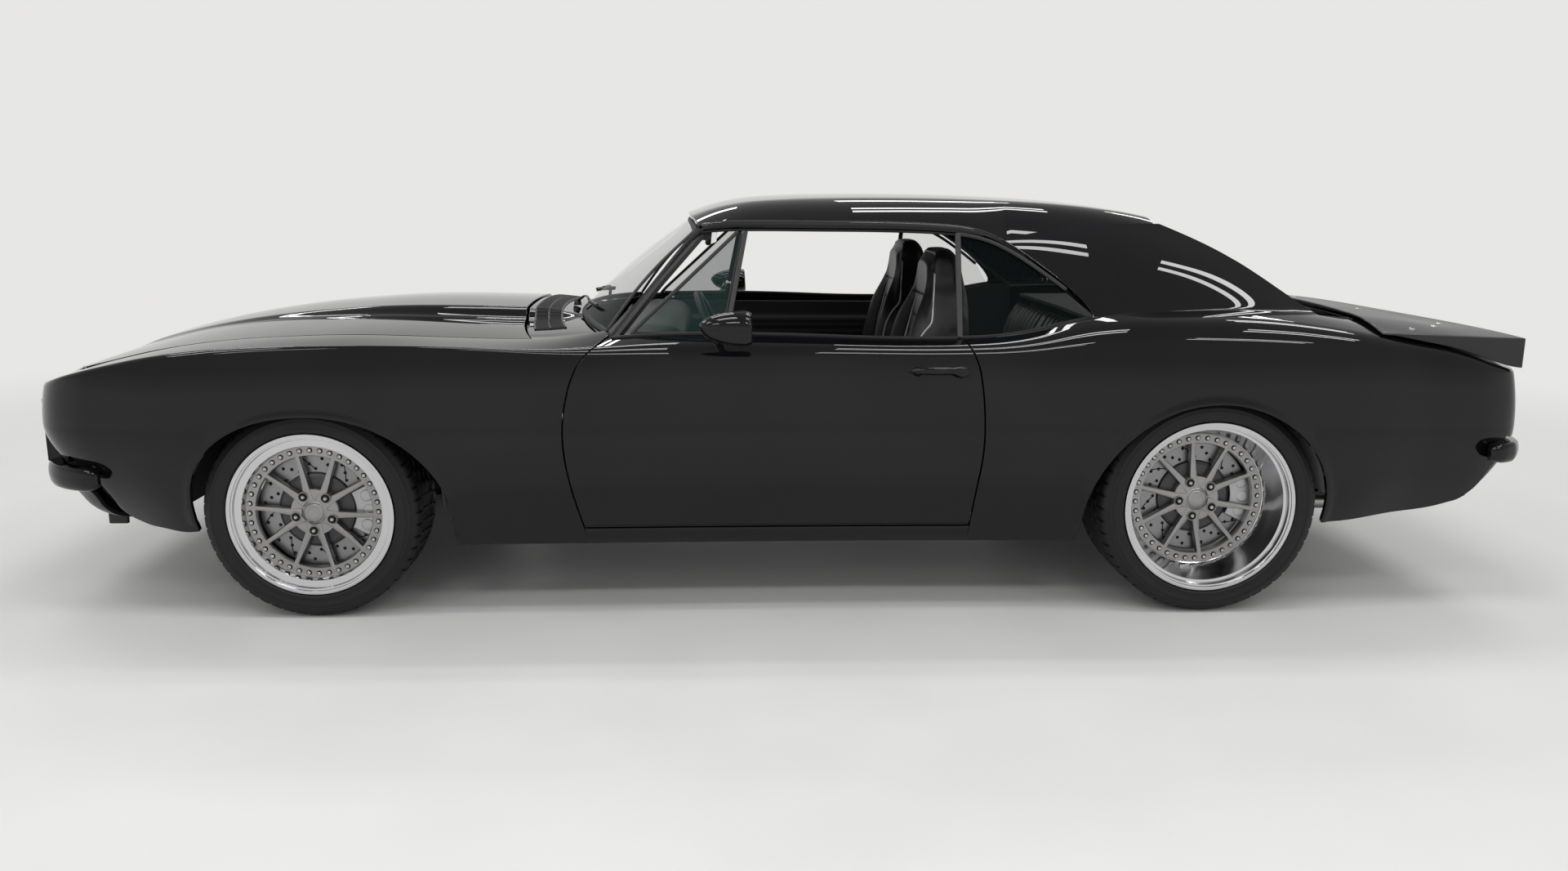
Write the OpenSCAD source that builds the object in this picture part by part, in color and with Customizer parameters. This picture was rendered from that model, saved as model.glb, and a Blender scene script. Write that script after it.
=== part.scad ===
// Two-door hardtop muscle car. X forward, Y left, Z up, origin on the floor
// under the middle of the car. Millimetres.

/* [Overall] */
// Distance between the axles
wheelbase = 2746; // [2250:1:3300]
// Width over the body sides
body_width = 1842; // [1530:1:2220]
// Height of the roof above the floor
body_height = 1286; // [1070:1:1550]

/* [Panels] */
// Thickness of a pressed skin
skin_t = 5; // [3:0.5:8]
// Thickness of the roof with its lining
roof_t = 18; // [12:1:30]
// Thickness of the hood and trunk lid
lid_t = 16; // [8:1:24]
// Gap between neighbouring panels
panel_gap = 6; // [5.2:0.2:9]
// Gap round a door
door_gap = 8.4; // [6:0.2:9]
// Clearance between pieces that bear on each other
seat_gap = 0.3; // [0.1:0.1:0.8]
// Thickness of the window glass
glass_t = 5; // [3:0.5:8]

/* [Doors] */
// Half width at a door's inner face
door_inner_y = 792; // [780:1:800]
// Radius of a door's hinge pins
hinge_pin_r = 5; // [3:0.5:6]

/* [Wheels] */
// Outer radius of a front tyre
front_tyre_r = 324; // [300:1:345]
// Width of a front tyre
front_tyre_w = 245; // [205:1:265]
// Outer radius of a rear tyre
rear_tyre_r = 340; // [310:1:360]
// Width of a rear tyre
rear_tyre_w = 295; // [245:1:315]
// Radius of a front rim's outer lip
front_rim_r = 250; // [220:1:255]
// Radius of a rear rim's outer lip
rear_rim_r = 268; // [230:1:270]
// Half width over the front wheels' outer lips
front_lip_y = 880; // [860:1:886]
// Half width over the rear wheels' outer lips
rear_lip_y = 891; // [870:1:896]
// Radius of the brake discs
disc_r = 178; // [150:1:185]
// Thickness of the brake discs
disc_t = 32; // [20:1:36]

/* [Cabin] */
// Width of a bucket seat
seat_w = 500; // [420:5:520]
// Width of the transmission tunnel
tunnel_w = 240; // [200:5:260]
// Radius of the steering wheel
steering_wheel_r = 178; // [150:1:200]
// Length of the engine block
engine_l = 620; // [450:5:680]
// Width of the engine block
engine_w = 460; // [400:5:540]

/* [Hidden] */

// The body is drawn at these sizes and stretched to the sizes above
drawn_wheelbase = 2746;
drawn_width = 1842;
drawn_height = 1286;
// Below this height the body keeps its height above the floor
sill_z = 340;
kx = wheelbase / drawn_wheelbase;
ky = body_width / drawn_width;
kz = (body_height - sill_z) / (drawn_height - sill_z);
function bx(x) = x * kx;
function by(y) = y * ky;
function bz(z) = z <= sill_z ? z : sill_z + (z - sill_z) * kz;
function body_point(p) = [bx(p[0]), by(p[1]), bz(p[2])];

seat_y = tunnel_w / 2 + 12 + seat_w / 2;
front_x = 1417;
rear_x = front_x - drawn_wheelbase;
axle_front = [bx(front_x), front_tyre_r];
axle_rear = [bx(rear_x), rear_tyre_r];

// ---- smooth curve through the rows of a table, column k against column 0
function row_at(x, t, lo, hi) = hi - lo <= 1 ? lo
    : let (m = floor((lo + hi) / 2)) t[m][0] <= x ? row_at(x, t, m, hi) : row_at(x, t, lo, m);
function secant(t, i, k) = (t[i + 1][k] - t[i][k]) / (t[i + 1][0] - t[i][0]);
function slope(t, i, k) = let (n = len(t) - 1)
    i == 0 ? secant(t, 0, k) : i == n ? secant(t, n - 1, k)
    : let (h0 = t[i][0] - t[i - 1][0], h1 = t[i + 1][0] - t[i][0])
      (secant(t, i - 1, k) * h1 + secant(t, i, k) * h0) / (h0 + h1);
function curve(x, t, k = 1) = let (
    i = row_at(x, t, 0, len(t) - 1), h = t[i + 1][0] - t[i][0],
    u = min(max((x - t[i][0]) / h, 0), 1), a = t[i][k], b = t[i + 1][k],
    p = slope(t, i, k) * h, q = slope(t, i + 1, k) * h)
    a + u * (p + u * (3 * (b - a) - 2 * p - q + u * (p + q - 2 * (b - a))));
function mix(a, b, u) = a + (b - a) * u;
function smoothstep(a, b, x) = let (u = min(max((x - a) / (b - a), 0), 1)) u * u * (3 - 2 * u);
function steps(a, b, n) = [for (i = [0:n]) mix(a, b, i / n)];
function flip(p) = [p[0], -p[1], p[2]];

// ---- body curves, drawn sizes
// Plan of the body's widest line: station, x, half width
plan = [
    [-3100, -2336, 0], [-2700, -2340, 420], [-2450, -2340, 675], [-2364, -2336, 766],
    [-2299, -2304, 826], [-2221, -2226, 857], [-2111, -2112, 871], [-2000, -2000, 879],
    [-1850, -1850, 899], [-1650, -1650, 914], [-1330, -1330, 921], [-1000, -1000, 914],
    [-700, -700, 903], [-300, -300, 900], [100, 100, 904], [600, 600, 913],
    [1000, 1000, 919], [1417, 1417, 921], [1700, 1700, 914], [1850, 1850, 901],
    [2000, 2000, 877], [2104, 2102, 857], [2199, 2190, 812], [2291, 2252, 737],
    [2372, 2281, 658], [2528, 2314, 503], [2730, 2338, 300], [3030, 2347, 0]];
// Height of the body's shoulder line
shoulder = [
    [-3100, 775], [-2450, 765], [-2364, 755], [-2299, 757], [-2242, 769], [-2110, 812],
    [-1980, 837], [-1850, 858], [-1724, 877], [-1597, 892], [-1460, 901], [-1300, 903],
    [-1146, 898], [-1022, 886], [-898, 868], [-788, 850], [-690, 839], [-580, 834],
    [0, 834], [400, 832], [700, 825], [980, 833], [1220, 836], [1456, 833], [1573, 829],
    [1690, 821], [1808, 808], [1925, 789], [2044, 762], [2140, 740], [2199, 724],
    [2291, 704], [2400, 697], [3030, 695]];
// Inward lean of the side above its widest line, and tuck below it
lean = [[-3100, 10], [-2364, 14], [-2200, 40], [-1800, 62], [-1330, 74], [-1000, 62],
    [-700, 42], [-300, 36], [500, 38], [900, 44], [1400, 50], [1900, 46], [2199, 20], [3030, 8]];
tuck = [[-3100, 120], [-2364, 120], [-2000, 150], [-1700, 115], [-1000, 108], [700, 108],
    [1400, 100], [1900, 130], [2199, 270], [3030, 270]];
widest_z = 580;
tuck_z = 210;
// Radius of the shoulder's edge
edge_r = [[-3100, 10], [-2300, 16], [-2000, 30], [-1500, 52], [-1000, 40], [-700, 30],
    [-400, 26], [500, 24], [700, 14], [2000, 16], [3030, 8]];
// Rise of the top surface from the shoulder towards the middle
rise = [[-3100, 10], [-2300, 34], [-2000, 42], [-1500, 48], [-1150, 62], [-1000, 88], [-900, 92],
    [-800, 66], [-671, 50], [-400, 50], [480, 50], [620, 28], [1400, 16], [2000, 10], [2300, 6]];

function plan_point(s) = [curve(s, plan, 1), curve(s, plan, 2)];
function plan_normal(s) = let (
    d = plan_point(s + 8) - plan_point(s - 8)) [-d[1], d[0]] / norm(d);
function inset(s, z) = let (zc = curve(s, shoulder))
    z > widest_z ? curve(s, lean) * pow((z - widest_z) / (zc - widest_z), 2)
    : curve(s, tuck) * pow((widest_z - z) / (widest_z - tuck_z), 1.6);
function side_point(s, z) = let (p = plan_point(s) - plan_normal(s) * inset(s, z)) [p[0], p[1], z];
function shoulder_y(s) = side_point(s, curve(s, shoulder))[1];
function top_z(x, y) = let (ys = shoulder_y(x), zc = curve(x, shoulder))
    zc + curve(x, rise) * sin(90 * min(max((ys - y) / 240, 0), 1));
// Rounded edge between side and top: u from 0 on the side to 1 on the top
function edge_point(s, u) = let (
    r = curve(s, edge_r), zc = curve(s, shoulder), a = side_point(s, zc - r),
    b = side_point(s, zc), c = [b[0], b[1] - r, top_z(s, b[1] - r)])
    mix(mix(a, b, u), mix(b, c, u), u);

// ---- panel outlines, drawn sizes
door_front = [[270, 600], [420, 634], [525, 648], [600, 649], [675, 639], [750, 618],
    [800, 590], [834, 552], [856, 520]];
door_rear = [[270, -589], [396, -600], [498, -611], [625, -611], [725, -602], [787, -590],
    [834, -568], [856, -556]];
door_bottom_z = 272;
hood_half = 702;
hood_rear = [[0, 852], [400, 838], [600, 800], [702, 770]];
hood_front = [[0, 2252], [300, 2238], [500, 2205], [640, 2160], [702, 2120]];
trunk_half = [[-2320, 600], [-2100, 622], [-1835, 640]];
trunk_front_x = -1838;
trunk_rear_x = -2318;
sill_y = 798;
sill_line = [[-1019, 915], [-964, 925], [-858, 896], [-734, 869], [-671, 857], [-584, 853],
    [-233, 853], [263, 856], [503, 858]];
drip_y = [[-1220, 590], [-900, 622], [-500, 640], [0, 642], [290, 618]];
drip_z = [[-1019, 909], [-960, 952], [-901, 1000], [-792, 1082], [-712, 1135], [-632, 1170],
    [-502, 1187], [-374, 1192], [-117, 1194], [87, 1194], [180, 1192], [290, 1180]];
roof_mid = [[-1860, 925], [-1837, 938], [-1675, 1030], [-1516, 1113], [-1359, 1190], [-1206, 1233],
    [-1054, 1256], [-903, 1270], [-753, 1278], [-604, 1283], [-365, 1286], [-158, 1284],
    [-10, 1279], [137, 1266], [226, 1246], [300, 1219]];
deck_mid = [[-2345, 790], [-2242, 826], [-2110, 866], [-1980, 893], [-1844, 915], [-1640, 945]];

// ---- wheel arch openings, drawn sizes
rear_arch_r = 390;
rear_arch_z = 278;
front_arch = [1394, 300];
front_arch_a = [400, 385];
front_arch_b = 332;
function rear_arch(a) = [rear_x + rear_arch_r * cos(a), rear_arch_z + rear_arch_r * sin(a)];
function front_arch_at(a) = let (
    front = cos(a) > 0, n = front ? 2 / 2.3 : 1, w = front ? front_arch_a[1] : front_arch_a[0])
    [front_arch[0] + w * sign(cos(a)) * pow(abs(cos(a)), n),
     front_arch[1] + front_arch_b * pow(abs(sin(a)), n)];

// ---- closed shells between an outer and an inner grid of points
function at(g, i, j) = g[min(max(i, 0), len(g) - 1)][min(max(j, 0), len(g[0]) - 1)];
function normal(g, i, j) = let (
    n = cross(at(g, i + 1, j) - at(g, i - 1, j), at(g, i, j + 1) - at(g, i, j - 1)))
    n / max(norm(n), 1e-6);
function inner_grid(g, t) = [for (i = [0:len(g) - 1]) [for (j = [0:len(g[0]) - 1])
    g[i][j] + normal(g, i, j) * t]];
function has(mask, i, j, ni, nj) = i >= 0 && j >= 0 && i < ni && j < nj
    && (mask == undef || mask[i][j]);
module between(outer, inner, mask = undef) {
    ni = len(outer) - 1;
    nj = len(outer[0]) - 1;
    m = (ni + 1) * (nj + 1);
    function o(i, j) = i * (nj + 1) + j;
    cells = [for (i = [0:ni - 1]) for (j = [0:nj - 1]) if (has(mask, i, j, ni, nj)) [i, j]];
    skin = [for (c = cells) let (i = c[0], j = c[1])
        each [[o(i, j), o(i + 1, j), o(i + 1, j + 1)], [o(i, j), o(i + 1, j + 1), o(i, j + 1)]]];
    rim = [for (c = cells) let (i = c[0], j = c[1]) each concat(
        has(mask, i - 1, j, ni, nj) ? [] : [[o(i, j), o(i, j + 1)]],
        has(mask, i + 1, j, ni, nj) ? [] : [[o(i + 1, j + 1), o(i + 1, j)]],
        has(mask, i, j - 1, ni, nj) ? [] : [[o(i + 1, j), o(i, j)]],
        has(mask, i, j + 1, ni, nj) ? [] : [[o(i, j + 1), o(i + 1, j + 1)]])];
    faces = concat(skin, [for (f = skin) [f[0] + m, f[2] + m, f[1] + m]],
        [for (e = rim) each [[e[0], e[1], e[1] + m], [e[0], e[1] + m, e[0] + m]]]);
    polyhedron(points = concat([for (r = outer) each r], [for (r = inner) each r]), faces = faces);
}
module shell(g, t, mask = undef) between(g, inner_grid(g, t), mask);
// A grid for one side: the left one as drawn, the right one mirrored
function to_body(g) = [for (r = g) [for (p = r) body_point(p)]];
module left_or_right(side) {
    if (side > 0) children();
    else mirror([0, 1, 0]) children();
}

// ---- side panels
function door_edge_x(t, z) = curve(min(z, 856), t);
side_rows = 7;
// Rows of a side panel's column: from its foot up to the shoulder, round it and inwards
function column(s, foot, inner_y, tops = 3) = let (r = curve(s, edge_r), zc = curve(s, shoulder))
    concat([for (z = steps(foot, zc - r, side_rows)) side_point(s, z)],
        [for (u = [0.34, 0.67, 1]) edge_point(s, u)],
        [for (y = steps(shoulder_y(s) - r, inner_y, tops)) if (y < shoulder_y(s) - r - 0.01)
            [side_point(s, zc)[0], y, top_z(s, y)]]);
function shift_x(p, x) = [x, p[1], p[2]];

fender_foot_z = 214;
fender_low = [[1775, 262], [1830, 256], [1900, 262], [1990, 272], [2050, 304], [2085, 350],
    [2110, 400], [2122, 476], [2199, 480]];
fender_nose = [1790, 1850, 1920, 1990, 2050, 2085, 2112, 2124, 2160, 2199];
fender_arch = [176, 168, 156, 142, 126, 110, 92, 74, 58, 44, 32, 20, 8];
fender_stations = concat(
    [for (u = [0, 1]) mix(660, 990, u)],
    [for (a = fender_arch) front_arch_at(a)[0]],
    fender_nose);
fender_feet = concat([fender_foot_z, fender_foot_z],
    [for (a = fender_arch) front_arch_at(a)[1]],
    [for (s = fender_nose) curve(s, fender_low)]);
function fender_x(s, z) = s > 700 ? s : door_edge_x(door_front, z) + door_gap;
function fender_grid() = [for (k = [0:len(fender_stations) - 1]) let (
    s = fender_stations[k], c = column(s, fender_feet[k], hood_half + panel_gap / 2))
    k > 0 ? c : [for (p = c) let (x = door_edge_x(door_front, p[2]) + door_gap,
        q = side_point(x, p[2])) p[2] < curve(x, shoulder) - 20 ? q : shift_x(p, x)]];
module fender(side) left_or_right(side)
    color([0.02, 0.02, 0.022]) shell(to_body(fender_grid()), skin_t);

quarter_low = [[-2290, 550], [-2260, 548], [-2246, 470], [-2188, 354], [-2138, 330], [-1956, 295],
    [-1786, 276], [-1700, 276]];
rear_angles = [4, 14, 24, 36, 50, 64, 78, 92, 106, 120, 134, 148, 162, 174];
quarter_tail = [-1740, -1820, -1900, -2000, -2100, -2188, -2246, -2264, -2299, -2340, -2372];
quarter_stations = concat([-660, -760, -860, -925],
    [for (a = rear_angles) rear_arch(a)[0]],
    quarter_tail);
quarter_feet = concat([fender_foot_z, fender_foot_z, fender_foot_z, fender_foot_z],
    [for (a = rear_angles) rear_arch(a)[1]],
    [for (s = quarter_tail) curve(max(s, -2290), quarter_low)]);
sail_first = 4;
sail_last = 17;
sail_rows = 7;
function inner_top_y(s) = s > -1000 ? sill_y
    : s > -1700 ? mix(sill_y - 20, 700, (-1000 - s) / 700)
    : s > trunk_front_x ? 690 : max(curve(s, trunk_half), 600) + panel_gap / 2 + 1;
// The sail panel: u from its front edge to its rear edge, v from its foot to the roof
function sail_front(v) = let (x = mix(-1012, -700, v))
    [x, mix(sill_y - 14, 632, v), curve(x, drip_z) + 6 * v];
function sail_rear(v) = let (x = mix(-1700, -1225, v))
    [x, mix(660, 560, v), mix(918, 1196, v) + 26 * sin(180 * v)];
function sail_point(u, v) = let (f = sail_front(v), r = sail_rear(v), p = mix(f, r, u),
    flare = sin(180 * u) * (24 * (1 - v) + 14 * sin(180 * v)))
    [p[0], p[1] + flare, p[2] + 30 * sin(180 * u) * v * 0.6];
function quarter_grid() = [for (k = [0:len(quarter_stations) - 1]) let (
    s = quarter_stations[k],
    c = column(s, quarter_feet[k], inner_top_y(s)),
    base = c[len(c) - 1], u = min(max((k - sail_first) / (sail_last - sail_first), 0), 1),
    lower = k > 0 ? c : [for (p = c) let (x = door_edge_x(door_rear, p[2]) - door_gap,
        q = side_point(x, p[2])) p[2] < curve(x, shoulder) - 40 ? q : shift_x(p, x)])
    concat(lower, [for (i = [1:sail_rows]) let (v = i / sail_rows, q = sail_point(u, v))
        k < sail_first || k > sail_last ? gutter(base, i) : mix(mix(base, q, min(1, v * 3)), q, v)])];
// Beside the trunk lid the panel turns down and runs under the lid's edge
gutter_w = 22;
gutter_first = 20;
gutter_last = 24;
function gutter(base, i) = let (x = base[0], y = base[1] - gutter_w, drop = lid_t + 1.9)
    i == 1 ? [x, base[1], deck_z(x, base[1] - 5) - drop - 1]
    : [x, y - (i - 2), deck_z(x, y) - drop - (i - 2)];
quarter_mask = [for (k = [0:len(quarter_stations) - 2])
    [for (i = [0:side_rows + 6 + sail_rows - 1])
        i < side_rows + 6 || (k >= sail_first && k < sail_last)
            || (k >= gutter_first && k < gutter_last && i < side_rows + 8)]];
function reversed(list) = [for (i = [len(list) - 1:-1:0]) list[i]];
module quarter_panel(side) left_or_right(side)
    color([0.02, 0.02, 0.022]) shell(to_body(reversed(quarter_grid())), skin_t, reversed(quarter_mask));

// ---- doors
door_steps = [0, 0.1, 0.22, 0.36, 0.5, 0.64, 0.76, 0.86, 0.865, 0.93, 1];
door_flange_first = 8;
flange_t = 6;
function door_outer() = [for (u = door_steps) let (
    c = column(mix(-560, 560, u), door_bottom_z, sill_y))
    [for (p = c) let (x = mix(door_edge_x(door_rear, p[2]), door_edge_x(door_front, p[2]), u),
        zc = curve(x, shoulder), q = side_point(x, p[2]))
        p[2] < zc - 40 ? q : shift_x(p, x)]];
// Behind the flange the inner face is flat; the flange keeps its thickness
function door_inner() = let (g = door_outer(), n = len(g[0]) - 1, thin = inner_grid(g, flange_t))
    [for (k = [0:len(g) - 1]) k >= door_flange_first ? thin[k]
        : [for (i = [0:n]) let (p = g[k][i])
            [p[0] + (k == 0 ? 14 : 0), door_inner_y - (i == n ? 12 : 16),
             mix(door_bottom_z + 8, g[k][n][2] - 4, i / n)]]];
hinge_x = 554;
hinge_y = 880;
hinge_zs = [506, 690];
hinge_r = hinge_pin_r + 4;
hinge_h = 46;
door_slab_x = 466;
module door_hinges() for (z = hinge_zs) translate([bx(hinge_x), by(hinge_y), bz(z)]) difference() {
    union() {
        translate([0, 0, -hinge_h / 2]) cylinder(h = hinge_h, r = hinge_r, $fn = 32);
        translate([bx(door_slab_x - hinge_x), -22, -hinge_h / 2])
            cube([bx(hinge_x - door_slab_x), 14, hinge_h]);
    }
    translate([0, 0, -50]) cylinder(h = 100, r = hinge_pin_r + seat_gap, $fn = 32);
}
module door(side) left_or_right(side)
    color([0.02, 0.02, 0.022]) {
    between(to_body(door_outer()), to_body(door_inner()));
    door_hinges();
}

// ---- top panels
function bulge(x, y) = let (
    h = mix(6, 34, smoothstep(2000, 900, x)) * smoothstep(2190, 2080, x))
    h * smoothstep(330, 270, abs(y)) + 6 * smoothstep(2190, 2060, x) * smoothstep(400, 0, abs(y));
function hood_z(x, y) = let (a = abs(y), zb = top_z(x, hood_half))
    zb + 28 * (1 - pow(a / hood_half, 2)) * smoothstep(2400, 2000, x) + bulge(x, y);
hood_ys = [-1, -0.8, -0.6, -0.47, -0.38, -0.2, 0, 0.2, 0.38, 0.47, 0.6, 0.8, 1];
function hood_grid() = [for (u = steps(0, 1, 14)) [for (v = hood_ys) let (
    y = v * (hood_half - panel_gap / 2), a = abs(y),
    x = mix(curve(a, hood_rear), curve(a, hood_front), u)) [x, -y, hood_z(x, y)]]];
module hood() color([0.02, 0.02, 0.022]) shell(to_body(hood_grid()), lid_t);

nose_curve = [[0, 2347], [300, 2339], [500, 2314], [650, 2283], [725, 2257], [800, 2203]];
function nose_x(a) = curve(a, nose_curve);
header_half = hood_half + panel_gap / 2 - seat_gap;
header_z = 642;
function header_point(a, u) = let (x0 = nose_x(a) - 10, x1 = curve(a, hood_front) + panel_gap,
    z1 = hood_z(x1, a), c = [x0 + 4, header_z + 0.55 * (z1 - header_z)])
    mix(mix([x0, header_z], c, u), mix(c, [x1, z1], u), u);
function header_grid() = [for (u = steps(0, 1, 7)) [for (y = steps(-header_half, header_half, 22))
    let (p = header_point(abs(y), u)) [p[0], y, p[1]]]];
module header_panel() color([0.02, 0.02, 0.022]) shell(to_body(header_grid()), skin_t);

cowl_half = hood_half + panel_gap / 2 - seat_gap - 0.1;
function cowl_grid() = [for (u = steps(0, 1, 3)) [for (y = steps(-cowl_half, cowl_half, 14)) let (
    a = abs(y), f = glass_foot(a), x1 = curve(a, hood_rear) - panel_gap - 2,
    z1 = top_z(x1, hood_half) - 4)
    [mix(f[0] + 3, x1, u), -y, mix(f[2] - 12, z1, u)]]];
function cowl_z(x, y) = let (a = abs(y), f = glass_foot(a), x1 = curve(a, hood_rear) - panel_gap - 2)
    mix(f[2] - 12, top_z(x1, hood_half) - 4, (x - f[0] - 3) / (x1 - f[0] - 3));
module cowl_panel() color([0.05, 0.05, 0.05]) shell(to_body(cowl_grid()), skin_t);

function roof_z(x, y) = let (a = abs(y), yd = curve(x, drip_y), zd = max(curve(x, drip_z), 1130),
    zm = curve(x, roof_mid), f = a / yd)
    zm - 26 * pow(f, 2.2) - (zm - 26 - zd) * pow(max(f - 0.72, 0) / 0.28, 2.2);
roof_front = [[0, 300], [300, 292], [500, 275], [620, 250]];
roof_rear = [[0, -1206], [300, -1212], [500, -1222], [620, -1225]];
function roof_grid() = [for (u = [0, 0.06, 0.13, 0.22, 0.34, 0.46, 0.58, 0.66, 0.74, 0.82, 0.9, 1])
    [for (v = [-1, -0.96, -0.9, -0.82, -0.7, -0.45, -0.2, 0, 0.2, 0.45, 0.7, 0.82, 0.9, 0.96, 1]) let (
        x = mix(curve(620 * abs(v), roof_rear), curve(620 * abs(v), roof_front), u),
        y = v * (curve(x, drip_y) - 2)) [x, -y, roof_z(x, y)]]];
module roof() color([0.02, 0.02, 0.022]) shell(to_body(roof_grid()), roof_t);

// ---- glass
function glass_foot(a) = [675 - 150 * pow(a / 744, 2), a, 884 - 22 * pow(a / 744, 2)];
function glass_head(a) = [296 - 34 * pow(a / 600, 2), a, roof_z(290, a) - roof_t - 6];
screen_half = [719, 577.6];
function windshield_grid() = [for (u = steps(0, 1, 6)) [for (v = steps(-1, 1, 14)) let (
    f = glass_foot(abs(v) * screen_half[0]), h = glass_head(abs(v) * screen_half[1]), p = mix(f, h, u))
    [p[0] + 14 * sin(180 * u), v * mix(screen_half[0], screen_half[1], u), p[2] + 8 * sin(180 * u)]]];
module windshield() color([0.5, 0.62, 0.58, 0.35]) shell(to_body(windshield_grid()), glass_t);

function rear_window_grid() = [for (u = steps(0, 1, 6)) [for (v = steps(1, -1, 12)) let (
    a = abs(v), x0 = -1800 + 90 * a * a, x1 = -1217.6 - 8 * a,
    z0 = 936 - 18 * a * a, z1 = 1206 - 22 * a * a)
    [mix(x0, x1, u), v * mix(628, 536, u), mix(z0, z1, u) + 26 * sin(180 * u)]]];
module rear_window() color([0.4, 0.45, 0.44, 0.35]) shell(to_body(rear_window_grid()), glass_t);

// Plane of the side glass
function side_glass_y(z) = mix(788, 618, (z - 853) / (1190 - 853));
function side_glass(p) = [p[0], side_glass_y(p[1]), p[1]];
module side_pane(points, t) {
    n = len(points);
    lifted = [for (p = points) body_point(side_glass(p))];
    polyhedron(points = concat(lifted, [for (p = lifted) p - [0, t, 0]]),
        faces = concat([[for (i = [n - 1:-1:0]) i], [for (i = [0:n - 1]) i + n]],
            [for (i = [0:n - 1]) let (j = (i + 1) % n) [i, j, j + n, i + n]]));
}
function quarter_sill_z(x) = top_z(x, sill_y);
quarter_glass = concat([for (x = [-545, -640, -740, -860, -950]) [x, quarter_sill_z(x) + 2.5]], [
    [-890, 996], [-785, 1072], [-706, 1120], [-628, 1151], [-560, 1162]]);
module quarter_windows() color([0.4, 0.45, 0.44, 0.35]) for (side = [1, -1]) left_or_right(side) {
    side_pane(quarter_glass, glass_t);
    shell(to_body([for (x = steps(-666, -938, 4)) [for (u = [1, 0.5, 0]) let (z = quarter_sill_z(x))
        [x, mix(side_glass_y(z) - 3, sill_y - 3.8, u), z]]]), 4);
}
vent_glass = [[450, 861.4], [168, 861.4], [106, 1166], [130, 1166]];
vent_post = [[176, 861.4], [156, 861.4], [98, 1168], [114, 1168]];
module vent_window(side) left_or_right(side) color([0.4, 0.45, 0.44, 0.35]) {
    side_pane(vent_glass, glass_t);
    translate([0, 3, 0]) side_pane(vent_post, glass_t + 6);
}

// ---- frame of the windscreen: posts, header and cowl corners
module beam(a, b, s) hull() {
    translate(body_point(a)) cube(s, center = true);
    translate(body_point(b)) cube(s, center = true);
}
post_foot = [515, 735, 838];
post_head = [246, 594, 1152.5];
module windshield_frame() color([0.02, 0.02, 0.022]) {
    for (side = [1, -1]) left_or_right(side) beam(post_foot, post_head, [40, 30, 34]);
    hull() for (y = [-590, 590]) translate(body_point([236, y, 1148.4])) cube([44, 40, 26], center = true);
}

// ---- lower body
module floor_profile(points, t, half) {
    n = len(points) - 1;
    rotate([90, 0, 0]) linear_extrude(2 * half, center = true) polygon(concat(
        [for (p = points) [bx(p[0]), bz(p[1])]],
        [for (i = [n:-1:0]) [bx(points[i][0]), bz(points[i][1]) - t]]));
}
floor_t = 6;
floor_z = 244;
rear_seat_z = 330;
trunk_floor_z = 450;
rocker_inner_y = 752;
cabin_floor = [[694, 430], [610, floor_z], [-560, floor_z], [-640, rear_seat_z], [-950, rear_seat_z]];
rear_floor = [[-945, rear_seat_z], [-1010, 560], [-1760, 560], [-1800, trunk_floor_z],
    [-2236, trunk_floor_z]];
tub_inner_y = 556;
tub_t = 4;
tub_outer_y = side_point(-1703, 380)[1] - skin_t + 1.6;
tunnel_h = 160;
tunnel_x = -650;
module floor_pan() color([0.06, 0.06, 0.065]) {
    difference() {
        floor_profile(cabin_floor, floor_t, by(rocker_inner_y) - seat_gap);
        translate([bx(tunnel_x), -tunnel_w / 2 + floor_t, floor_z - 50])
            cube([bx(firewall_x - tunnel_x + 50), tunnel_w - 2 * floor_t, 300]);
    }
    floor_profile(rear_floor, floor_t, tub_inner_y);
    translate([bx(tunnel_x), -tunnel_w / 2, floor_z - floor_t]) difference() {
        cube([bx(694 - tunnel_x), tunnel_w, tunnel_h]);
        translate([-1, floor_t, -1])
            cube([bx(694 - tunnel_x) + 2, tunnel_w - 2 * floor_t, tunnel_h - floor_t + 1]);
    }
    for (side = [1, -1]) left_or_right(side) intersection() {
        translate([axle_rear[0], tub_inner_y - tub_t, axle_rear[1]]) rotate([-90, 0, 0]) difference() {
            cylinder(h = by(tub_outer_y) - tub_inner_y + tub_t, r = rear_tyre_r + 34, $fn = 96);
            translate([0, 0, tub_t]) cylinder(h = 600, r = rear_tyre_r + 30, $fn = 96);
        }
        translate([axle_rear[0] - 500, 0, 380]) cube([1000, 1000, 600]);
    }
}

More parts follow.
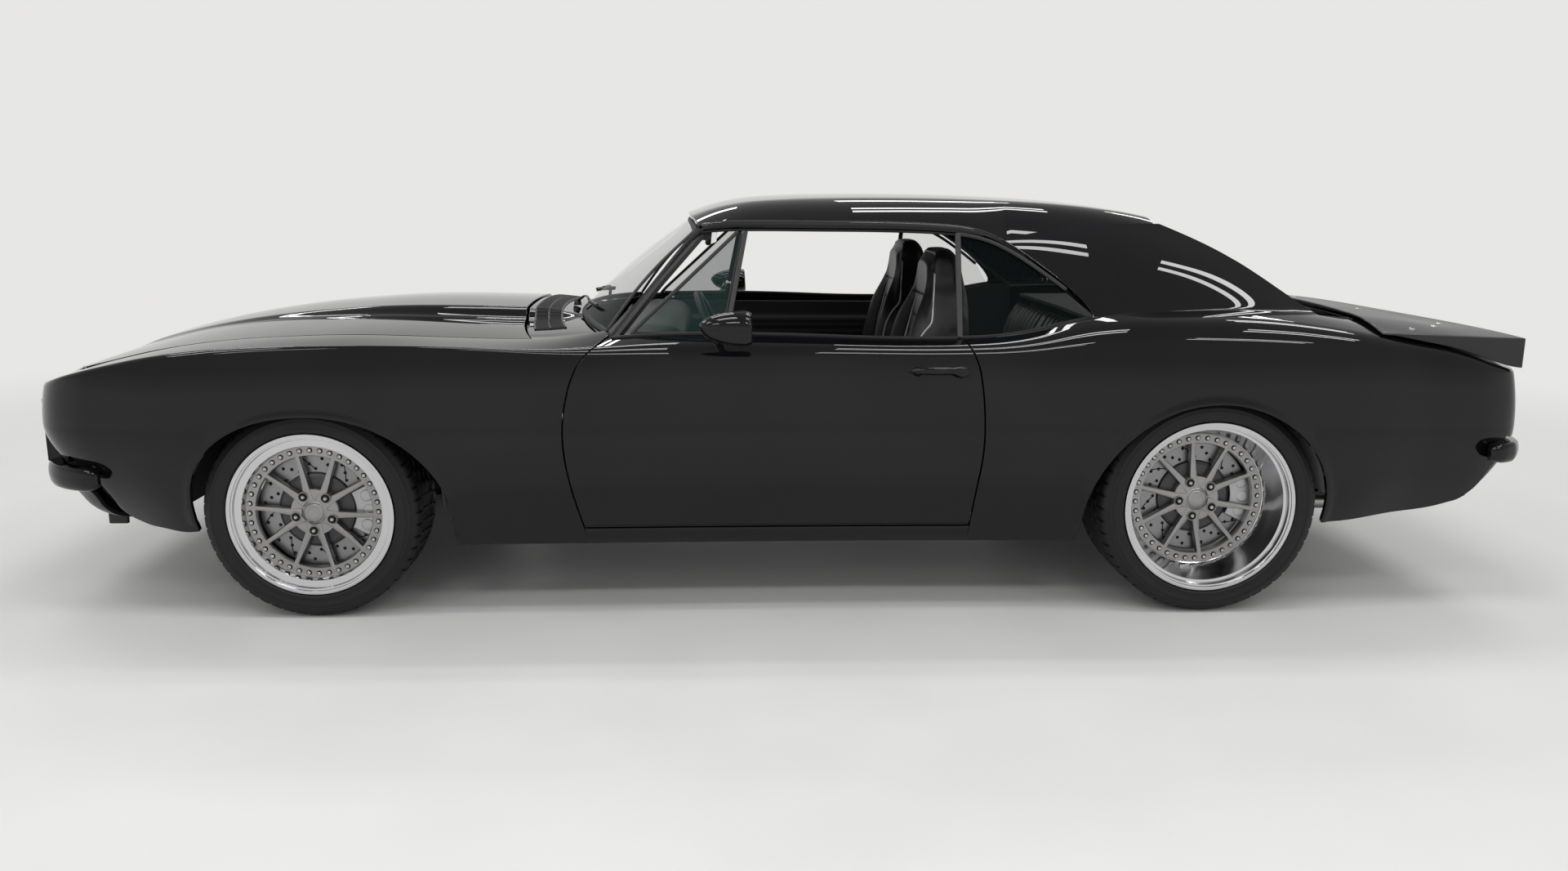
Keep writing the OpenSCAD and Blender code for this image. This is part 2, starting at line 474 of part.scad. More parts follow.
rail_w = 70;
rail_h = 90;
rail_t = 4;
front_rail_y = 400;
front_rail_z = 330;
rear_rail_y = 500;
rear_rail_z = trunk_floor_z - floor_t - rail_h - seat_gap;
high_rail_z = bz(560) - floor_t - rail_h - seat_gap;
floor_leg_h = 40;
tie_down_r = 15;
front_tie_x = 2050;
rear_tie_x = -2050;
module rail(x0, x1, y, z, h) translate([bx(x0), y - rail_w / 2, z]) difference() {
    cube([bx(x1) - bx(x0), rail_w, h]);
    translate([-1, rail_t, rail_t])
        cube([bx(x1) - bx(x0) + 2, rail_w - 2 * rail_t, h - 2 * rail_t]);
}
module tie_down_hole(x, y, z) translate([bx(x), y, z - 1])
    cylinder(h = rail_h + 2, r = tie_down_r, $fn = 48);
module frame_rails() color([0.05, 0.05, 0.05]) for (side = [1, -1]) left_or_right(side) {
    difference() {
        rail(760, support_x - 0.3, front_rail_y, front_rail_z, rail_h);
        tie_down_hole(front_tie_x, front_rail_y, front_rail_z);
    }
    rail(200, 720, front_rail_y, floor_z - floor_t - floor_leg_h - seat_gap, floor_leg_h);
    translate([bx(715), front_rail_y - rail_w / 2, floor_z - floor_t - floor_leg_h - seat_gap])
        cube([bx(50), rail_w, front_rail_z + rail_h - floor_z + floor_t + floor_leg_h + seat_gap]);
    difference() {
        rail(-2190, -1716, rear_rail_y, rear_rail_z, rail_h);
        tie_down_hole(rear_tie_x, rear_rail_y, rear_rail_z);
    }
    translate([bx(-2250), rear_rail_y - 20, 400]) cube([bx(61), 40, rear_rail_z + rail_h - 400]);
    translate([bx(-2250), rear_rail_y - 20, 400]) cube([bx(12), 40, bz(518) - 400]);
    translate([bx(-2313.6), rear_rail_y - 20, bz(498)]) cube([bx(69), 40, bz(518) - bz(498)]);
    rail(-1740, -1010, rear_rail_y, high_rail_z, rail_h);
    translate([bx(-1740), rear_rail_y - rail_w / 2, rear_rail_z])
        cube([bx(24), rail_w, high_rail_z + rail_h - rear_rail_z]);
}

rocker_z = [206, 262];
rocker_y = [rocker_inner_y, 786, 806];
module rocker_box(x0, x1, y0, y1) translate([bx(x0), by(y0), rocker_z[0]])
    cube([bx(x1) - bx(x0), by(y1) - by(y0), rocker_z[1] - rocker_z[0]]);
module rocker_panels() color([0.02, 0.02, 0.022]) for (side = [1, -1]) left_or_right(side) {
    rocker_box(-930, 950, rocker_y[0], rocker_y[1]);
    rocker_box(-588, 598, rocker_y[0], rocker_y[2]);
}

firewall_x = 700;
firewall_foot_z = cabin_floor[0][1] + seat_gap;
pillar_x = [664, 700];
pillar_y = [rocker_inner_y, 814];
pillar_z = [262 + seat_gap, 806];
// Firewall with the hinge posts and the door's hinge pins on their bent arms
module firewall() color([0.05, 0.05, 0.05]) {
    translate([bx(firewall_x), -by(pillar_y[0] + 10), firewall_foot_z])
        cube([6, by(2 * pillar_y[0] + 20), bz(816) - firewall_foot_z]);
    for (side = [1, -1]) left_or_right(side) {
        translate([bx(pillar_x[0]), by(pillar_y[0]), pillar_z[0]])
            cube([bx(pillar_x[1]) - bx(pillar_x[0]) + 1, by(pillar_y[1]) - by(pillar_y[0]),
                bz(pillar_z[1]) - pillar_z[0]]);
        for (z = hinge_zs) translate([bx(hinge_x), by(hinge_y), bz(z)]) {
            translate([0, 0, -hinge_h / 2 - 9]) cylinder(h = hinge_h + 18, r = hinge_pin_r, $fn = 32);
            for (e = [-1, 1]) translate([-hinge_r, -108, e * (hinge_h / 2 + 5) - 3]) {
                cube([2 * hinge_r, 108 + hinge_r * 0.6, 6]);
                cube([bx(pillar_x[0]) - bx(hinge_x) + hinge_r + 1, 16, 6]);
            }
        }
    }
}

engine_z = 300;
engine_x = bx(firewall_x) + 60;
module engine_block() color([0.25, 0.25, 0.26]) {
    translate([engine_x, -engine_w / 2, engine_z]) cube([engine_l, engine_w, 420]);
    translate([engine_x + engine_l * 0.45, -front_rail_y + rail_w / 2 + seat_gap, front_rail_z + 12])
        cube([60, 2 * front_rail_y - rail_w - 2 * seat_gap, 60]);
}

shaft_r = 34;
shaft_z = 284;
module driveline() color([0.2, 0.2, 0.2]) {
    translate([bx(60), -96, 222]) cube([engine_x - seat_gap - bx(60), 192, 166]);
    translate([axle_rear[0] + 134, 0, shaft_z]) rotate([0, 90, 0])
        cylinder(h = bx(60) - axle_rear[0] - 133, r = shaft_r, $fn = 32);
}

pipe_r = 28;
exhaust_y = 235;
module exhaust() color([0.55, 0.55, 0.55]) for (side = [1, -1]) left_or_right(side)
    translate([bx(-900), exhaust_y, floor_z - floor_t - pipe_r - seat_gap]) rotate([0, 90, 0])
        cylinder(h = bx(1090), r = pipe_r, $fn = 32);

module dashboard() color([0.04, 0.04, 0.04]) rotate([90, 0, 0])
    linear_extrude(2 * (by(post_foot[1]) - 23), center = true) polygon([
        [bx(560), bz(822)], [bx(470), bz(840)], [bx(400), bz(842)], [bx(340), bz(830)], [bx(316), bz(790)],
        [bx(334), bz(690)], [bx(380), bz(620)], [bx(560), bz(600)],
        [bx(firewall_x) - seat_gap, bz(600)], [bx(firewall_x) - seat_gap, bz(800)]]);

wheel_tilt = 24;
wheel_centre = [196, 800];
module steering_wheel() color([0.05, 0.05, 0.05])
    translate([bx(wheel_centre[0]), seat_y, bz(wheel_centre[1])]) rotate([0, -90 + wheel_tilt, 0]) {
        rotate_extrude($fn = 64) translate([steering_wheel_r - 14, 0]) circle(14, $fn = 20);
        for (a = [90, 210, 330]) rotate(a) translate([0, -14, -6]) cube([steering_wheel_r - 14, 28, 8]);
        translate([0, 0, -30]) cylinder(h = 40, r = 42, $fn = 48);
        translate([0, 0, -150]) cylinder(h = 130, r = 22, $fn = 32);
    }

// ---- seats
function seat_side() = [[90, 300], [110, 400], [70, 440], [-330, 410], [-420, 470], [-480, 800],
    [-505, 1000], [-500, 1112], [-530, 1126], [-575, 1110], [-625, 900], [-600, 500], [-520, 300]];
seat_base_z = 300;
module bucket_seat(side) color([0.04, 0.04, 0.04]) translate([bx(0), side * seat_y, 0]) {
    rotate([90, 0, 0]) linear_extrude(seat_w * 0.56, center = true) polygon(seat_side());
    for (e = [1, -1]) rotate([90, 0, 0]) translate([0, 0, e * seat_w * 0.39 - seat_w * 0.11])
        linear_extrude(seat_w * 0.22) polygon([[90, 300], [120, 440], [60, 500], [-280, 480], [-360, 560],
            [-400, 800], [-450, 960], [-540, 1000], [-615, 900], [-600, 500], [-520, 300]]);
    translate([-420, -seat_w * 0.4, floor_z + seat_gap])
        cube([480, seat_w * 0.8, seat_base_z - floor_z + 1]);
}
module rear_bench() color([0.04, 0.04, 0.04]) rotate([90, 0, 0])
    linear_extrude(2 * (tub_inner_y - 12), center = true) polygon([
        [bx(-656), rear_seat_z + seat_gap], [bx(-656), 402],
        [bx(-600), 402], [bx(-600), 470], [bx(-860), 440],
        [bx(-1010), bz(850)], [bx(-1060), bz(885)], [bx(-1770), bz(885)], [bx(-1770), bz(873)],
        [bx(-1120), bz(873)], [bx(-1000), 570], [bx(-925), rear_seat_z + seat_gap]]);

// ---- front end
module grille() color([0.03, 0.03, 0.03]) shell(to_body([for (z = steps(466, 636, 3))
    [for (y = steps(-680, 680, 14)) [nose_x(abs(y)) - 62, y, z]]]), 12);
lamp_y = 540;
lamp_z = 556;
lamp_r = 72;
module headlamps() color([0.8, 0.8, 0.82]) for (side = [1, -1]) left_or_right(side)
    translate([bx(nose_x(lamp_y - lamp_r) - 62) - 0.1, by(lamp_y), bz(lamp_z)]) rotate([0, 90, 0])
        cylinder(h = 20, r = lamp_r, $fn = 64);
function bumper_ring(p, n, h, d) = [for (a = [0:45:315])
    [p[0] + n[0] * d * cos(a), p[1] + n[1] * d * cos(a), p[2] + h * sin(a)]];
front_stations = [2120, 2170, 2230, 2300, 2372, 2528, 2730, 3030];
rear_stations = [-2266, -2290, -2330, -2372, -2450, -2700, -3100];
front_bumper_ends = [2045, 2080];
rear_bumper_ends = [-2190, -2228];
front_bumper_out = [for (s = [1:10]) -20];
rear_bumper_out = [20, 20, 14, 2, -4, -4, -4, -4, -4];
front_bumper_z = 428;
rear_bumper_z = 508;
// A blade that follows the body's plan through the stations of one side and back along the other
module bumper(stations, z, h, d, out) {
    g = [for (i = [0:len(stations) - 1]) let (
        p = plan_point(stations[i]), n = plan_normal(stations[i]), b = i > 0 ? 1 : 0.6)
        bumper_ring([p[0] + n[0] * out[i], p[1] + n[1] * out[i], z], n, h * b, d * b)];
    full = concat(g, [for (i = [len(g) - 2:-1:0]) [for (p = g[i]) flip(p)]]);
    rings = stations[0] > 0 ? full : reversed(full);
    last = (len(rings) - 1) * 8;
    polyhedron(points = [for (r = rings) each [for (p = r) body_point(p)]], faces = concat(
        [[for (j = [0:7]) j]], [[for (j = [7:-1:0]) last + j]],
        [for (i = [0:len(rings) - 2]) for (j = [0:7]) let (k = (j + 1) % 8)
            [i * 8 + j, (i + 1) * 8 + j, (i + 1) * 8 + k, i * 8 + k]]));
}
module front_bumper() color([0.02, 0.02, 0.022])
    bumper(concat(front_bumper_ends, front_stations), front_bumper_z, 36, 20, front_bumper_out);
module rear_bumper() color([0.02, 0.02, 0.022])
    bumper(concat(rear_bumper_ends, rear_stations), rear_bumper_z, 32, 22, rear_bumper_out);
// A skirt below a bumper: rows of distance out from the plan and height
function skirt(stations, rows) = let (n = len(stations) - 1,
    one = [for (s = stations) [plan_point(s), plan_normal(s)]],
    all = concat(one, [for (i = [n - 1:-1:0]) [flip2(one[i][0]), flip2(one[i][1])]]))
    [for (r = rows) [for (c = all) [c[0][0] + c[1][0] * r[0], c[0][1] + c[1][1] * r[0], r[1]]]];
function flip2(p) = [p[0], -p[1]];
front_skirt = [[-34.6, 402], [-72, 370], [-96, 320], [-140, 284], [-190, 266], [-225, 262]];
rear_skirt = [[-19.6, 485.6], [-44, 440], [-80, 380], [-130, 340], [-170, 322]];
module front_valance() color([0.03, 0.03, 0.03])
    shell(to_body(skirt(front_stations, front_skirt)), skin_t);
function tail_x(y, z) = -2338 + 26 * pow(abs(y) / 700, 4) + (z > 720 ? (z - 720) * 0.3 : 0);
function tail_grid(y0, y1, n, z0, z1, out) = [for (z = steps(z0, z1, 6)) [for (y = steps(y0, y1, n))
    [tail_x(y, z) - out, y, z]]];
module tail_panel() color([0.02, 0.02, 0.022])
    shell(to_body(tail_grid(684, -684, 16, 540.5, 762, 0)), skin_t);
module tail_lamps() color([0.4, 0.02, 0.02]) for (side = [1, -1]) left_or_right(side)
    shell(to_body(tail_grid(600, 360, 6, 620, 704, 6.3)), 6);
module rear_valance() color([0.03, 0.03, 0.03])
    shell(to_body(skirt(rear_stations, reversed(rear_skirt))), skin_t);

// ---- tail lid
function deck_z(x, y) = let (yt = curve(x, trunk_half), f = abs(y) / yt,
    ze = top_z(x, yt), zm = curve(x, deck_mid)) mix(zm, ze, f * f);
function lid_grid() = [for (x = steps(trunk_rear_x, trunk_front_x - 4, 8)) [for (v = steps(-1, 1, 10))
    let (y = v * (curve(x, trunk_half) - panel_gap / 2)) [x, -y, deck_z(x, y)]]];
module trunk_lid() color([0.02, 0.02, 0.022]) shell(to_body(lid_grid()), lid_t);
function deck_foot(x, y) =
    (abs(y) < curve(x, trunk_half) ? deck_z(x, y) : top_z(x, abs(y))) + 8;
spoiler_half = 812;
spoiler_front_x = -1858;
spoiler_rear_x = -2326;
// Rows from the trailing edge forwards; lift is the height of the upper face there
function spoiler_row(i, top) = [for (y = steps(-spoiler_half, spoiler_half, 18)) let (
    f = i / 5, a = pow(abs(y) / spoiler_half, 4),
    x = mix(spoiler_rear_x, spoiler_front_x, f) + 10 * a * (1 - f),
    upper = mix(866, deck_foot(spoiler_front_x, y) + 10, pow(f, 1.2)) - 8 * a)
    [x, -y, top ? upper : min(deck_foot(x, y), upper - 8)]];
// Rows from the flange under the lid's front edge, up its step and forwards to the glass
function filler_point(x, v, drop) = let (y = v * curve(min(x, trunk_front_x), trunk_half))
    [x, -y, deck_z(min(x, trunk_front_x), y) - drop];
function filler_grid() = concat(
    [[for (v = steps(-1, 1, 12)) filler_point(trunk_front_x - 32, v * 0.98, lid_t + 0.7)],
     [for (v = steps(-1, 1, 12)) filler_point(trunk_front_x + 1, v * 0.98, lid_t + 0.7)]],
    [for (u = steps(0, 1, 3)) [for (v = steps(-1, 1, 12)) let (
        a = abs(v), x0 = trunk_front_x + 3, x1 = -1800 + 90 * a * a - 4,
        y0 = v * curve(trunk_front_x, trunk_half), y1 = v * 688.8, x = mix(x0, x1, u),
        z0 = deck_z(trunk_front_x, y0), z1 = min(deck_z(trunk_front_x, y1) + 16, top_z(x1, 690)))
        [x, -mix(y0, y1, u), mix(z0, z1, u)]]]);
module deck_filler() color([0.02, 0.02, 0.022]) shell(to_body(filler_grid()), skin_t);
spoiler_foot_x = -2110;
module spoiler() color([0.03, 0.03, 0.03]) {
    between(to_body([for (i = [0:5]) spoiler_row(i, true)]),
        to_body([for (i = [0:5]) spoiler_row(i, false)]));
    for (y = [-440, 0, 440])
        translate(body_point([spoiler_foot_x, y, deck_z(spoiler_foot_x + 14, abs(y)) + 0.6]))
            cylinder(h = 14, r = 14, $fn = 24);
}

// ---- small outside pieces
module wipers() color([0.02, 0.02, 0.02]) for (y = [60, -480]) {
    xa = glass_foot(abs(y))[0] + 34;
    a = body_point([xa, y, cowl_z(xa, y) + 12.5]);
    b = body_point([glass_foot(abs(y + 330))[0] - 26, y + 330, 930]);
    translate(a) cylinder(h = 22, r = 9, center = true, $fn = 24);
    hull() {
        translate(a + [0, 0, 8]) cube([12, 14, 6], center = true);
        translate(b) cube([10, 14, 6], center = true);
    }
}
mirror_foot = [190, 832];
module mirror_head(side) left_or_right(side) color([0.02, 0.02, 0.022]) {
    translate(body_point([170, 985, 898])) rotate([0, 90, 0])
        cylinder(h = 120, r1 = 50, r2 = 16, center = true, $fn = 32);
    translate(body_point([mirror_foot[0], mirror_foot[1], top_z(mirror_foot[0], mirror_foot[1] - 9) + 0.3]))
        cylinder(h = 30, r = 9, $fn = 24);
    translate(body_point([mirror_foot[0], mirror_foot[1], 0]) + [-14, -9, bz(866)]) cube([28, by(150), 12]);
}

// ---- front and inner structure
inner_wall_y = front_rail_y + rail_w / 2 + seat_gap;
inner_wall_t = 4;
front_tub_r = 395;
stop_r = 14;
stop_y = 600;
function hood_under(x, y) = let (sx = (hood_z(x + 5, y) - hood_z(x - 5, y)) / 10,
    sy = (hood_z(x, y + 5) - hood_z(x, y - 5)) / 10) bz(hood_z(x, y)) - lid_t * norm([1, sx, sy]);
module hood_stop(x, z, gap) translate([bx(x), by(stop_y), z])
    cylinder(r = stop_r, $fn = 32, h = -gap - z
        + min([for (e = [-1:1]) for (f = [-1:1]) hood_under(x + e * stop_r, stop_y + f * stop_r)]));
module inner_fenders() color([0.03, 0.03, 0.03]) for (side = [1, -1]) left_or_right(side) {
    intersection() {
        translate([axle_front[0], inner_wall_y, axle_front[1]]) rotate([-90, 0, 0]) difference() {
            cylinder(h = by(840) - inner_wall_y, r = front_tub_r, $fn = 96);
            translate([0, 0, inner_wall_t]) cylinder(h = 600, r = front_tub_r - inner_wall_t, $fn = 96);
        }
        translate([axle_front[0] - 500, 0, 340]) cube([1000, 1000, 600]);
    }
    translate([bx(firewall_x) + 7, inner_wall_y, front_rail_z]) difference() {
        cube([bx(2100) - bx(firewall_x) - 7, inner_wall_t, 330]);
        translate([axle_front[0] - bx(firewall_x) - 7, -1, axle_front[1] - front_rail_z])
            rotate([-90, 0, 0]) cylinder(h = 50, r = front_tub_r - 2, $fn = 96);
    }
    hood_stop(1400, axle_front[1] + front_tub_r - 2, 1.9);
}
support_x = 2101;
support_y = 620;
front_stop_x = mix(curve(stop_y, hood_rear), curve(stop_y, hood_front), 13 / 14);
module radiator_support() color([0.03, 0.03, 0.03]) {
    translate([bx(support_x), -by(support_y), front_rail_z])
        cube([5, by(2 * support_y), bz(620) - front_rail_z]);
    for (side = [1, -1]) left_or_right(side) {
        translate([bx(support_x), by(stop_y - 16), bz(600)]) cube([5, by(32), 1]);
        hood_stop(front_stop_x, bz(600), 6.5);
        translate([bx(2060), by(stop_y) - 18, bz(606)]) cube([bx(support_x) - bx(2060) + 2, 36, 6]);
        translate([bx(support_x) + 1, by(300), bz(560)])
            cube([bx(nose_x(330) - 75) - bx(support_x) - 1 - seat_gap, by(30), 30]);
        translate([bx(header_point(315, 0.9)[0]) - 19, by(300), bz(570)])
            cube([14, by(30), bz(header_point(330, 0.93)[1]) - skin_t - 1.2 - bz(570)]);
        translate([bx(support_x) + 1, by(385), bz(front_bumper_z) - 14])
            cube([bx(nose_x(415) - 42) - bx(support_x) - 1.6, by(30), 28]);
    }
}

// ---- running gear
spindle_r = 35.7;
face_front = 40;
face_rear = 118;
disc_back = 70;
function disc_y(lip, face) = lip - face - disc_back;
calliper_r = [118, disc_r + 28];
calliper_half = 28;
// Fixed calliper behind the axle: a channel over the disc
module calliper(axle, y) translate([axle[0], y, axle[1]]) rotate([-90, 0, 0]) rotate(180 - calliper_half)
    rotate_extrude(angle = 2 * calliper_half, $fn = 96) polygon([
        [calliper_r[0], -19], [calliper_r[1], -19], [calliper_r[1], disc_t + 13],
        [calliper_r[0], disc_t + 13], [calliper_r[0], disc_t + 5], [disc_r + 6, disc_t + 5],
        [disc_r + 6, -5], [calliper_r[0], -5]]);
module spindle(axle, y0, y1) translate([axle[0], y0, axle[1]]) rotate([-90, 0, 0])
    cylinder(h = y1 - y0, r = spindle_r, $fn = 64);
kingpin_y = 735;
kingpin_r = 12;
knuckle_z = [-96, 104];
arm_t = 22;
arm_inner_y = inner_wall_y + inner_wall_t + seat_gap;
module front_suspension() color([0.1, 0.1, 0.1]) {
    translate([axle_front[0] - 45, -front_rail_y - 35, 190]) cube([90, 2 * front_rail_y + 70, 50]);
    for (side = [1, -1]) left_or_right(side) {
        translate([axle_front[0] - 45, front_rail_y - 35, 230])
            cube([90, rail_w, front_rail_z - 230 - seat_gap]);
        difference() {
            union() {
                translate([axle_front[0] - 24, 400, axle_front[1] + knuckle_z[0] - arm_t - seat_gap])
                    cube([48, kingpin_y - 400, arm_t]);
                translate([axle_front[0], kingpin_y, axle_front[1] + knuckle_z[0] - arm_t - seat_gap])
                    cylinder(h = arm_t, r = 26, $fn = 48);
                translate([axle_front[0] - 20, arm_inner_y, axle_front[1] + knuckle_z[1] + seat_gap])
                    cube([40, kingpin_y - arm_inner_y, 14]);
                translate([axle_front[0], kingpin_y, axle_front[1] + knuckle_z[1] + seat_gap])
                    cylinder(h = 14, r = 24, $fn = 48);
            }
            translate([axle_front[0], kingpin_y, 100])
                cylinder(h = 500, r = kingpin_r + seat_gap, $fn = 48);
        }
        translate([axle_front[0], 520, axle_front[1] + knuckle_z[0] - 8])
            cylinder(h = 330, r = 42, $fn = 48);
    }
}
module knuckle(side) left_or_right(side) color([0.55, 0.55, 0.56]) {
    translate([axle_front[0] - 30, kingpin_y - 26, axle_front[1] + knuckle_z[0]])
        cube([60, 46, knuckle_z[1] - knuckle_z[0]]);
    translate([axle_front[0], kingpin_y, axle_front[1] + knuckle_z[0] - arm_t - 6])
        cylinder(h = knuckle_z[1] - knuckle_z[0] + arm_t + 26, r = kingpin_r, $fn = 48);
    spindle(axle_front, kingpin_y - 20, front_lip_y - face_front - 9);
    calliper(axle_front, disc_y(front_lip_y, face_front));
    translate([axle_front[0] - 150, kingpin_y - 24, axle_front[1] - 20]) cube([140, 42, 40]);
}
leaf_z = 286;
leaf_x = [-1880, -790];
module rear_axle() color([0.1, 0.1, 0.1]) {
    translate([axle_rear[0], 0, axle_rear[1]]) rotate([90, 0, 0])
        cylinder(h = 2 * (disc_y(rear_lip_y, face_rear) - 30), r = 40, center = true, $fn = 64);
    translate([axle_rear[0], 0, axle_rear[1]]) sphere(130, $fn = 48);
    for (side = [1, -1]) left_or_right(side) {
        spindle(axle_rear, 600, rear_lip_y - face_rear - 9);
        calliper(axle_rear, disc_y(rear_lip_y, face_rear));
        translate([axle_rear[0] - 150, disc_y(rear_lip_y, face_rear) - 38, axle_rear[1] - 20])
            cube([140, 26, 40]);
        translate([bx(leaf_x[0]), 478, leaf_z]) cube([bx(leaf_x[1]) - bx(leaf_x[0]), 44, 12]);
        translate([bx(leaf_x[1]) - 30, 478, leaf_z])
            cube([30, 44, rear_seat_z - floor_t - seat_gap - leaf_z]);
        translate([bx(leaf_x[0]), 478, leaf_z]) cube([30, 44, rear_rail_z - seat_gap - leaf_z]);
        translate([axle_rear[0] - 45, 470, leaf_z - 10]) cube([90, 60, axle_rear[1] - leaf_z]);
    }
}
module fuel_tank() color([0.3, 0.3, 0.3])
    translate([bx(-2110), -400, 296]) cube([bx(330), 800, trunk_floor_z - floor_t - seat_gap - 296]);

// ---- wheels: z is outboard, 0 at the rim's outer lip
bead_r = 16;
module tyre(w, r, rim_r) rotate([-90, 0, 0]) rotate_extrude($fn = 96) polygon([
    [rim_r - bead_r + 0.3, -w + 20.4], [rim_r + 0.3, -w + 13.4], [rim_r + 3, -w + 2], [rim_r + 34, -w - 3],
    [r - 40, -w - 2], [r - 12, -w + 12], [r, -w + 34], [r, -34], [r - 12, -12], [r - 40, 2],
    [rim_r + 34, 3], [rim_r + 3, -2], [rim_r + 0.3, -13.4], [rim_r - bead_r + 0.3, -20.4]]);
module rim(w, rim_r, face) rotate([-90, 0, 0]) {
    rotate_extrude($fn = 96) polygon([
        [rim_r - 22, -w + 12], [rim_r, -w + 4], [rim_r, -w + 13], [rim_r - bead_r, -w + 20],
        [rim_r - bead_r, -20], [rim_r, -13], [rim_r, -4], [rim_r - 22, -10]]);
    disc_z = -face - disc_back;
    rotate_extrude($fn = 96) polygon([
        [spindle_r + seat_gap, disc_z], [disc_r, disc_z], [disc_r, disc_z + disc_t], [84, disc_z + disc_t],
        [84, -face - 24], [96, -face - 12], [96, -face], [0, -face], [0, -face - 8],
        [spindle_r + seat_gap, -face - 8]]);
    for (k = [0:4]) rotate(90 + 72 * k) for (e = [-1, 1]) rotate(13 * e)
        translate([60, -9, -face - 18]) cube([rim_r - 79, 18, 15]);
}
module place_wheel(side, axle, y) translate([axle[0], side * y, axle[1]])
    rotate([0, 0, side > 0 ? 0 : 180]) children();
module front_tyre(side) color([0.03, 0.03, 0.03])
    place_wheel(side, axle_front, front_lip_y) tyre(front_tyre_w, front_tyre_r, front_rim_r);
module rear_tyre(side) color([0.03, 0.03, 0.03])
    place_wheel(side, axle_rear, rear_lip_y) tyre(rear_tyre_w, rear_tyre_r, rear_rim_r);
module front_rim(side) color([0.6, 0.6, 0.6])
    place_wheel(side, axle_front, front_lip_y) rim(front_tyre_w, front_rim_r, face_front);
module rear_rim(side) color([0.6, 0.6, 0.6])
    place_wheel(side, axle_rear, rear_lip_y) rim(rear_tyre_w, rear_rim_r, face_rear);

floor_pan();
frame_rails();
engine_block();
driveline();
exhaust();
firewall();
cowl_panel();
fender(1);  // fender_left
fender(-1);  // fender_right
quarter_panel(1);  // quarter_panel_left
quarter_panel(-1);  // quarter_panel_right
rocker_panels();
roof();
windshield_frame();
windshield();
rear_window();
quarter_windows();
header_panel();
grille();
headlamps();
front_bumper();
front_valance();
tail_panel();
tail_lamps();
rear_bumper();
rear_valance();
dashboard();
steering_wheel();
bucket_seat(1);  // bucket_seat_left
bucket_seat(-1);  // bucket_seat_right
rear_bench();
rear_axle();
front_suspension();
fuel_tank();
wipers();
inner_fenders();
radiator_support();
hood();
deck_filler();
trunk_lid();
spoiler();
door(1);  // door_left
door(-1);  // door_right
vent_window(1);  // vent_window_left
vent_window(-1);  // vent_window_right
mirror_head(1);  // mirror_left
mirror_head(-1);  // mirror_right
knuckle(1);  // knuckle_left
knuckle(-1);  // knuckle_right
front_tyre(1);  // tyre_front_left
front_tyre(-1);  // tyre_front_right
rear_tyre(1);  // tyre_rear_left
rear_tyre(-1);  // tyre_rear_right
front_rim(1);  // rim_front_left
front_rim(-1);  // rim_front_right
rear_rim(1);  // rim_rear_left
rear_rim(-1);  // rim_rear_right
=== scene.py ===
"""Looks of the two-door hardtop muscle car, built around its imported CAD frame. Metres in the scene, millimetres in
the shape functions below, X forward, Y left, Z up, origin on the floor under the middle of the car."""
import math

import bmesh
import bpy
import numpy as np
from mathutils import Matrix, Vector
from mathutils.bvhtree import BVHTree


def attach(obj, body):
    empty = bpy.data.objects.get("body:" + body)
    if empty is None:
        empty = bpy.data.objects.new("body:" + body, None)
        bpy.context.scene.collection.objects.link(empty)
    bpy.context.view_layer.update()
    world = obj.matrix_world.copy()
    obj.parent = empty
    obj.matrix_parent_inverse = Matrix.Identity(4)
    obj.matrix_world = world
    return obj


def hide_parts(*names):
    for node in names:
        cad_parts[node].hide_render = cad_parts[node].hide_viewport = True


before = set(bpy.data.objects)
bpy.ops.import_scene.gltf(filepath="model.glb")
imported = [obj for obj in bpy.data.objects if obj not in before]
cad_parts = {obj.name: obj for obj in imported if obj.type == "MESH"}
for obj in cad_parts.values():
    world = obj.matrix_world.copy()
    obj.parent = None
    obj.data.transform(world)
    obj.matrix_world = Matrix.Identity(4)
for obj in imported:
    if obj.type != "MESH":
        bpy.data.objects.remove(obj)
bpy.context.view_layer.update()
MM = 0.001


# ---------------------------------------------------------------- shape functions (millimetres)
class Curve:
    """Smooth curve through the rows of a table, softened so that reflections flow over it."""

    def __init__(self, rows, k=1, soft=30.0):
        t = np.array(rows, float)
        x, y = t[:, 0], t[:, k]
        if x[0] == 0:
            x, y = np.concatenate([-x[:0:-1], x]), np.concatenate([y[:0:-1], y])
        h, sec = np.diff(x), np.diff(y) / np.diff(x)
        m = np.concatenate([[sec[0]], (sec[:-1] * h[1:] + sec[1:] * h[:-1]) / (h[:-1] + h[1:]), [sec[-1]]])
        g = np.arange(x[0] - 300, x[-1] + 300.1, 2.0)
        i = np.clip(np.searchsorted(x, g, side="right") - 1, 0, len(h) - 1)
        u = np.clip((g - x[i]) / h[i], 0, 1)
        a, b, p, q = y[i], y[i + 1], m[i] * h[i], m[i + 1] * h[i]
        v = a + u * (p + u * (3 * (b - a) - 2 * p - q + u * (p + q - 2 * (b - a))))
        v = v + np.where(g < x[0], (g - x[0]) * m[0], 0) + np.where(g > x[-1], (g - x[-1]) * m[-1], 0)
        if soft:
            k = np.exp(-0.5 * (np.arange(-3 * soft, 3 * soft + 1, 2.0) / soft) ** 2)
            pad = len(k)
            left = v[0] + (v[0] - v[pad:0:-1])
            right = v[-1] + (v[-1] - v[-2:-pad - 2:-1])
            v = np.convolve(np.concatenate([left, v, right]), k / k.sum(), "same")[pad:-pad]
        self.g, self.v = g, v

    def __call__(self, x):
        return np.interp(x, self.g, self.v)


def mix(a, b, u):
    return a + (b - a) * u


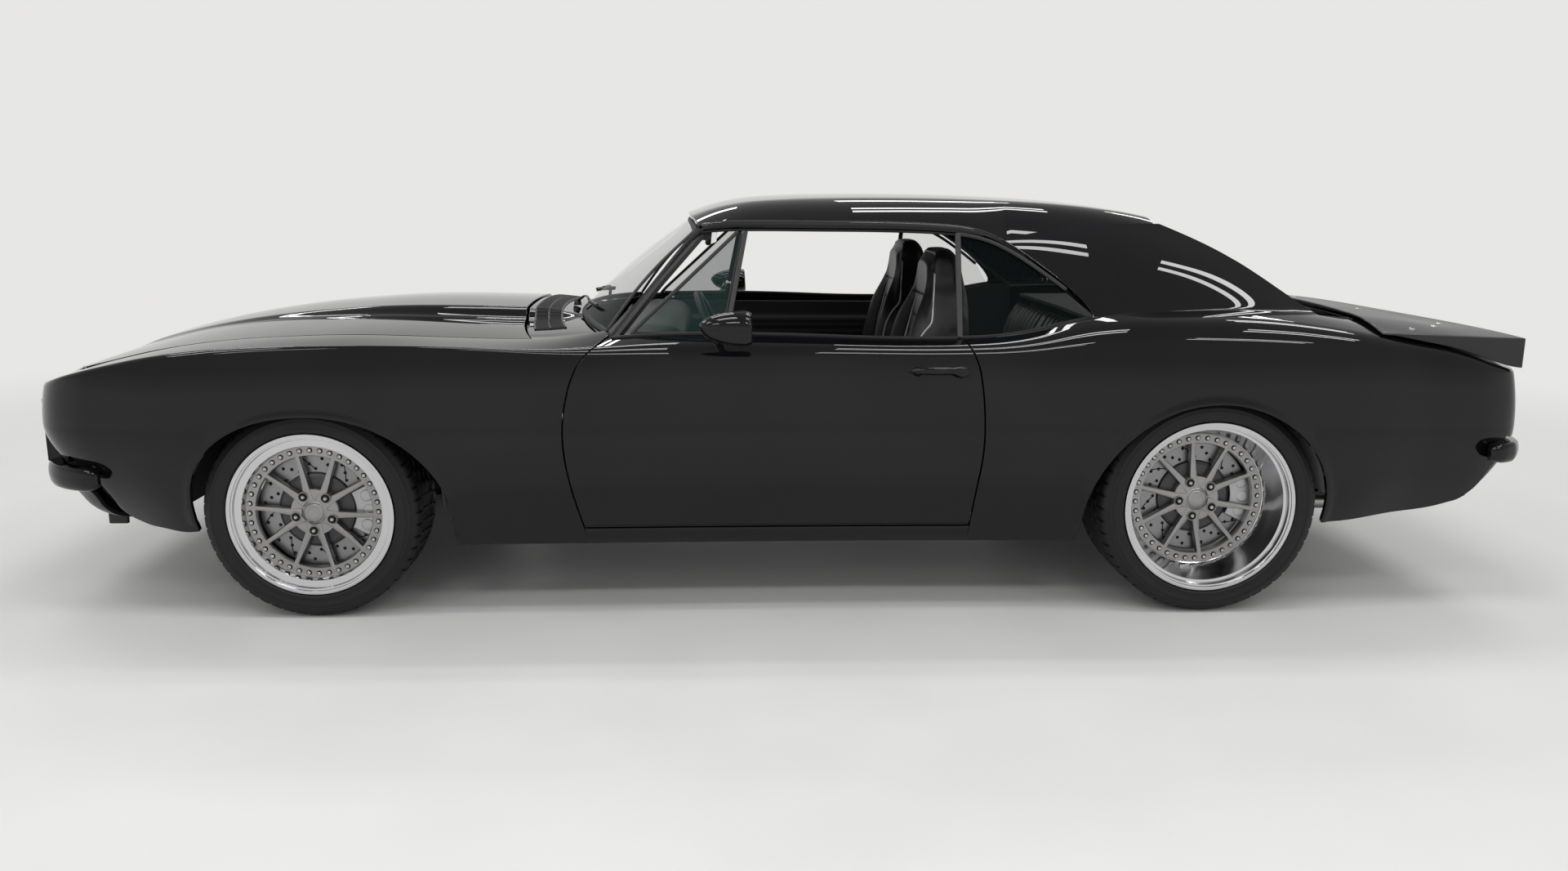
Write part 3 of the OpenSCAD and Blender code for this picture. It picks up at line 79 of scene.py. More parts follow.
def sstep(a, b, x):
    u = np.clip((x - a) / (b - a), 0, 1)
    return u * u * (3 - 2 * u)


def v3(x, y, z):
    return np.stack(np.broadcast_arrays(np.asarray(x, float), np.asarray(y, float), np.asarray(z, float)), -1)


def unit(v):
    return v / np.maximum(np.linalg.norm(v, axis=-1, keepdims=True), 1e-9)


PLAN = [(-3100, -2336, 0), (-2700, -2340, 420), (-2450, -2340, 675), (-2364, -2336, 766), (-2299, -2304, 826),
        (-2221, -2226, 857), (-2111, -2112, 871), (-2000, -2000, 879), (-1850, -1850, 899), (-1650, -1650, 914),
        (-1330, -1330, 921), (-1000, -1000, 914), (-700, -700, 903), (-300, -300, 900), (100, 100, 904),
        (600, 600, 913), (1000, 1000, 919), (1417, 1417, 921), (1700, 1700, 914), (1850, 1850, 901),
        (2000, 2000, 877), (2104, 2102, 857), (2199, 2190, 812), (2291, 2252, 737), (2372, 2281, 658),
        (2528, 2314, 503), (2730, 2338, 300), (3030, 2347, 0)]
plan_x, plan_y = Curve(PLAN, 1, 22), Curve(PLAN, 2, 22)
shoulder = Curve([(-3100, 775), (-2450, 765), (-2364, 755), (-2299, 757), (-2242, 769), (-2110, 812), (-1980, 837),
                  (-1850, 858), (-1724, 877), (-1597, 892), (-1460, 901), (-1300, 903), (-1146, 898), (-1022, 886),
                  (-898, 868), (-788, 850), (-690, 839), (-580, 834), (0, 834), (400, 832), (700, 825), (980, 833),
                  (1220, 836), (1456, 833), (1573, 829), (1690, 821), (1808, 808), (1925, 789), (2044, 762),
                  (2140, 740), (2199, 724), (2291, 704), (2400, 697), (3030, 695)], 1, 30)
lean = Curve([(-3100, 10), (-2364, 14), (-2200, 40), (-1800, 62), (-1330, 74), (-1000, 62), (-700, 42), (-300, 36),
              (500, 38), (900, 44), (1400, 50), (1900, 46), (2199, 20), (3030, 8)], 1, 80)
tuck = Curve([(-3100, 120), (-2364, 120), (-2000, 150), (-1700, 115), (-1000, 108), (700, 108), (1400, 100),
              (1900, 130), (2199, 270), (3030, 270)], 1, 60)
edge_r = Curve([(-3100, 10), (-2300, 16), (-2000, 30), (-1500, 52), (-1000, 40), (-700, 30), (-400, 26), (500, 24),
                (700, 14), (2000, 16), (3030, 8)], 1, 60)
rise = Curve([(-3100, 10), (-2300, 34), (-2000, 42), (-1500, 48), (-1150, 62), (-1000, 88), (-900, 92), (-800, 66),
              (-671, 50), (-400, 50), (480, 50), (620, 28), (1400, 16), (2000, 10), (2300, 6)], 1, 36)
WIDEST, TUCK_Z = 580.0, 210.0
PANEL_GAP, DOOR_GAP, HOOD_HALF, SILL_Y = 6.0, 8.4, 702.0, 798.0


def plan_normal(s):
    dx, dy = plan_x(s + 8) - plan_x(s - 8), plan_y(s + 8) - plan_y(s - 8)
    n = np.hypot(dx, dy)
    return -dy / n, dx / n


def inset(s, z):
    zc = shoulder(s)
    up = lean(s) * np.clip((z - WIDEST) / (zc - WIDEST), 0, 2) ** 2
    return up + tuck(s) * (np.clip(WIDEST - z, 0, None) / (WIDEST - TUCK_Z)) ** 1.6


def side_point(s, z):
    nx, ny = plan_normal(s)
    d = inset(s, z)
    return v3(plan_x(s) - nx * d, plan_y(s) - ny * d, z)


def shoulder_y(s):
    return side_point(s, shoulder(s))[..., 1]


def top_z(x, y):
    u = np.clip((shoulder_y(x) - y) / 240, 0, 1)
    return shoulder(x) + rise(x) * np.sin(np.pi / 2 * u)


def edge_point(s, u):
    r, zc = edge_r(s), shoulder(s)
    a, b = side_point(s, zc - r), side_point(s, zc)
    yc = b[..., 1] - r
    c = v3(b[..., 0], yc, top_z(s, yc))
    u = np.asarray(u, float)[..., None]
    return mix(mix(a, b, u), mix(b, c, u), u)


def wall(s, row, foot, inner):
    """Side, shoulder edge and top of the body: row 0-1 up the side, 1-2 round the edge, 2-3 inwards to y = inner."""
    zc, r = shoulder(s), edge_r(s)
    side = side_point(s, mix(foot, zc - r, np.clip(row, 0, 1)))
    edge = edge_point(s, np.clip(row - 1, 0, 1))
    y0 = shoulder_y(s) - r
    y = mix(y0, np.minimum(inner, y0 - 0.6), np.clip(row - 2, 0, 1))
    top = v3(side_point(s, zc)[..., 0], y, top_z(s, y))
    row = np.asarray(row)[..., None]
    return np.where(row <= 1, side, np.where(row <= 2, edge, top))


def wall_grid(s, row, foot, inner):
    """Points and normals of wall() over arrays that broadcast together."""
    p = wall(s, row, foot, inner)
    ds = wall(s + 5, row, foot, inner) - wall(s - 5, row, foot, inner)
    dr = wall(s, row + 0.02, foot, inner) - wall(s, row - 0.02, foot, inner)
    return p, unit(np.cross(dr, ds))


def stations_between(u, row, lo, hi, foot, inner):
    """Stations so that u runs from the edge lo(z) to the edge hi(z)."""
    s = mix(lo(600.0), hi(600.0), u) + 0 * row
    for _ in range(7):
        z = wall(s, row, foot, inner)[..., 2]
        s = mix(lo(z), hi(z), u)
    return s


door_front_t = Curve([(270, 600), (420, 634), (525, 648), (600, 649), (675, 639), (750, 618), (800, 590), (834, 552),
                      (856, 520)], 1, 8)
door_rear_t = Curve([(270, -589), (396, -600), (498, -611), (625, -611), (725, -602), (787, -590), (834, -568),
                     (856, -556)], 1, 8)
hood_rear = Curve([(0, 852), (400, 838), (600, 800), (702, 770)], 1, 30)
hood_front = Curve([(0, 2252), (300, 2238), (500, 2205), (640, 2160), (702, 2120)], 1, 30)
nose_x = Curve([(0, 2347), (300, 2339), (500, 2314), (650, 2283), (725, 2257), (800, 2203)], 1, 24)
trunk_half = Curve([(-2320, 600), (-2100, 622), (-1835, 640)], 1, 30)
drip_y = Curve([(-1220, 590), (-900, 622), (-500, 640), (0, 642), (290, 618)], 1, 50)
drip_z = Curve([(-1019, 909), (-960, 952), (-901, 1000), (-792, 1082), (-712, 1135), (-632, 1170), (-502, 1187),
                (-374, 1192), (-117, 1194), (87, 1194), (180, 1192), (290, 1180)], 1, 20)
roof_mid = Curve([(-1860, 925), (-1837, 938), (-1675, 1030), (-1516, 1113), (-1359, 1190), (-1206, 1233),
                  (-1054, 1256), (-903, 1270), (-753, 1278), (-604, 1283), (-365, 1286), (-158, 1284), (-10, 1279),
                  (137, 1266), (226, 1246), (300, 1219)], 1, 30)
deck_mid = Curve([(-2345, 790), (-2242, 826), (-2110, 866), (-1980, 893), (-1844, 915), (-1640, 945)], 1, 30)
roof_front = Curve([(0, 300), (300, 292), (500, 275), (620, 250)], 1, 30)
roof_rear = Curve([(0, -1206), (300, -1212), (500, -1222), (620, -1225)], 1, 30)
fender_low = Curve([(1775, 262), (1830, 256), (1900, 262), (1990, 272), (2050, 304), (2085, 350), (2110, 400),
                    (2122, 452), (2199, 470)], 1, 8)
quarter_low = Curve([(-2290, 550), (-2260, 548), (-2246, 470), (-2188, 354), (-2138, 330), (-1956, 295),
                     (-1786, 276), (-1700, 276)], 1, 8)
TRUNK_FRONT, TRUNK_REAR = -1838.0, -2318.0
FRONT_AXLE, REAR_AXLE = (1417.0, 324.0), (-1329.0, 340.0)


def deck_z(x, y):
    yt = trunk_half(x)
    f = np.abs(y) / yt
    return mix(deck_mid(x), top_z(x, yt), f * f)


def bulge(x, y):
    a = np.abs(y)
    h = mix(6, 34, sstep(2000, 900, x)) * sstep(2190, 2080, x)
    return h * sstep(330, 270, a) + 6 * sstep(2190, 2060, x) * sstep(400, 0, a)


def hood_z(x, y):
    a = np.abs(y)
    return top_z(x, HOOD_HALF) + 28 * (1 - (a / HOOD_HALF) ** 2) * sstep(2400, 2000, x) + bulge(x, y)


def roof_z(x, y):
    a = np.abs(y)
    zm, zd = roof_mid(x), np.maximum(drip_z(x), 1130)
    f = a / drip_y(x)
    return zm - 26 * f ** 2.2 - (zm - 26 - zd) * (np.clip(f - 0.72, 0, None) / 0.28) ** 2.2


def glass_foot(a):
    return 675 - 150 * (a / 744) ** 2, 884 - 22 * (a / 744) ** 2


def side_glass_y(z):
    return mix(788.0, 618.0, (z - 853) / (1190 - 853))


# ---------------------------------------------------------------- mesh helpers
MATS = {}


def build(name, verts, faces, material, body, normals=None, angle=None, replaces=(), slot=None):
    """One piece from points in millimetres."""
    me = bpy.data.meshes.new(name)
    verts = np.asarray(verts, float) * MM
    me.from_pydata(verts.tolist(), [], faces.tolist() if isinstance(faces, np.ndarray) else faces)
    me.update()
    me.polygons.foreach_set("use_smooth", [True] * len(me.polygons))
    if normals is not None:
        me.normals_split_custom_set_from_vertices(np.asarray(normals, float).tolist())
    elif angle is not None:
        me.set_sharp_from_angle(angle=math.radians(angle))
    ob = bpy.data.objects.new(name, me)
    bpy.context.scene.collection.objects.link(ob)
    me.materials.append(MATS[material][0])
    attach(ob, body)
    slot or MATS[material][1]
    if replaces:
        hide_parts(*replaces)
    return ob


def quads(ni, nj, closed_i=False, closed_j=False):
    i, j = np.meshgrid(np.arange(ni if closed_i else ni - 1), np.arange(nj if closed_j else nj - 1), indexing="ij")
    i, j = i.ravel(), j.ravel()
    i1, j1 = (i + 1) % ni, (j + 1) % nj
    return np.stack([i * nj + j, i1 * nj + j, i1 * nj + j1, i * nj + j1], 1)


def grid_normals(p):
    return unit(np.cross(np.gradient(p, axis=0), np.gradient(p, axis=1)))


def join(parts):
    """Joins (verts, faces, normals) lists into one."""
    vs, fs, ns, k = [], [], [], 0
    for v, f, n in parts:
        vs.append(v)
        ns.append(n if n is not None else np.zeros_like(v))
        fs += [[q + k for q in face] for face in (f.tolist() if isinstance(f, np.ndarray) else f)]
        k += len(v)
    return np.concatenate(vs), fs, np.concatenate(ns)


def sheet_part(p, n=None, hem=2.2, depth=14.0, sides="abcd"):
    """A skin from a grid of points, its border rolled over by radius hem and turned in by depth.
    sides: a is i = 0, b is i = last, c is j = 0, d is j = last."""
    ni, nj = p.shape[:2]
    n = grid_normals(p) if n is None else n
    v, m, f = p.reshape(-1, 3), n.reshape(-1, 3), quads(ni, nj)
    g = np.cross(v[f[:, 1]] - v[f[:, 0]], v[f[:, 3]] - v[f[:, 0]])
    if np.sum(g * m[f[:, 0]]) < 0:
        f = f[:, ::-1]
    idx = np.arange(ni * nj).reshape(ni, nj)
    out = np.zeros((ni, nj, 3))
    cnt = np.zeros((ni, nj, 1))
    lines = {"a": (idx[0, :], idx[1, :]), "b": (idx[-1, :], idx[-2, :]), "c": (idx[:, 0], idx[:, 1]),
             "d": (idx[:, -1], idx[:, -2])}
    edges, ofl, cfl = [], out.reshape(-1, 3), cnt.reshape(-1, 1)
    for side in sides:
        b, q = lines[side]
        t = unit(np.cross(np.gradient(v[b], axis=0), m[b]))
        away = v[b] - v[q]
        flip = np.sign(np.sum(t * away, axis=1, keepdims=True))
        t = t * np.where(np.sum(flip) < 0, -1, 1)
        ofl[b] += t
        cfl[b] += 1
        edges.append(np.stack([b[:-1], b[1:]], 1))
    if hem <= 0 or not edges:
        return v, f, m
    edges = np.concatenate(edges)
    used = np.unique(edges)
    t = ofl[used]
    t = t * (1 / np.maximum(np.linalg.norm(t, axis=1, keepdims=True), 0.7)) * np.where(cfl[used] > 1, 1.25, 1)
    where = -np.ones(ni * nj, int)
    where[used] = np.arange(len(used))
    base, nb = v[used], m[used]
    rings, rn = [], []
    for k in (30, 60, 90):
        a = math.radians(k)
        rings.append(base + t * hem * math.sin(a) - nb * hem * (1 - math.cos(a)))
        rn.append(unit(nb * math.cos(a) + t * math.sin(a)))
    rings.append(base + t * hem - nb * depth)
    rn.append(unit(t))
    faces, start, k = [f], len(v), len(used)
    e = where[edges]
    prev = edges
    ref = np.cross(v[edges[:, 1]] - v[edges[:, 0]], t[e[:, 0]])
    turn = np.sum(ref * m[edges[:, 0]], axis=1) > 0
    for i in range(4):
        nxt = e + start + i * k
        q = np.stack([prev[:, 0], prev[:, 1], nxt[:, 1], nxt[:, 0]], 1)
        q[turn] = q[turn][:, ::-1]
        faces.append(q)
        prev = nxt
    vv = np.concatenate([v] + rings)
    nn = np.concatenate([m] + rn)
    ff = np.concatenate(faces)
    a, b, c = vv[ff[:, 0]], vv[ff[:, 1]], vv[ff[:, 2]]
    bad = np.sum(np.cross(b - a, c - a) * (nn[ff[:, 0]] + nn[ff[:, 1]] + nn[ff[:, 2]]), axis=1) < 0
    ff[bad] = ff[bad][:, ::-1]
    return vv, ff, nn


def flipped(part):
    v, f, n = part
    s = np.array([1, -1, 1])
    faces = f[:, ::-1] if isinstance(f, np.ndarray) else [list(reversed(q)) for q in f]
    return v * s, faces, None if n is None else n * s


def both_sides(name, part, material, body, replaces=None, angle=None):
    """A left piece and its mirror image. body and replaces may hold {} for left / right."""
    for side, q in (("left", part), ("right", flipped(part))):
        build(f"{name}_{side}", q[0], q[1], material, body.format(side), q[2] if angle is None else None,
              angle, [r.format(side) for r in (replaces or [])])


def sweep(path, across, up, profile, scale=None):
    """Closed profile (x along across, y along up) carried along a path and capped; a part without normals."""
    path, profile = np.asarray(path, float), np.asarray(profile, float)
    n, m = len(path), len(profile)
    a, b = np.broadcast_to(across, (n, 3)), np.broadcast_to(up, (n, 3))
    sc = np.ones((n, 2)) if scale is None else np.broadcast_to(np.asarray(scale, float).reshape(n, -1), (n, 2))
    p = (path[:, None] + a[:, None] * (profile[None, :, :1] * sc[:, None, :1])
         + b[:, None] * (profile[None, :, 1:] * sc[:, None, 1:]))
    f = quads(n, m, closed_j=True).tolist() + [list(range(m))[::-1], [(n - 1) * m + k for k in range(m)]]
    return p.reshape(-1, 3), f, None


def frames(path, up):
    """Unit tangents and side vectors of a path."""
    t = unit(np.gradient(np.asarray(path, float), axis=0))
    up = np.broadcast_to(np.asarray(up, float), t.shape)
    a = unit(np.cross(t, up))
    return t, a, unit(np.cross(a, t))


def ring(n, rx=1.0, ry=None, power=1.0):
    a = np.linspace(0, 2 * math.pi, n, endpoint=False)
    c, s = np.cos(a), np.sin(a)
    return np.stack([rx * np.sign(c) * np.abs(c) ** power,
            (rx if ry is None else ry) * np.sign(s) * np.abs(s) ** power], 1)


def tube(path, r, n=10, up=(0, 0, 1)):
    _, a, b = frames(path, up)
    return sweep(path, a, b, ring(n, r))


def lathe(profile, n=64):
    """Turned solid about z: profile rows are (radius, z)."""
    pr = np.asarray(profile, float)
    a = np.linspace(0, 2 * math.pi, n, endpoint=False)
    p = v3(pr[None, :, 0] * np.cos(a)[:, None], pr[None, :, 0] * np.sin(a)[:, None], pr[None, :, 1])
    return p.reshape(-1, 3), quads(n, len(pr), closed_i=True), None


def placed(part, matrix, at=(0, 0, 0)):
    v, f, n = part
    m = np.asarray(matrix, float)
    return v @ m.T + np.asarray(at, float), f, None if n is None else n @ m.T


def rounded_box(lo, hi, r=4.0, seg=2):
    bm = bmesh.new()
    bmesh.ops.create_cube(bm, size=1)
    lo, hi = np.array(lo, float), np.array(hi, float)
    for v in bm.verts:
        v.co = Vector(lo + (np.array(v.co) + 0.5) * (hi - lo))
    bmesh.ops.bevel(bm, geom=list(bm.edges), offset=r, segments=seg, affect="EDGES", profile=0.5)
    v = np.array([list(q.co) for q in bm.verts])
    f = [[q.index for q in face.verts] for face in bm.faces]
    bm.free()
    return v, f, None


def facing(at, normal, up=(0, 0, 1)):
    """Matrix that turns local Z to normal and local Y close to up."""
    z = unit(np.asarray(normal, float))
    x = unit(np.cross(np.asarray(up, float), z))
    return np.stack([x, np.cross(z, x), z], 1), np.asarray(at, float)


# ---------------------------------------------------------------- materials
def node_mat(name, slot, base, rough=0.5, metal=0.0, vary=0.15, grain=40.0, bump=0.1, dist=0.0005, coat=0.0,
             coat_rough=0.03, kind="noise", rough_vary=0.06, sheen=0.0, alpha=1.0, ior=1.5, stretch=(1, 1, 1),
             spec=0.5, coat_ior=1.5):
    """Procedural material: colour, roughness and bump all vary over the surface at the scale the real one shows."""
    m = bpy.data.materials.new(name)
    m.use_nodes = True
    nt = m.node_tree
    bs = nt.nodes["Principled BSDF"]
    co = nt.nodes.new("ShaderNodeTexCoord")
    mp = nt.nodes.new("ShaderNodeMapping")
    mp.inputs["Scale"].default_value = stretch
    nt.links.new(co.outputs["Object"], mp.inputs["Vector"])
    if kind == "voronoi":
        tex = nt.nodes.new("ShaderNodeTexVoronoi")
        fac = tex.outputs["Distance"]
    else:
        tex = nt.nodes.new("ShaderNodeTexNoise")
        tex.inputs["Detail"].default_value = 4
        fac = tex.outputs["Fac"]
    tex.inputs["Scale"].default_value = grain
    nt.links.new(mp.outputs["Vector"], tex.inputs["Vector"])
    wide = nt.nodes.new("ShaderNodeTexNoise")
    wide.inputs["Scale"].default_value = 2.3
    wide.inputs["Detail"].default_value = 3
    nt.links.new(co.outputs["Object"], wide.inputs["Vector"])
    ramp = nt.nodes.new("ShaderNodeValToRGB")
    c = np.array(base[:3])
    ramp.color_ramp.elements[0].position, ramp.color_ramp.elements[1].position = 0.3, 0.7
    ramp.color_ramp.elements[0].color = (*(c * (1 - vary)), 1)
    ramp.color_ramp.elements[1].color = (*(c * (1 + vary)), 1)
    nt.links.new(wide.outputs["Fac"], ramp.inputs["Fac"])
    nt.links.new(ramp.outputs["Color"], bs.inputs["Base Color"])
    rr = nt.nodes.new("ShaderNodeMapRange")
    rr.inputs["From Min"].default_value, rr.inputs["From Max"].default_value = 0.3, 0.7
    rr.inputs["To Min"].default_value = max(rough - rough_vary, 0.0)
    rr.inputs["To Max"].default_value = min(rough + rough_vary, 1.0)
    nt.links.new(wide.outputs["Fac"], rr.inputs["Value"])
    nt.links.new(rr.outputs["Result"], bs.inputs["Roughness"])
    if bump:
        bp = nt.nodes.new("ShaderNodeBump")
        bp.inputs["Strength"].default_value = bump
        bp.inputs["Distance"].default_value = dist
        nt.links.new(fac, bp.inputs["Height"])
        nt.links.new(bp.outputs["Normal"], bs.inputs["Normal"])
    bs.inputs["Metallic"].default_value = metal
    bs.inputs["IOR"].default_value = ior
    bs.inputs["Specular IOR Level"].default_value = spec
    bs.inputs["Coat Weight"].default_value = coat
    bs.inputs["Coat Roughness"].default_value = coat_rough
    bs.inputs["Coat IOR"].default_value = coat_ior
    bs.inputs["Sheen Weight"].default_value = sheen
    bs.inputs["Alpha"].default_value = alpha
    MATS[name] = (m, slot)
    return m


node_mat("paint", "body_paint", (0.0035, 0.0036, 0.0042), 0.35, 0, 0.3, 900, 0.01, 0.0002, coat=1.0, coat_rough=0.008,
        spec=0.0, coat_ior=1.40)
node_mat("trim", "black_trim", (0.012, 0.012, 0.0125), 0.42, 0, 0.3, 500, 0.15, 0.0003)
node_mat("rubber", "black_trim", (0.01, 0.01, 0.01), 0.7, 0, 0.3, 300, 0.2, 0.0004)
node_mat("valance_black", "black_trim", (0.011, 0.011, 0.0115), 0.34, 0, 0.3, 260, 0.12, 0.0004)
node_mat("chassis", "chassis_black", (0.02, 0.02, 0.021), 0.5, 0, 0.5, 60, 0.25, 0.001)
node_mat("iron", "engine_iron", (0.1, 0.1, 0.105), 0.6, 0.6, 0.4, 120, 0.5, 0.001)
node_mat("steel", "exhaust_steel", (0.42, 0.41, 0.4), 0.3, 1.0, 0.25, 90, 0.15, 0.0004, stretch=(0.1, 1, 1))
node_mat("chrome", "exhaust_steel", (0.72, 0.72, 0.72), 0.07, 1.0, 0.05, 300, 0.01, 0.0002, rough_vary=0.02)
node_mat("wheel_grey", "wheel_metal", (0.33, 0.325, 0.32), 0.30, 0.95, 0.12, 420, 0.12, 0.0002, rough_vary=0.05)
node_mat("wheel_dark", "wheel_metal", (0.07, 0.07, 0.074), 0.36, 0.8, 0.2, 300, 0.12, 0.0002)
node_mat("wheel_lip", "wheel_metal", (0.62, 0.62, 0.63), 0.13, 1.0, 0.06, 260, 0.03, 0.0002, rough_vary=0.04)
node_mat("bolt", "wheel_metal", (0.5, 0.5, 0.5), 0.22, 1.0, 0.1, 300, 0.05, 0.0002)
node_mat("disc", "brake_metal", (0.27, 0.27, 0.275), 0.32, 1.0, 0.15, 160, 0.3, 0.0003, stretch=(1, 1, 1))
node_mat("calliper", "brake_metal", (0.46, 0.46, 0.47), 0.36, 0.85, 0.1, 500, 0.2, 0.0003)
# Near-black matte sheet for openings: painted shade in holes, the cowl vent, behind the grille and round the door
# handle.
node_mat("painted_shade", "chassis_black", (0.006, 0.006, 0.006), 0.9, 0, 0.2, 60, 0.1, 0.0003)
node_mat("tyre", "tyre", (0.010, 0.010, 0.0105), 0.62, 0, 0.35, 260, 0.3, 0.0005, rough_vary=0.1, spec=0.32)
node_mat("leather", "seat_leather", (0.007, 0.007, 0.0075), 0.42, 0, 0.3, 260, 0.16, 0.0004, kind="voronoi",
        sheen=0.05, spec=0.32)
node_mat("piping", "seat_leather", (0.36, 0.36, 0.35), 0.5, 0, 0.1, 400, 0.2, 0.0003)
node_mat("plastic", "interior_plastic", (0.016, 0.016, 0.0165), 0.5, 0, 0.25, 500, 0.3, 0.0004, kind="voronoi")
node_mat("trim_cloth", "interior_plastic", (0.008, 0.008, 0.0085), 0.7, 0, 0.2, 300, 0.1, 0.0003)
node_mat("carpet", "interior_plastic", (0.012, 0.012, 0.013), 0.95, 0, 0.4, 700, 0.9, 0.0025, sheen=0.4)
node_mat("headliner", "interior_plastic", (0.05, 0.05, 0.05), 0.9, 0, 0.15, 600, 0.5, 0.0006, sheen=0.2)
node_mat("dial", "interior_plastic", (0.03, 0.03, 0.03), 0.2, 0, 0.2, 100, 0.02, 0.0002, coat=1.0)
node_mat("mirror_glass", "window_glass", (0.7, 0.7, 0.72), 0.02, 1.0, 0.03, 60, 0.0, 0.0002, rough_vary=0.01)
node_mat("glass", "window_glass", (0.02, 0.05, 0.042), 0.0, 0, 0.3, 30, 0.0, alpha=0.22, ior=1.5, rough_vary=0.004)
node_mat("clear_glass", "window_glass", (0.006, 0.012, 0.011), 0.0, 0, 0.3, 30, 0.0, alpha=0.10, ior=1.5,
        rough_vary=0.004)
node_mat("dark_glass", "window_glass", (0.01, 0.016, 0.015), 0.0, 0, 0.3, 30, 0.0, alpha=0.36, ior=1.5,
        rough_vary=0.004)
node_mat("lens", "lamp_glass", (0.55, 0.56, 0.57), 0.03, 0, 0.1, 60, 0.15, 0.001, alpha=0.35, ior=1.8,
        rough_vary=0.02)
node_mat("amber", "lamp_glass", (0.5, 0.16, 0.02), 0.12, 0, 0.2, 120, 0.2, 0.001, coat=0.6)
node_mat("tail_red", "tail_lamp", (0.2, 0.006, 0.008), 0.14, 0, 0.25, 120, 0.2, 0.001, coat=1.0)


def carry(node, material):
    """A CAD node that stays, in a better material."""
    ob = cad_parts[node]
    if not ob.material_slots:
        ob.data.materials.append(None)
    for s in ob.material_slots:
        s.material = MATS[material][0]


for n, m in {"floor_pan": "carpet", "frame_rails": "chassis", "engine_block": "iron", "driveline": "chassis",
             "exhaust": "steel", "firewall": "chassis", "rear_axle": "chassis", "front_suspension": "chassis",
             "fuel_tank": "chassis", "knuckle_left": "iron", "knuckle_right": "iron", "inner_fenders": "chassis",
             "radiator_support": "chassis"}.items():
    carry(n, m)

# ---------------------------------------------------------------- body sides
SIDE = np.linspace(0, 1, 40)
ROWS = np.concatenate([SIDE, np.linspace(1, 2, 9)[1:], np.linspace(2, 3, 12)[1:]])[None, :]


def front_edge(z):
    return door_front_t(np.minimum(z, 856.0))


def rear_edge(z):
    return door_rear_t(np.minimum(z, 856.0))


def front_arch(a):
    a = np.radians(a)
    c, s = np.cos(a), np.sin(a)
    n = np.where(c > 0, 2 / 2.3, 1.0)
    return 1394 + np.where(c > 0, 385, 400) * np.sign(c) * np.abs(c) ** n, 300 + 332 * np.abs(s) ** n


def rear_arch(a):
    a = np.radians(a)
    return REAR_AXLE[0] + 390 * np.cos(a), 278 + 390 * np.sin(a)


def arch_lip(p, n, arch, height=4.5, width=17.0):
    """Raises the panel into a rolled lip beside a wheel arch."""
    x, z = arch(np.linspace(0, 180, 181))
    dx, dz = p[..., 0, None] - x, p[..., 2, None] - z
    d2 = dx * dx + dz * dz
    k = np.argmin(d2, -1)[..., None]
    d = np.sqrt(np.take_along_axis(d2, k, -1))
    away = np.concatenate([np.take_along_axis(dx, k, -1), 0 * d, np.take_along_axis(dz, k, -1)], -1) / np.maximum(d,
            1e-6)
    h = height * np.exp(-(d / width) ** 2)
    slope = 2 * d / width ** 2 * h
    return p + n * h, unit(n + away * slope)


def columns(parts):
    """parts: (stations, feet, inner) lists joined into columns."""
    s = np.concatenate([np.broadcast_to(q[0], (len(q[0]), ROWS.size)) for q in parts])
    foot = np.concatenate([np.broadcast_to(np.reshape(q[1], (-1, 1)), (len(q[0]), 1)) for q in parts])
    inner = np.concatenate([np.broadcast_to(np.reshape(q[2], (-1, 1)), (len(q[0]), 1)) for q in parts])
    return s, foot, inner


def col(x):
    return np.asarray(x, float).reshape(-1, 1)


# fender: from the door's edge over the arch, round the nose to the grille
u = col(np.linspace(0, 1, 34))
fa = stations_between(u, ROWS, lambda z: front_edge(z) + DOOR_GAP - 1.6, lambda z: 991.0, 214.0, HOOD_HALF + 5.2)
ax, az = front_arch(np.linspace(179.5, 0.5, 90))
jump_x, jump_z = np.linspace(991.6, ax[0] - 0.3, 6), np.linspace(214, az[0], 6)
end_x, end_z = np.linspace(ax[-1] + 0.3, ax[-1] + 2.5, 5), np.linspace(az[-1], fender_low(ax[-1]), 5)
nx = np.concatenate([np.linspace(ax[-1] + 6, 2199, 46), np.linspace(2206, 2309, 16)])
s, foot, inner = columns([(fa, [214.0] * 34, [HOOD_HALF + 5.2] * 34), (col(jump_x), jump_z, [HOOD_HALF + 5.2] * 6),
                          (col(ax), az, [HOOD_HALF + 5.2] * 90), (col(end_x), end_z, [HOOD_HALF + 5.2] * 5),
                          (col(nx), fender_low(np.minimum(nx, 2240)), [HOOD_HALF + 5.2] * 62)])
p, n = wall_grid(s, ROWS, foot, inner)
p, n = arch_lip(p, n, front_arch)
both_sides("fender", sheet_part(p, n), "paint", "body", ["fender_{}"])

# quarter panel: from the door's rear edge over the arch to the tail
def inner_top(s):
    a = np.where(s > -1000, SILL_Y, np.where(s > -1700, mix(SILL_Y - 20, 700, (-1000 - s) / 700), 690.0))
    b = np.maximum(trunk_half(s), 600) + 5.8
    return np.where(s < TRUNK_FRONT, b, a)


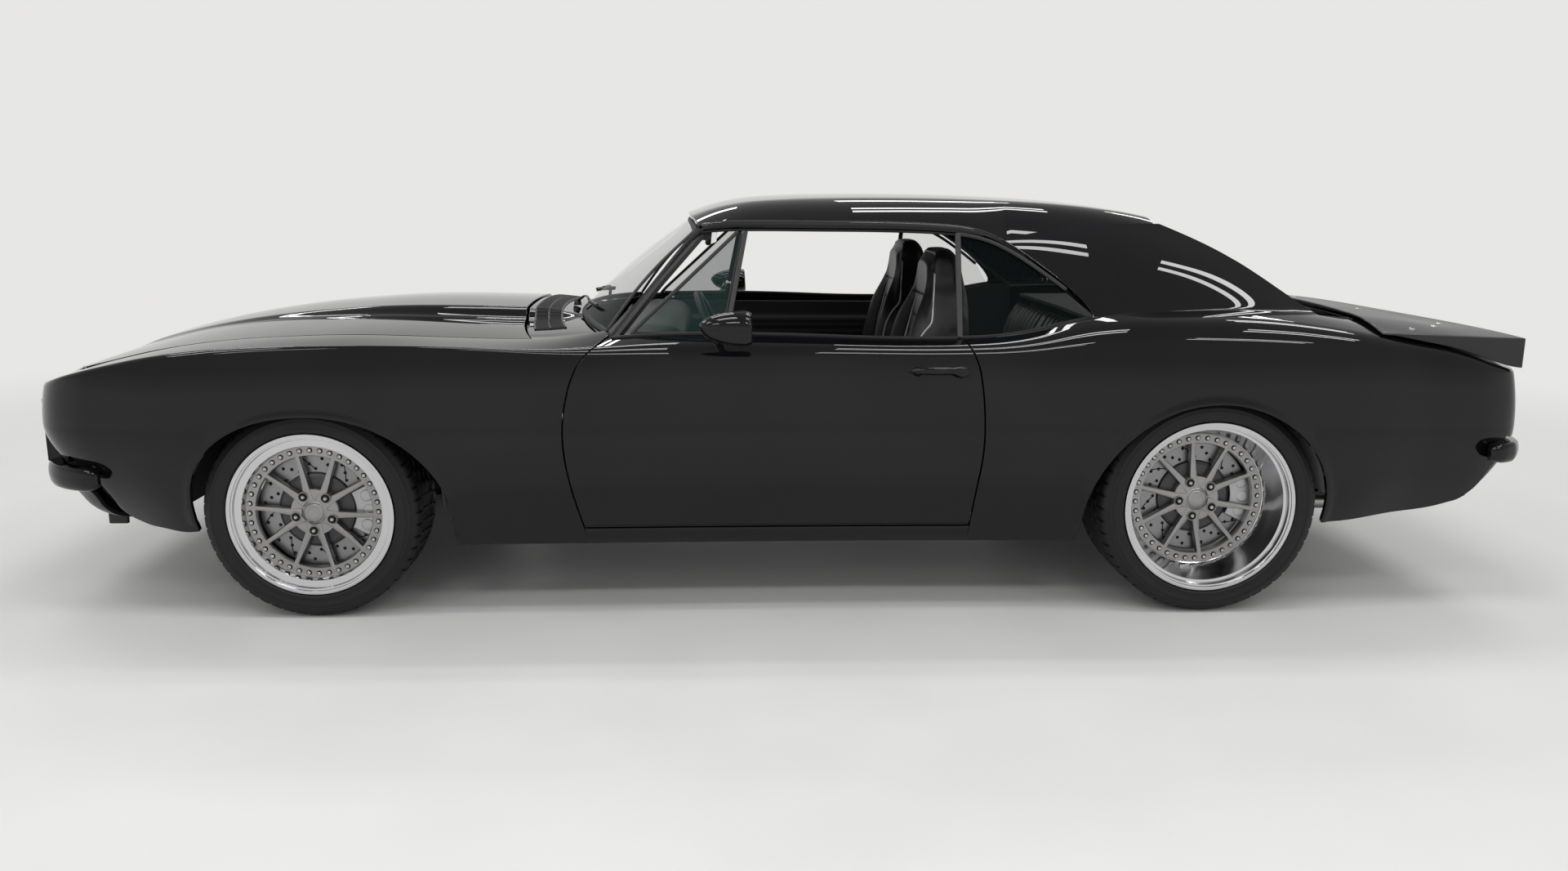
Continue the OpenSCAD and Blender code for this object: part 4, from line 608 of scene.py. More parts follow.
inner_soft = Curve([(x, float(inner_top(np.float64(x)))) for x in range(-2460, -559, 20)], 1, 26)
u = col(np.linspace(1, 0, 24))
qa = stations_between(u, ROWS, lambda z: -930.0, lambda z: rear_edge(z) - DOOR_GAP + 1.6, 214.0, SILL_Y)
ax, az = rear_arch(np.linspace(1, 179, 90))
jx, jz = np.linspace(-930.5, ax[0] + 0.3, 6), np.linspace(214, az[0], 6)
ex, ez = np.linspace(ax[-1] - 0.3, ax[-1] - 2.5, 4), np.linspace(az[-1], 276, 4)
tx = np.concatenate([np.linspace(ax[-1] - 6, -2299, 54), np.linspace(-2306, -2440, 18)])
qs, qfoot, qinner = columns([(qa, [214.0] * 24, inner_soft(qa[:, -1])), (col(jx), jz, inner_soft(jx)),
                             (col(ax), az, inner_soft(ax)), (col(ex), ez, inner_soft(ex)),
                             (col(tx), quarter_low(np.maximum(tx, -2290)), inner_soft(tx))])
p, n = wall_grid(qs, ROWS, qfoot, qinner)
p, n = arch_lip(p, n, rear_arch)
base_line, base_n, base_s = p[:, -1], n[:, -1], qs[:, -1]
quarter = sheet_part(p, n, sides="abcd")


def sail_uv(u, v):
    """Sail panel: u from its front edge to its rear edge, v from its foot to the roof."""
    xf, xr = mix(-1012, -700, v), mix(-1700, -1225, v)
    f = v3(xf, mix(SILL_Y - 14, 632, v), drip_z(xf) + 6 * v)
    r = v3(xr, mix(660, 560, v), mix(918, 1196, v) + 26 * np.sin(np.pi * v))
    q = mix(f, r, u[..., None])
    flare = np.sin(np.pi * u) * (24 * (1 - v) + 14 * np.sin(np.pi * v))
    return q + v3(0, flare, 18 * np.sin(np.pi * u) * v)


k = (base_s <= -936) & (base_s >= -1720)
su = np.clip((np.degrees(np.arccos(np.clip((base_s[k] - REAR_AXLE[0]) / 390, -1, 1))) - 4) / 170, 0, 1)
v = np.linspace(0, 1, 46)[None, :]
q = sail_uv(su[:, None] + 0 * v, v + 0 * su[:, None])
w = (1 - (1 - np.clip(v / 0.5, 0, 1)) ** 3)[..., None]
sail = mix(base_line[k][:, None], q, w)
sail[:, 0] = base_line[k]
sn = grid_normals(sail)
sn *= np.sign(np.sum(sn[..., 1:2] + sn[..., 2:3]))
blend = (1 - sstep(0, 0.1, v))[..., None]
sn = unit(sn * (1 - blend) + base_n[k][:, None] * blend)
quarter = join([quarter, sheet_part(sail, sn, hem=1.5, depth=8, sides="ab")])
both_sides("quarter_panel", quarter, "paint", "body", ["quarter_panel_{}"])

# doors: the skin, its inner box and the folded edge
u = col(np.linspace(0, 1, 90))
ds = stations_between(u, ROWS, lambda z: rear_edge(z) + 1.6, lambda z: front_edge(z) - 1.6, 272.0, SILL_Y)
p, n = wall_grid(ds, ROWS, 272.0 + 0 * u, SILL_Y + 0 * u)
door_skin = sheet_part(p, n, depth=20)
DOOR_P = p


def door_inner_point(fx, fz, dy=0.0):
    """Inner face of a door: fx from rear to front, fz from bottom to sill."""
    x = mix(rear_edge(300 + 480 * fz) + 12, front_edge(300 + 480 * fz) - 110, fx)
    return v3(x, 786.0 - 12 * fz + dy, mix(284, 826, fz))


fx, fz = np.linspace(0, 1, 84)[:, None], np.linspace(0, 1, 80)[None, :]
gx, gz = fx + 0 * fz, fz + 0 * fx


def pad(a, lo, hi, soft):
    return sstep(lo, lo + soft, a) * sstep(hi, hi - soft, a)


rest = pad(gx, 0.16, 0.74, 0.05) * pad(gz, 0.47, 0.60, 0.045)
relief = (-10 * pad(gx, 0.05, 0.95, 0.03) * pad(gz, 0.08, 0.9, 0.03) * (1 - pad(gz, 0.62, 0.655, 0.012))
          - 46 * rest - 7 * pad(gx, 0.30, 0.60, 0.06) * pad(gz, 0.12, 0.30, 0.05))
pleats = 1.6 * np.abs(np.sin(gz * 60)) * pad(gx, 0.07, 0.93, 0.01) * pad(gz, 0.67, 0.87, 0.01)
card = door_inner_point(gx, gz) + v3(0, relief - pleats, 0)
card_n = grid_normals(card)
card_n *= -np.sign(np.sum(card_n[..., 1]))
door_card = sheet_part(card, card_n, hem=4, depth=16)
hatch = []
end_rows = [DOOR_P[0], DOOR_P[-1]]
for k, e in ((0, 0.0), (1, 1.0)):
    outer = end_rows[k][:, None, :] + 0.0
    z = outer[..., 2]
    inner = v3(outer[..., 0] - (0 if k == 0 else 8), np.where(k == 0, 776.0, np.minimum(outer[..., 1] - 14, 868.0)),
            z)
    strip = np.concatenate([outer - v3(0, 6, 0), inner], 1)
    strip = mix(strip[:, :1], strip[:, 1:], np.linspace(0, 1, 6)[None, :, None])
    sn = grid_normals(strip)
    sn *= (-1 if k == 0 else 1) * np.sign(np.sum(sn[..., 0]))
    hatch.append(sheet_part(strip, sn, hem=1.5, depth=4))
bottom = mix(DOOR_P[:, :1], v3(DOOR_P[:, 0, 0], 776.0, 284.0)[:, None], np.linspace(0, 1, 6)[None, :, None])
bn = grid_normals(bottom)
bn *= -np.sign(np.sum(bn[..., 2]))
both_sides("door_skin", join([door_skin] + hatch + [sheet_part(bottom, bn, hem=1.5, depth=4)]), "paint", "door_{}",
        ["door_{}"])
both_sides("door_card", door_card, "leather", "door_{}")
q = v3(mix(470, 556, np.linspace(0, 1, 5))[:, None] + 0 * fz[:, ::4], 812 + 0 * fz[:, ::4],
        mix(290, 820, fz[:, ::4]) + 0)
face = mix(card[-1][::4][None], DOOR_P[-1, ::1][np.linspace(0, 39, 20).astype(int)][None] - v3(0, 24, 0),
        np.linspace(0, 1, 8)[:, None, None])
fn = grid_normals(face)
fn *= -np.sign(np.sum(fn[..., 1]))
both_sides("door_front_inner", sheet_part(face, fn, hem=1, depth=3), "paint", "door_{}")

# belt line of the door: weather strip along the sill, release lever and window crank
x = np.linspace(-540, 512, 60)
belt = v3(x, SILL_Y - 3 + 0 * x, top_z(x, SILL_Y) + 2)
t, a, b = frames(belt, (0, 0, 1))
both_sides("belt_strip", sweep(belt, a, b, ring(10, 7, 5, 0.6)), "rubber", "door_{}", angle=40)
lever, lever_at = facing(door_inner_point(0.66, 0.76, -14), (0, -1, 0))
parts = [placed(rounded_box((-70, -10, 0), (10, 10, 12), 4), lever, lever_at),
         placed(lathe([(0, 0), (17, 0), (17, 8), (13, 14), (0, 14)], 32), lever, lever_at)]
crank_m, crank_at = facing(door_inner_point(0.60, 0.40, -6), (0, -1, 0))
parts += [placed(lathe([(0, 0), (20, 0), (20, 9), (14, 13), (0, 13)], 32), crank_m, crank_at),
          placed(rounded_box((-8, -96, 8), (8, 6, 18), 4), crank_m, crank_at),
          placed(lathe([(0, 16), (9, 16), (12, 30), (9, 44), (0, 46)], 24), crank_m, crank_at + crank_m @ np.array([0,
                  -88, 0]))]
both_sides("door_levers", join(parts), "chrome", "door_{}", angle=35)

# outside door handle: a pull bar on two pads with an oval push button
hx = np.linspace(-562, -386, 40)
hz = 763.0
mid = side_point(hx, hz + 0 * hx)
nn = unit(np.cross(side_point(hx, hz + 2 + 0 * hx) - side_point(hx, hz - 2 + 0 * hx), side_point(hx + 4,
        hz + 0 * hx) - side_point(hx - 4, hz + 0 * hx)))
nn *= np.sign(nn[:, 1:2])
hu = (hx + 562) / 176
bar = mid + nn * (13 + 17 * np.sin(np.pi * hu) ** 0.8)[:, None] + v3(0, 0, -5 * sstep(0.3, 0.0, hu))
t, a, b = frames(bar, (0, 0, 1))
kz = mix(0.55, 0.8, np.sin(np.pi * hu)) + 0.75 * sstep(0.30, 0.10, hu)
kz = kz * np.sqrt(np.clip(1 - (2 * hu - 1) ** 8, 0.02, 1))
handle = sweep(bar, b, a, ring(20, 13, 8.0, 0.9), np.stack([kz, mix(0.6, 1.0, kz)], 1))
pads = []
for k in (5, 34):
    m_, at_ = facing(mid[k], nn[k])
    pads.append(placed(lathe([(0, 14), (9, 13), (12, 8), (15, 2), (16, -3)], 28), m_, at_))
m_, at_ = facing(mid[5] + nn[5] * 15 + v3(0, 0, -4), nn[5])
button = placed(lathe([(0, 7), (6, 6.6), (8.5, 4.5), (9, -3)], 28), m_, at_)
both_sides("door_handle", join([handle] + pads), "paint", "door_{}", angle=50)
both_sides("door_button", button, "chrome", "door_{}", angle=35)
# A dark plate just off the door round the handle, wider than the bar: a painted shadow outline.
shadow_width = (0.75 + 0.5 * sstep(0.32, 0.1, hu)) * np.sqrt(np.clip(1 - (2 * hu - 1) ** 10, 0.02, 1))
t, a, b = frames(mid, (0, 0, 1))
both_sides("door_handle_seat", sweep(mid + nn * 0.6, b, nn, [(-15, -1), (-15, 0.6), (-14, 1.2), (14, 1.2), (15, 0.6),
        (15, -1)],
                                     np.stack([shadow_width, 1 + 0 * shadow_width], 1)), "painted_shade", "door_{}", angle=40)

# rockers
x = np.linspace(-926, 946, 90)
ang = np.radians(np.linspace(0, 100, 14))
rx, ra = x[:, None] + 0 * ang, ang[None, :] + 0 * x[:, None]
py = side_point(rx, 262.0 + 0 * rx)[..., 1] - 4
rock = v3(rx, py - 4 - 30 * (1 - np.cos(ra)), 268 - 60 * np.sin(np.minimum(ra, np.pi / 2)) - 0 * rx)
inner = np.stack([v3(x, 752.0, 207.0), v3(x, 752.0, 250.0)], 1)
rock = np.concatenate([v3(x, 760.0, 266.0)[:, None], rock, inner], 1)
rn = grid_normals(rock)
rn *= np.sign(np.sum(rn[:, 5, 1]))
both_sides("rocker", sheet_part(rock, rn, hem=1, depth=3, sides="ab"), "paint", "body", [])
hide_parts("rocker_panels")

# ---------------------------------------------------------------- hood, nose, cowl
u, w = np.linspace(0, 1, 110)[:, None], np.linspace(-1, 1, 121)[None, :]


def hood_point(u, w):
    y = w * (HOOD_HALF - PANEL_GAP / 2 - 1.6)
    a = np.abs(y)
    x = mix(hood_rear(a) + 1.6, hood_front(a) - 1.6, u)
    return v3(x, y, hood_z(x, y))


p = hood_point(u, w)
n = unit(np.cross(hood_point(u + 0.003, w) - hood_point(u - 0.003, w), hood_point(u, w + 0.004) - hood_point(u,
        w - 0.004)))
build("hood_skin", *sheet_part(p, n, depth=13)[:2], "paint", "hood", sheet_part(p, n, depth=13)[2], replaces=["hood"])
ui, wi = np.linspace(0.03, 0.97, 52)[:, None], np.linspace(-0.95, 0.95, 64)[None, :]
rib = pad(ui, 0.10, 0.46, 0.04) + pad(ui, 0.54, 0.90, 0.04)
rib = rib * (pad(np.abs(wi), 0.06, 0.44, 0.05) + pad(np.abs(wi), 0.52, 0.90, 0.05))
p = hood_point(ui, wi) - v3(0, 0, 14.5 - 9 * rib)
n = grid_normals(p)
n *= -np.sign(np.sum(n[..., 2]))
part = sheet_part(p, n, hem=1, depth=2)
build("hood_inner", part[0], part[1], "chassis", "hood", part[2])

# header between hood and grille opening
HEADER = HOOD_HALF + PANEL_GAP / 2 - 0.8


def header_point(y, u):
    a = np.abs(y)
    x0, x1 = nose_x(a) - 8, hood_front(a) + PANEL_GAP + 1.6
    z1 = hood_z(x1, y)
    k = sstep(480, 700, a)
    cx, cz = mix(x0 + 2, x0 - 14, k), mix(642 + 0.62 * (z1 - 642), 642 + 0.42 * (z1 - 642), k)
    p = v3(x0, y, 642.0 + 0 * x0)
    c, e = v3(cx, y, cz), v3(x1, y, z1)
    u = np.asarray(u, float)[..., None]
    return mix(mix(p, c, u), mix(c, e, u), u)


y, u = np.linspace(-HEADER, HEADER, 121)[None, :], np.linspace(0, 1, 34)[:, None]
p = header_point(y + 0 * u, u + 0 * y)
part = sheet_part(p, grid_normals(p) * np.sign(np.sum(grid_normals(p)[..., 0])), depth=16)
build("nose_header", part[0], part[1], "paint", "body", part[2], replaces=["header_panel"])

# cowl with its louvred vent
CH = HOOD_HALF + PANEL_GAP / 2 - 1.0


def cowl_point(y, u):
    a = np.abs(y)
    f, fzz = glass_foot(a)
    x1 = hood_rear(a) - PANEL_GAP - 3.6
    z1 = top_z(x1, HOOD_HALF) - 4 + (hood_z(x1, y) - top_z(x1, HOOD_HALF) - 2) * sstep(HOOD_HALF, 600, a)
    x = mix(f + 3, x1, u)
    return v3(x, y, mix(fzz - 12, z1, sstep(-0.35, 1.0, u)) + 0 * u)


y, u = np.linspace(-CH, CH, 121)[None, :], np.linspace(0, 1, 22)[:, None]
p = cowl_point(y + 0 * u, u + 0 * y)
n = grid_normals(p)
n *= np.sign(np.sum(n[..., 2]))
part = sheet_part(p, n, depth=12)
build("cowl_skin", part[0], part[1], "paint", "body", part[2], replaces=["cowl_panel"])
parts = []
# A dark sheet under the louvres: painted shade in the vent opening.
y, u = np.linspace(-520, 520, 80)[None, :], np.linspace(0.42, 0.86, 6)[:, None]
p = cowl_point(y + 0 * u, u + 0 * y) + v3(0, 0, 1.2)
n = grid_normals(p)
n *= np.sign(np.sum(n[..., 2]))
part = sheet_part(p, n, hem=1.2, depth=4)
build("cowl_vent_painted_shade", part[0], part[1], "painted_shade", "body", part[2])
for y0 in np.linspace(-512, 512, 74):
    path = cowl_point(y0 + np.zeros(6), np.linspace(0.41, 0.87, 6)) + v3(0, 0, 2.5)
    parts.append(sweep(path, (0, 1, 0), (0, 0, 1), [(-2.4, -2), (2.4, -2), (1.7, 2.2), (-1.7, 2.2)]))
for uu in (0.40, 0.64, 0.88):
    path = cowl_point(np.linspace(-520, 520, 60), uu + np.zeros(60)) + v3(0, 0, 2.2)
    parts.append(sweep(path, (1, 0, 0), (0, 0, 1), [(-4, -3), (4, -3), (3, 2), (-3, 2)]))
part = join(parts)
build("cowl_vent", part[0], part[1], "trim", "body", angle=30)

# ---------------------------------------------------------------- roof, glass and their trim
u, w = np.linspace(0, 1, 110)[:, None], np.linspace(-1, 1, 101)[None, :]


def roof_point(u, w, inset_y=2.0):
    a = 620 * np.abs(w)
    x = mix(roof_rear(a), roof_front(a), u)
    y = w * (drip_y(x) - inset_y)
    return v3(x, y, roof_z(x, y))


w = np.sign(w) * (1 - (1 - np.abs(w)) ** 1.35)
p = roof_point(u, w)
n = unit(np.cross(roof_point(u + 0.003, w) - roof_point(u - 0.003, w), roof_point(u, w + 0.003) - roof_point(u,
        w - 0.003)))
part = sheet_part(p, n, depth=12)
build("roof_skin", part[0], part[1], "paint", "body", part[2], replaces=["roof"])
p = roof_point(np.linspace(0.02, 0.97, 40)[:, None], np.linspace(-0.95, 0.95, 40)[None, :]) - v3(0, 0, 17)
part = sheet_part(p, -grid_normals(p) * np.sign(np.sum(grid_normals(p)[..., 2])), hem=2, depth=-4)
build("headliner", part[0], part[1], "headliner", "body", part[2])


def screen_point(u, w):
    a, h = np.abs(w) * 719, np.abs(w) * 577.6
    fxx, fzz = glass_foot(a)
    hx_, hz_ = 296 - 34 * (h / 600) ** 2, roof_z(290.0, h) - 24
    k = np.sin(np.pi * u)
    return v3(mix(fxx, hx_, u) + 14 * k, w * mix(719, 577.6, u), mix(fzz, hz_, u) + 8 * k)


def rear_screen_point(u, w):
    a = np.abs(w)
    x0, x1 = -1800 + 90 * a * a, -1217.6 - 8 * a
    z0, z1 = 936 - 18 * a * a, 1206 - 22 * a * a
    return v3(mix(x0, x1, u), w * mix(628, 536, u), mix(z0, z1, u) + 26 * np.sin(np.pi * u))


def pane(name, fn, nu, nw, body, mat, replaces):
    u, w = np.linspace(0, 1, nu)[:, None], np.linspace(-1, 1, nw)[None, :]
    p = fn(u, w)
    n = grid_normals(p)
    n *= np.sign(np.sum(n[..., 2]))
    part = sheet_part(p - n * 0.5, n, hem=0.6, depth=3)
    build(name, part[0], part[1], mat, body, part[2], replaces=replaces)
    edge = np.concatenate([fn(0 * u[:, 0] + 0.0, np.linspace(-1, 1, nu)), fn(np.linspace(0, 1, nu), 1.0 + 0 * u[:,
            0])[1:],
                           fn(0 * u[:, 0] + 1.0, np.linspace(1, -1, nu))[1:], fn(np.linspace(1, 0, nu),
                                   -1.0 + 0 * u[:, 0])[1:-1]])
    m = len(edge)
    t = unit(np.roll(edge, -1, 0) - np.roll(edge, 1, 0))
    k = fn_normal(fn, nu)
    b = unit(np.cross(k, t))
    prof = [(-9, -3), (9, -3), (9, 1.5), (6, 3.2), (-7, 2.6), (-9, 1)]
    v = edge[:, None] + b[:, None] * np.array(prof)[None, :, :1] + k[:, None] * np.array(prof)[None, :, 1:]
    build(name + "_seal", v.reshape(-1, 3), quads(m, 6, True, True), "rubber", body, angle=40)


def fn_normal(fn, nu):
    """Outward normals of a pane along its four edges, in the order pane() walks them."""
    q = [(0.0, w) for w in np.linspace(-1, 1, nu)] + [(u, 1.0) for u in np.linspace(0, 1, nu)[1:]]
    q += [(1.0, w) for w in np.linspace(1, -1, nu)[1:]] + [(u, -1.0) for u in np.linspace(1, 0, nu)[1:-1]]
    q = np.array(q)
    e = 0.004
    a = fn(q[:, 0] + e, q[:, 1]) - fn(q[:, 0] - e, q[:, 1])
    b = fn(q[:, 0], q[:, 1] + e) - fn(q[:, 0], q[:, 1] - e)
    n = unit(np.cross(a, b))
    return n * np.sign(n[:, 2:3])


pane("windshield_glass", screen_point, 28, 41, "body", "glass", ["windshield"])
pane("rear_glass", rear_screen_point, 28, 37, "body", "dark_glass", ["rear_window"])

# side glass, its frames, the drip rails and the windscreen posts
def glass_line(pts):
    pts = np.array(pts, float)
    return v3(pts[:, 0], side_glass_y(pts[:, 1]), pts[:, 1])


def resample(pts, step):
    pts = np.asarray(pts, float)
    d = np.concatenate([[0], np.cumsum(np.linalg.norm(np.diff(pts, axis=0), axis=1))])
    t = np.linspace(0, d[-1], max(int(d[-1] / step), 2))
    return np.stack([np.interp(t, d, pts[:, k]) for k in range(3)], 1)


def smooth_line(pts, step, passes=6):
    q = resample(pts, step)
    for _ in range(passes):
        q[1:-1] = (q[:-2] + 2 * q[1:-1] + q[2:]) / 4
    return q


def flat_pane(name, pts, mat, body, replaces):
    pts = glass_line(pts)
    v = np.concatenate([pts, pts - np.array([0, 4.0, 0])])
    n = len(pts)
    f = [list(range(n))[::-1], list(range(n, 2 * n))] + [[i, (i + 1) % n, (i + 1) % n + n, i + n] for i in range(n)]
    both_sides(name, (v, f, None), mat, body, replaces, angle=30)


sill_x = np.array([-545, -600, -660, -720, -780, -840, -900, -950.0])
q_low = [(x, float(top_z(np.float64(x), SILL_Y)) + 2.5) for x in sill_x]
q_up = [(-890, 996), (-838, 1035), (-785, 1072), (-745, 1098), (-706, 1120), (-668, 1138), (-628, 1151), (-592, 1158),
        (-560, 1162)]
flat_pane("quarter_glass", q_low + q_up, "clear_glass", "body", ["quarter_windows"])
flat_pane("vent_glass", [(450, 861.4), (168, 861.4), (106, 1166), (130, 1166)], "glass", "door_{}",
        ["vent_window_{}"])
OUT = np.array([0, 1.0, 0])
TRIM_STEP = 12


def trim_line(name, pts, prof, mat, body, up=(0, 1, 0), passes=4):
    """A moulding or seal on both sides of the car: the profile carried along a smoothed line."""
    q = smooth_line(pts, TRIM_STEP, passes)
    _, a, b = frames(q, up)
    both_sides(name, sweep(q, a, b, prof), mat, body, angle=40)


v_front = glass_line([(452, 862), (440, 878), (130, 1166)])
trim_line("vent_frame_front", v_front, ring(10, 6, 6, 0.6), "trim", "door_{}", passes=2)
trim_line("vent_post", glass_line([(166, 860), (106, 1167)]) + OUT * 2, ring(10, 8, 6, 0.6), "trim", "door_{}",
        passes=0)
trim_line("vent_rubber", glass_line([(178, 862), (118, 1160)]), ring(8, 4, 5, 0.7), "rubber", "door_{}", passes=0)
trim_line("vent_sill", glass_line([(440, 864), (168, 864)]), ring(10, 6, 5, 0.6), "rubber", "door_{}", passes=0)
latch_m, latch_at = facing(glass_line([(150, 905)])[0] - OUT * 8, (0, -1, 0))
both_sides("vent_latch", placed(rounded_box((-6, -14, 0), (26, 14, 10), 3), latch_m, latch_at), "chrome", "door_{}",
        angle=40)
trim_line("quarter_frame_front", glass_line([(-549, q_low[0][1]), (-560, 1163)]) + OUT * 3, ring(10, 9, 7, 0.6),
        "trim", "body", passes=0)
trim_line("quarter_frame_top", glass_line(q_up) + OUT * 3, ring(10, 6, 6, 0.6), "trim", "body")
trim_line("quarter_frame_low", glass_line(q_low) + np.array([0, 2, -1.0]), ring(10, 6, 5, 0.6), "rubber", "body")
x = np.linspace(-662, -950, 40)
zq = top_z(x, SILL_Y)
strip = np.stack([v3(x, SILL_Y - 2, zq - 1), v3(x, mix(SILL_Y, side_glass_y(zq), 0.5), zq + 2),
        v3(x, side_glass_y(zq) - 4, zq + 1)], 1)
strip_n = grid_normals(strip)
strip_n *= np.sign(np.sum(strip_n[..., 2]))
both_sides("quarter_sill", sheet_part(strip, strip_n, hem=1, depth=6), "trim", "body")
# roof rail over the side windows, and the drip moulding that runs down the windscreen post
rail_x = np.linspace(-1010, 286, 110)
drip = v3(rail_x, drip_y(rail_x) - 1, drip_z(rail_x))
k = drip[:, 0] < 236
drip_path = np.concatenate([drip[k], [(264, 613, 1158), (330, 647, 1078), (420, 691, 966), (500, 730, 868),
        (520, 741, 846)]])
trim_line("drip_moulding", drip_path, [(-7, -3), (5, -5), (9, 2), (7, 5), (1, 0), (-5, 5)], "trim", "body",
        up=(0, 0.5, 1), passes=8)
rail_pts = np.array([(x, drip_y(x) - 14, drip_z(x) - 8) for x in np.linspace(-640, 240, 60)])
trim_line("roof_rail", rail_pts, ring(14, 17, 13, 0.7), "paint", "body", up=(0, 0, 1))
trim_line("roof_rail_seal", rail_pts + np.array([0, 3, -13]), ring(10, 8, 6, 0.7), "rubber", "body", up=(0, 0, 1))
post = smooth_line([(508, 733, 842), (380, 668, 1002), (246, 598, 1154)], 12, 4)
t, a, b = frames(post, (1, 0, 1))
both_sides("screen_post", sweep(post, a, b, [(-15, -12), (13, -14), (17, -2), (12, 10), (-4, 13), (-15, 6)]), "trim",
        "body", angle=40)
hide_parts("windshield_frame")
head = np.array([(236 + 26 - 26 * (abs(y) / 590) ** 2, y,
        1150 + 12 * (1 - (abs(y) / 590) ** 2)) for y in np.linspace(-590, 590, 50)])
t, a, b = frames(head, (0, 0, 1))
part = sweep(head, a, b, ring(12, 22, 13, 0.7))
build("screen_header", part[0], part[1], "headliner", "body", angle=40)

# ---------------------------------------------------------------- deck, lid and spoiler
u, w = np.linspace(0, 1, 60)[:, None], np.linspace(-1, 1, 101)[None, :]


def lid_point(u, w):
    x = mix(TRUNK_REAR + 1.5, TRUNK_FRONT - 5.5, u)
    y = w * (trunk_half(x) - PANEL_GAP / 2 - 1.6)
    return v3(x, y, deck_z(x, y))


p = lid_point(u, w)
n = unit(np.cross(lid_point(u + 0.004, w) - lid_point(u - 0.004, w), lid_point(u, w + 0.004) - lid_point(u,
        w - 0.004)))
n *= np.sign(np.sum(n[..., 2]))
part = sheet_part(p, n, depth=13)
build("lid_skin", part[0], part[1], "paint", "trunk_lid", part[2], replaces=["trunk_lid"])
ui, wi = np.linspace(0.05, 0.95, 40)[:, None], np.linspace(-0.95, 0.95, 70)[None, :]
rib = pad(ui, 0.12, 0.88, 0.08) * (pad(np.abs(wi), 0.06, 0.44, 0.05) + pad(np.abs(wi), 0.52, 0.90, 0.05))
p = lid_point(ui, wi) - v3(0, 0, 14.5 - 8 * rib)
n = grid_normals(p)
n *= -np.sign(np.sum(n[..., 2]))
part = sheet_part(p, n, hem=1, depth=2)
build("lid_inner", part[0], part[1], "chassis", "trunk_lid", part[2])


def filler_point(u, w):
    a = np.abs(w)
    x0, x1 = TRUNK_FRONT + 1.5, -1800 + 90 * a * a - 6
    y0, y1 = w * trunk_half(TRUNK_FRONT), w * 690.0
    z0 = deck_z(TRUNK_FRONT, y0)
    z1 = np.minimum(deck_z(TRUNK_FRONT, y1) + 16, top_z(x1, 690.0))
    return v3(mix(x0, x1, u), mix(y0, y1, u), mix(z0, z1, u))


p = filler_point(np.linspace(0, 1, 14)[:, None], np.linspace(-1, 1, 101)[None, :])
n = grid_normals(p)
n *= np.sign(np.sum(n[..., 2]))
part = sheet_part(p, n, depth=16)
build("deck_bridge", part[0], part[1], "paint", "body", part[2], replaces=["deck_filler"])


def deck_foot(x, y):
    a = np.abs(y)
    return np.where(a < trunk_half(x), deck_z(x, a), top_z(x, a)) + 8


def spoiler_point(f, y, top):
    a = (np.abs(y) / 812) ** 4
    x = mix(-2326.0, -1858.0, f) + 10 * a * (1 - f)
    upper = mix(866, deck_foot(-1858.0, y) + 10, f ** 1.2) - 8 * a
    return v3(x, y, upper if top else np.minimum(deck_foot(x, y), upper - 8))


y = np.linspace(-812, 812, 85)[None, :]
f = np.linspace(0, 1, 30)[:, None]
up_p, low_p = spoiler_point(f, y, True), spoiler_point(f, y, False)
loop = np.concatenate([up_p, low_p[::-1]], 0)
m_, k_ = loop.shape[:2]
fl = quads(m_, k_, closed_i=True)
ends = [[i * k_ for i in range(m_)], [i * k_ + k_ - 1 for i in range(m_)][::-1]]
spoil = build("ducktail", loop.reshape(-1, 3), fl.tolist() + ends, "valance_black", "trunk_lid", angle=None,
        replaces=["spoiler"])


def apply_mods(ob, *mods):
    """Adds (type, settings) modifiers and bakes them into the mesh."""
    for kind, settings in mods:
        mod = ob.modifiers.new(kind, kind)
        for key, val in settings.items():
            setattr(mod, key, val)
    dg = bpy.context.evaluated_depsgraph_get()
    me = bpy.data.meshes.new_from_object(ob.evaluated_get(dg))
    ob.modifiers.clear()
    old, ob.data = ob.data, me
    bpy.data.meshes.remove(old)
    return ob


bmk = bmesh.new()
bmk.from_mesh(spoil.data)
bmesh.ops.recalc_face_normals(bmk, faces=bmk.faces)
bmk.to_mesh(spoil.data)
bmk.free()
apply_mods(spoil, ("BEVEL", {"width": 0.005, "segments": 3, "limit_method": "ANGLE",
        "angle_limit": math.radians(38)}))
spoil.data.polygons.foreach_set("use_smooth", [True] * len(spoil.data.polygons))
spoil.data.set_sharp_from_angle(angle=math.radians(40))
heads = []
for fx_, yy in ((0.74, 762), (0.50, 690), (0.30, 560), (0.55, 250), (0.55, -250), (0.30, -560), (0.50, -690),
        (0.74, -762)):
    at = spoiler_point(np.float64(fx_), np.float64(yy), True)
    e1 = spoiler_point(np.float64(fx_ + 0.02), np.float64(yy), True) - at
    nrm = unit(np.cross(e1, spoiler_point(np.float64(fx_), np.float64(yy + 8.0), True) - at))
    nrm = nrm * np.sign(nrm[2])
    m_, at_ = facing(at, nrm, (1, 0, 0))
    heads.append(placed(lathe([(4, 1.4), (4, 3.6), (7, 3.4), (9.5, 1.8), (10, -0.5)], 24), m_, at_))
    heads.append(placed(lathe([(0, 1.2), (4, 1.2)], 6), m_, at_))
part = join(heads)
build("ducktail_fasteners", part[0], part[1], "bolt", "trunk_lid", angle=35)

# ---------------------------------------------------------------- nose and tail pieces
def plan_path(s0, s1, count):
    s = np.linspace(s0, s1, count)
    nx_, ny_ = plan_normal(s)
    return s, v3(plan_x(s), plan_y(s), 0.0), v3(nx_, ny_, 0.0)


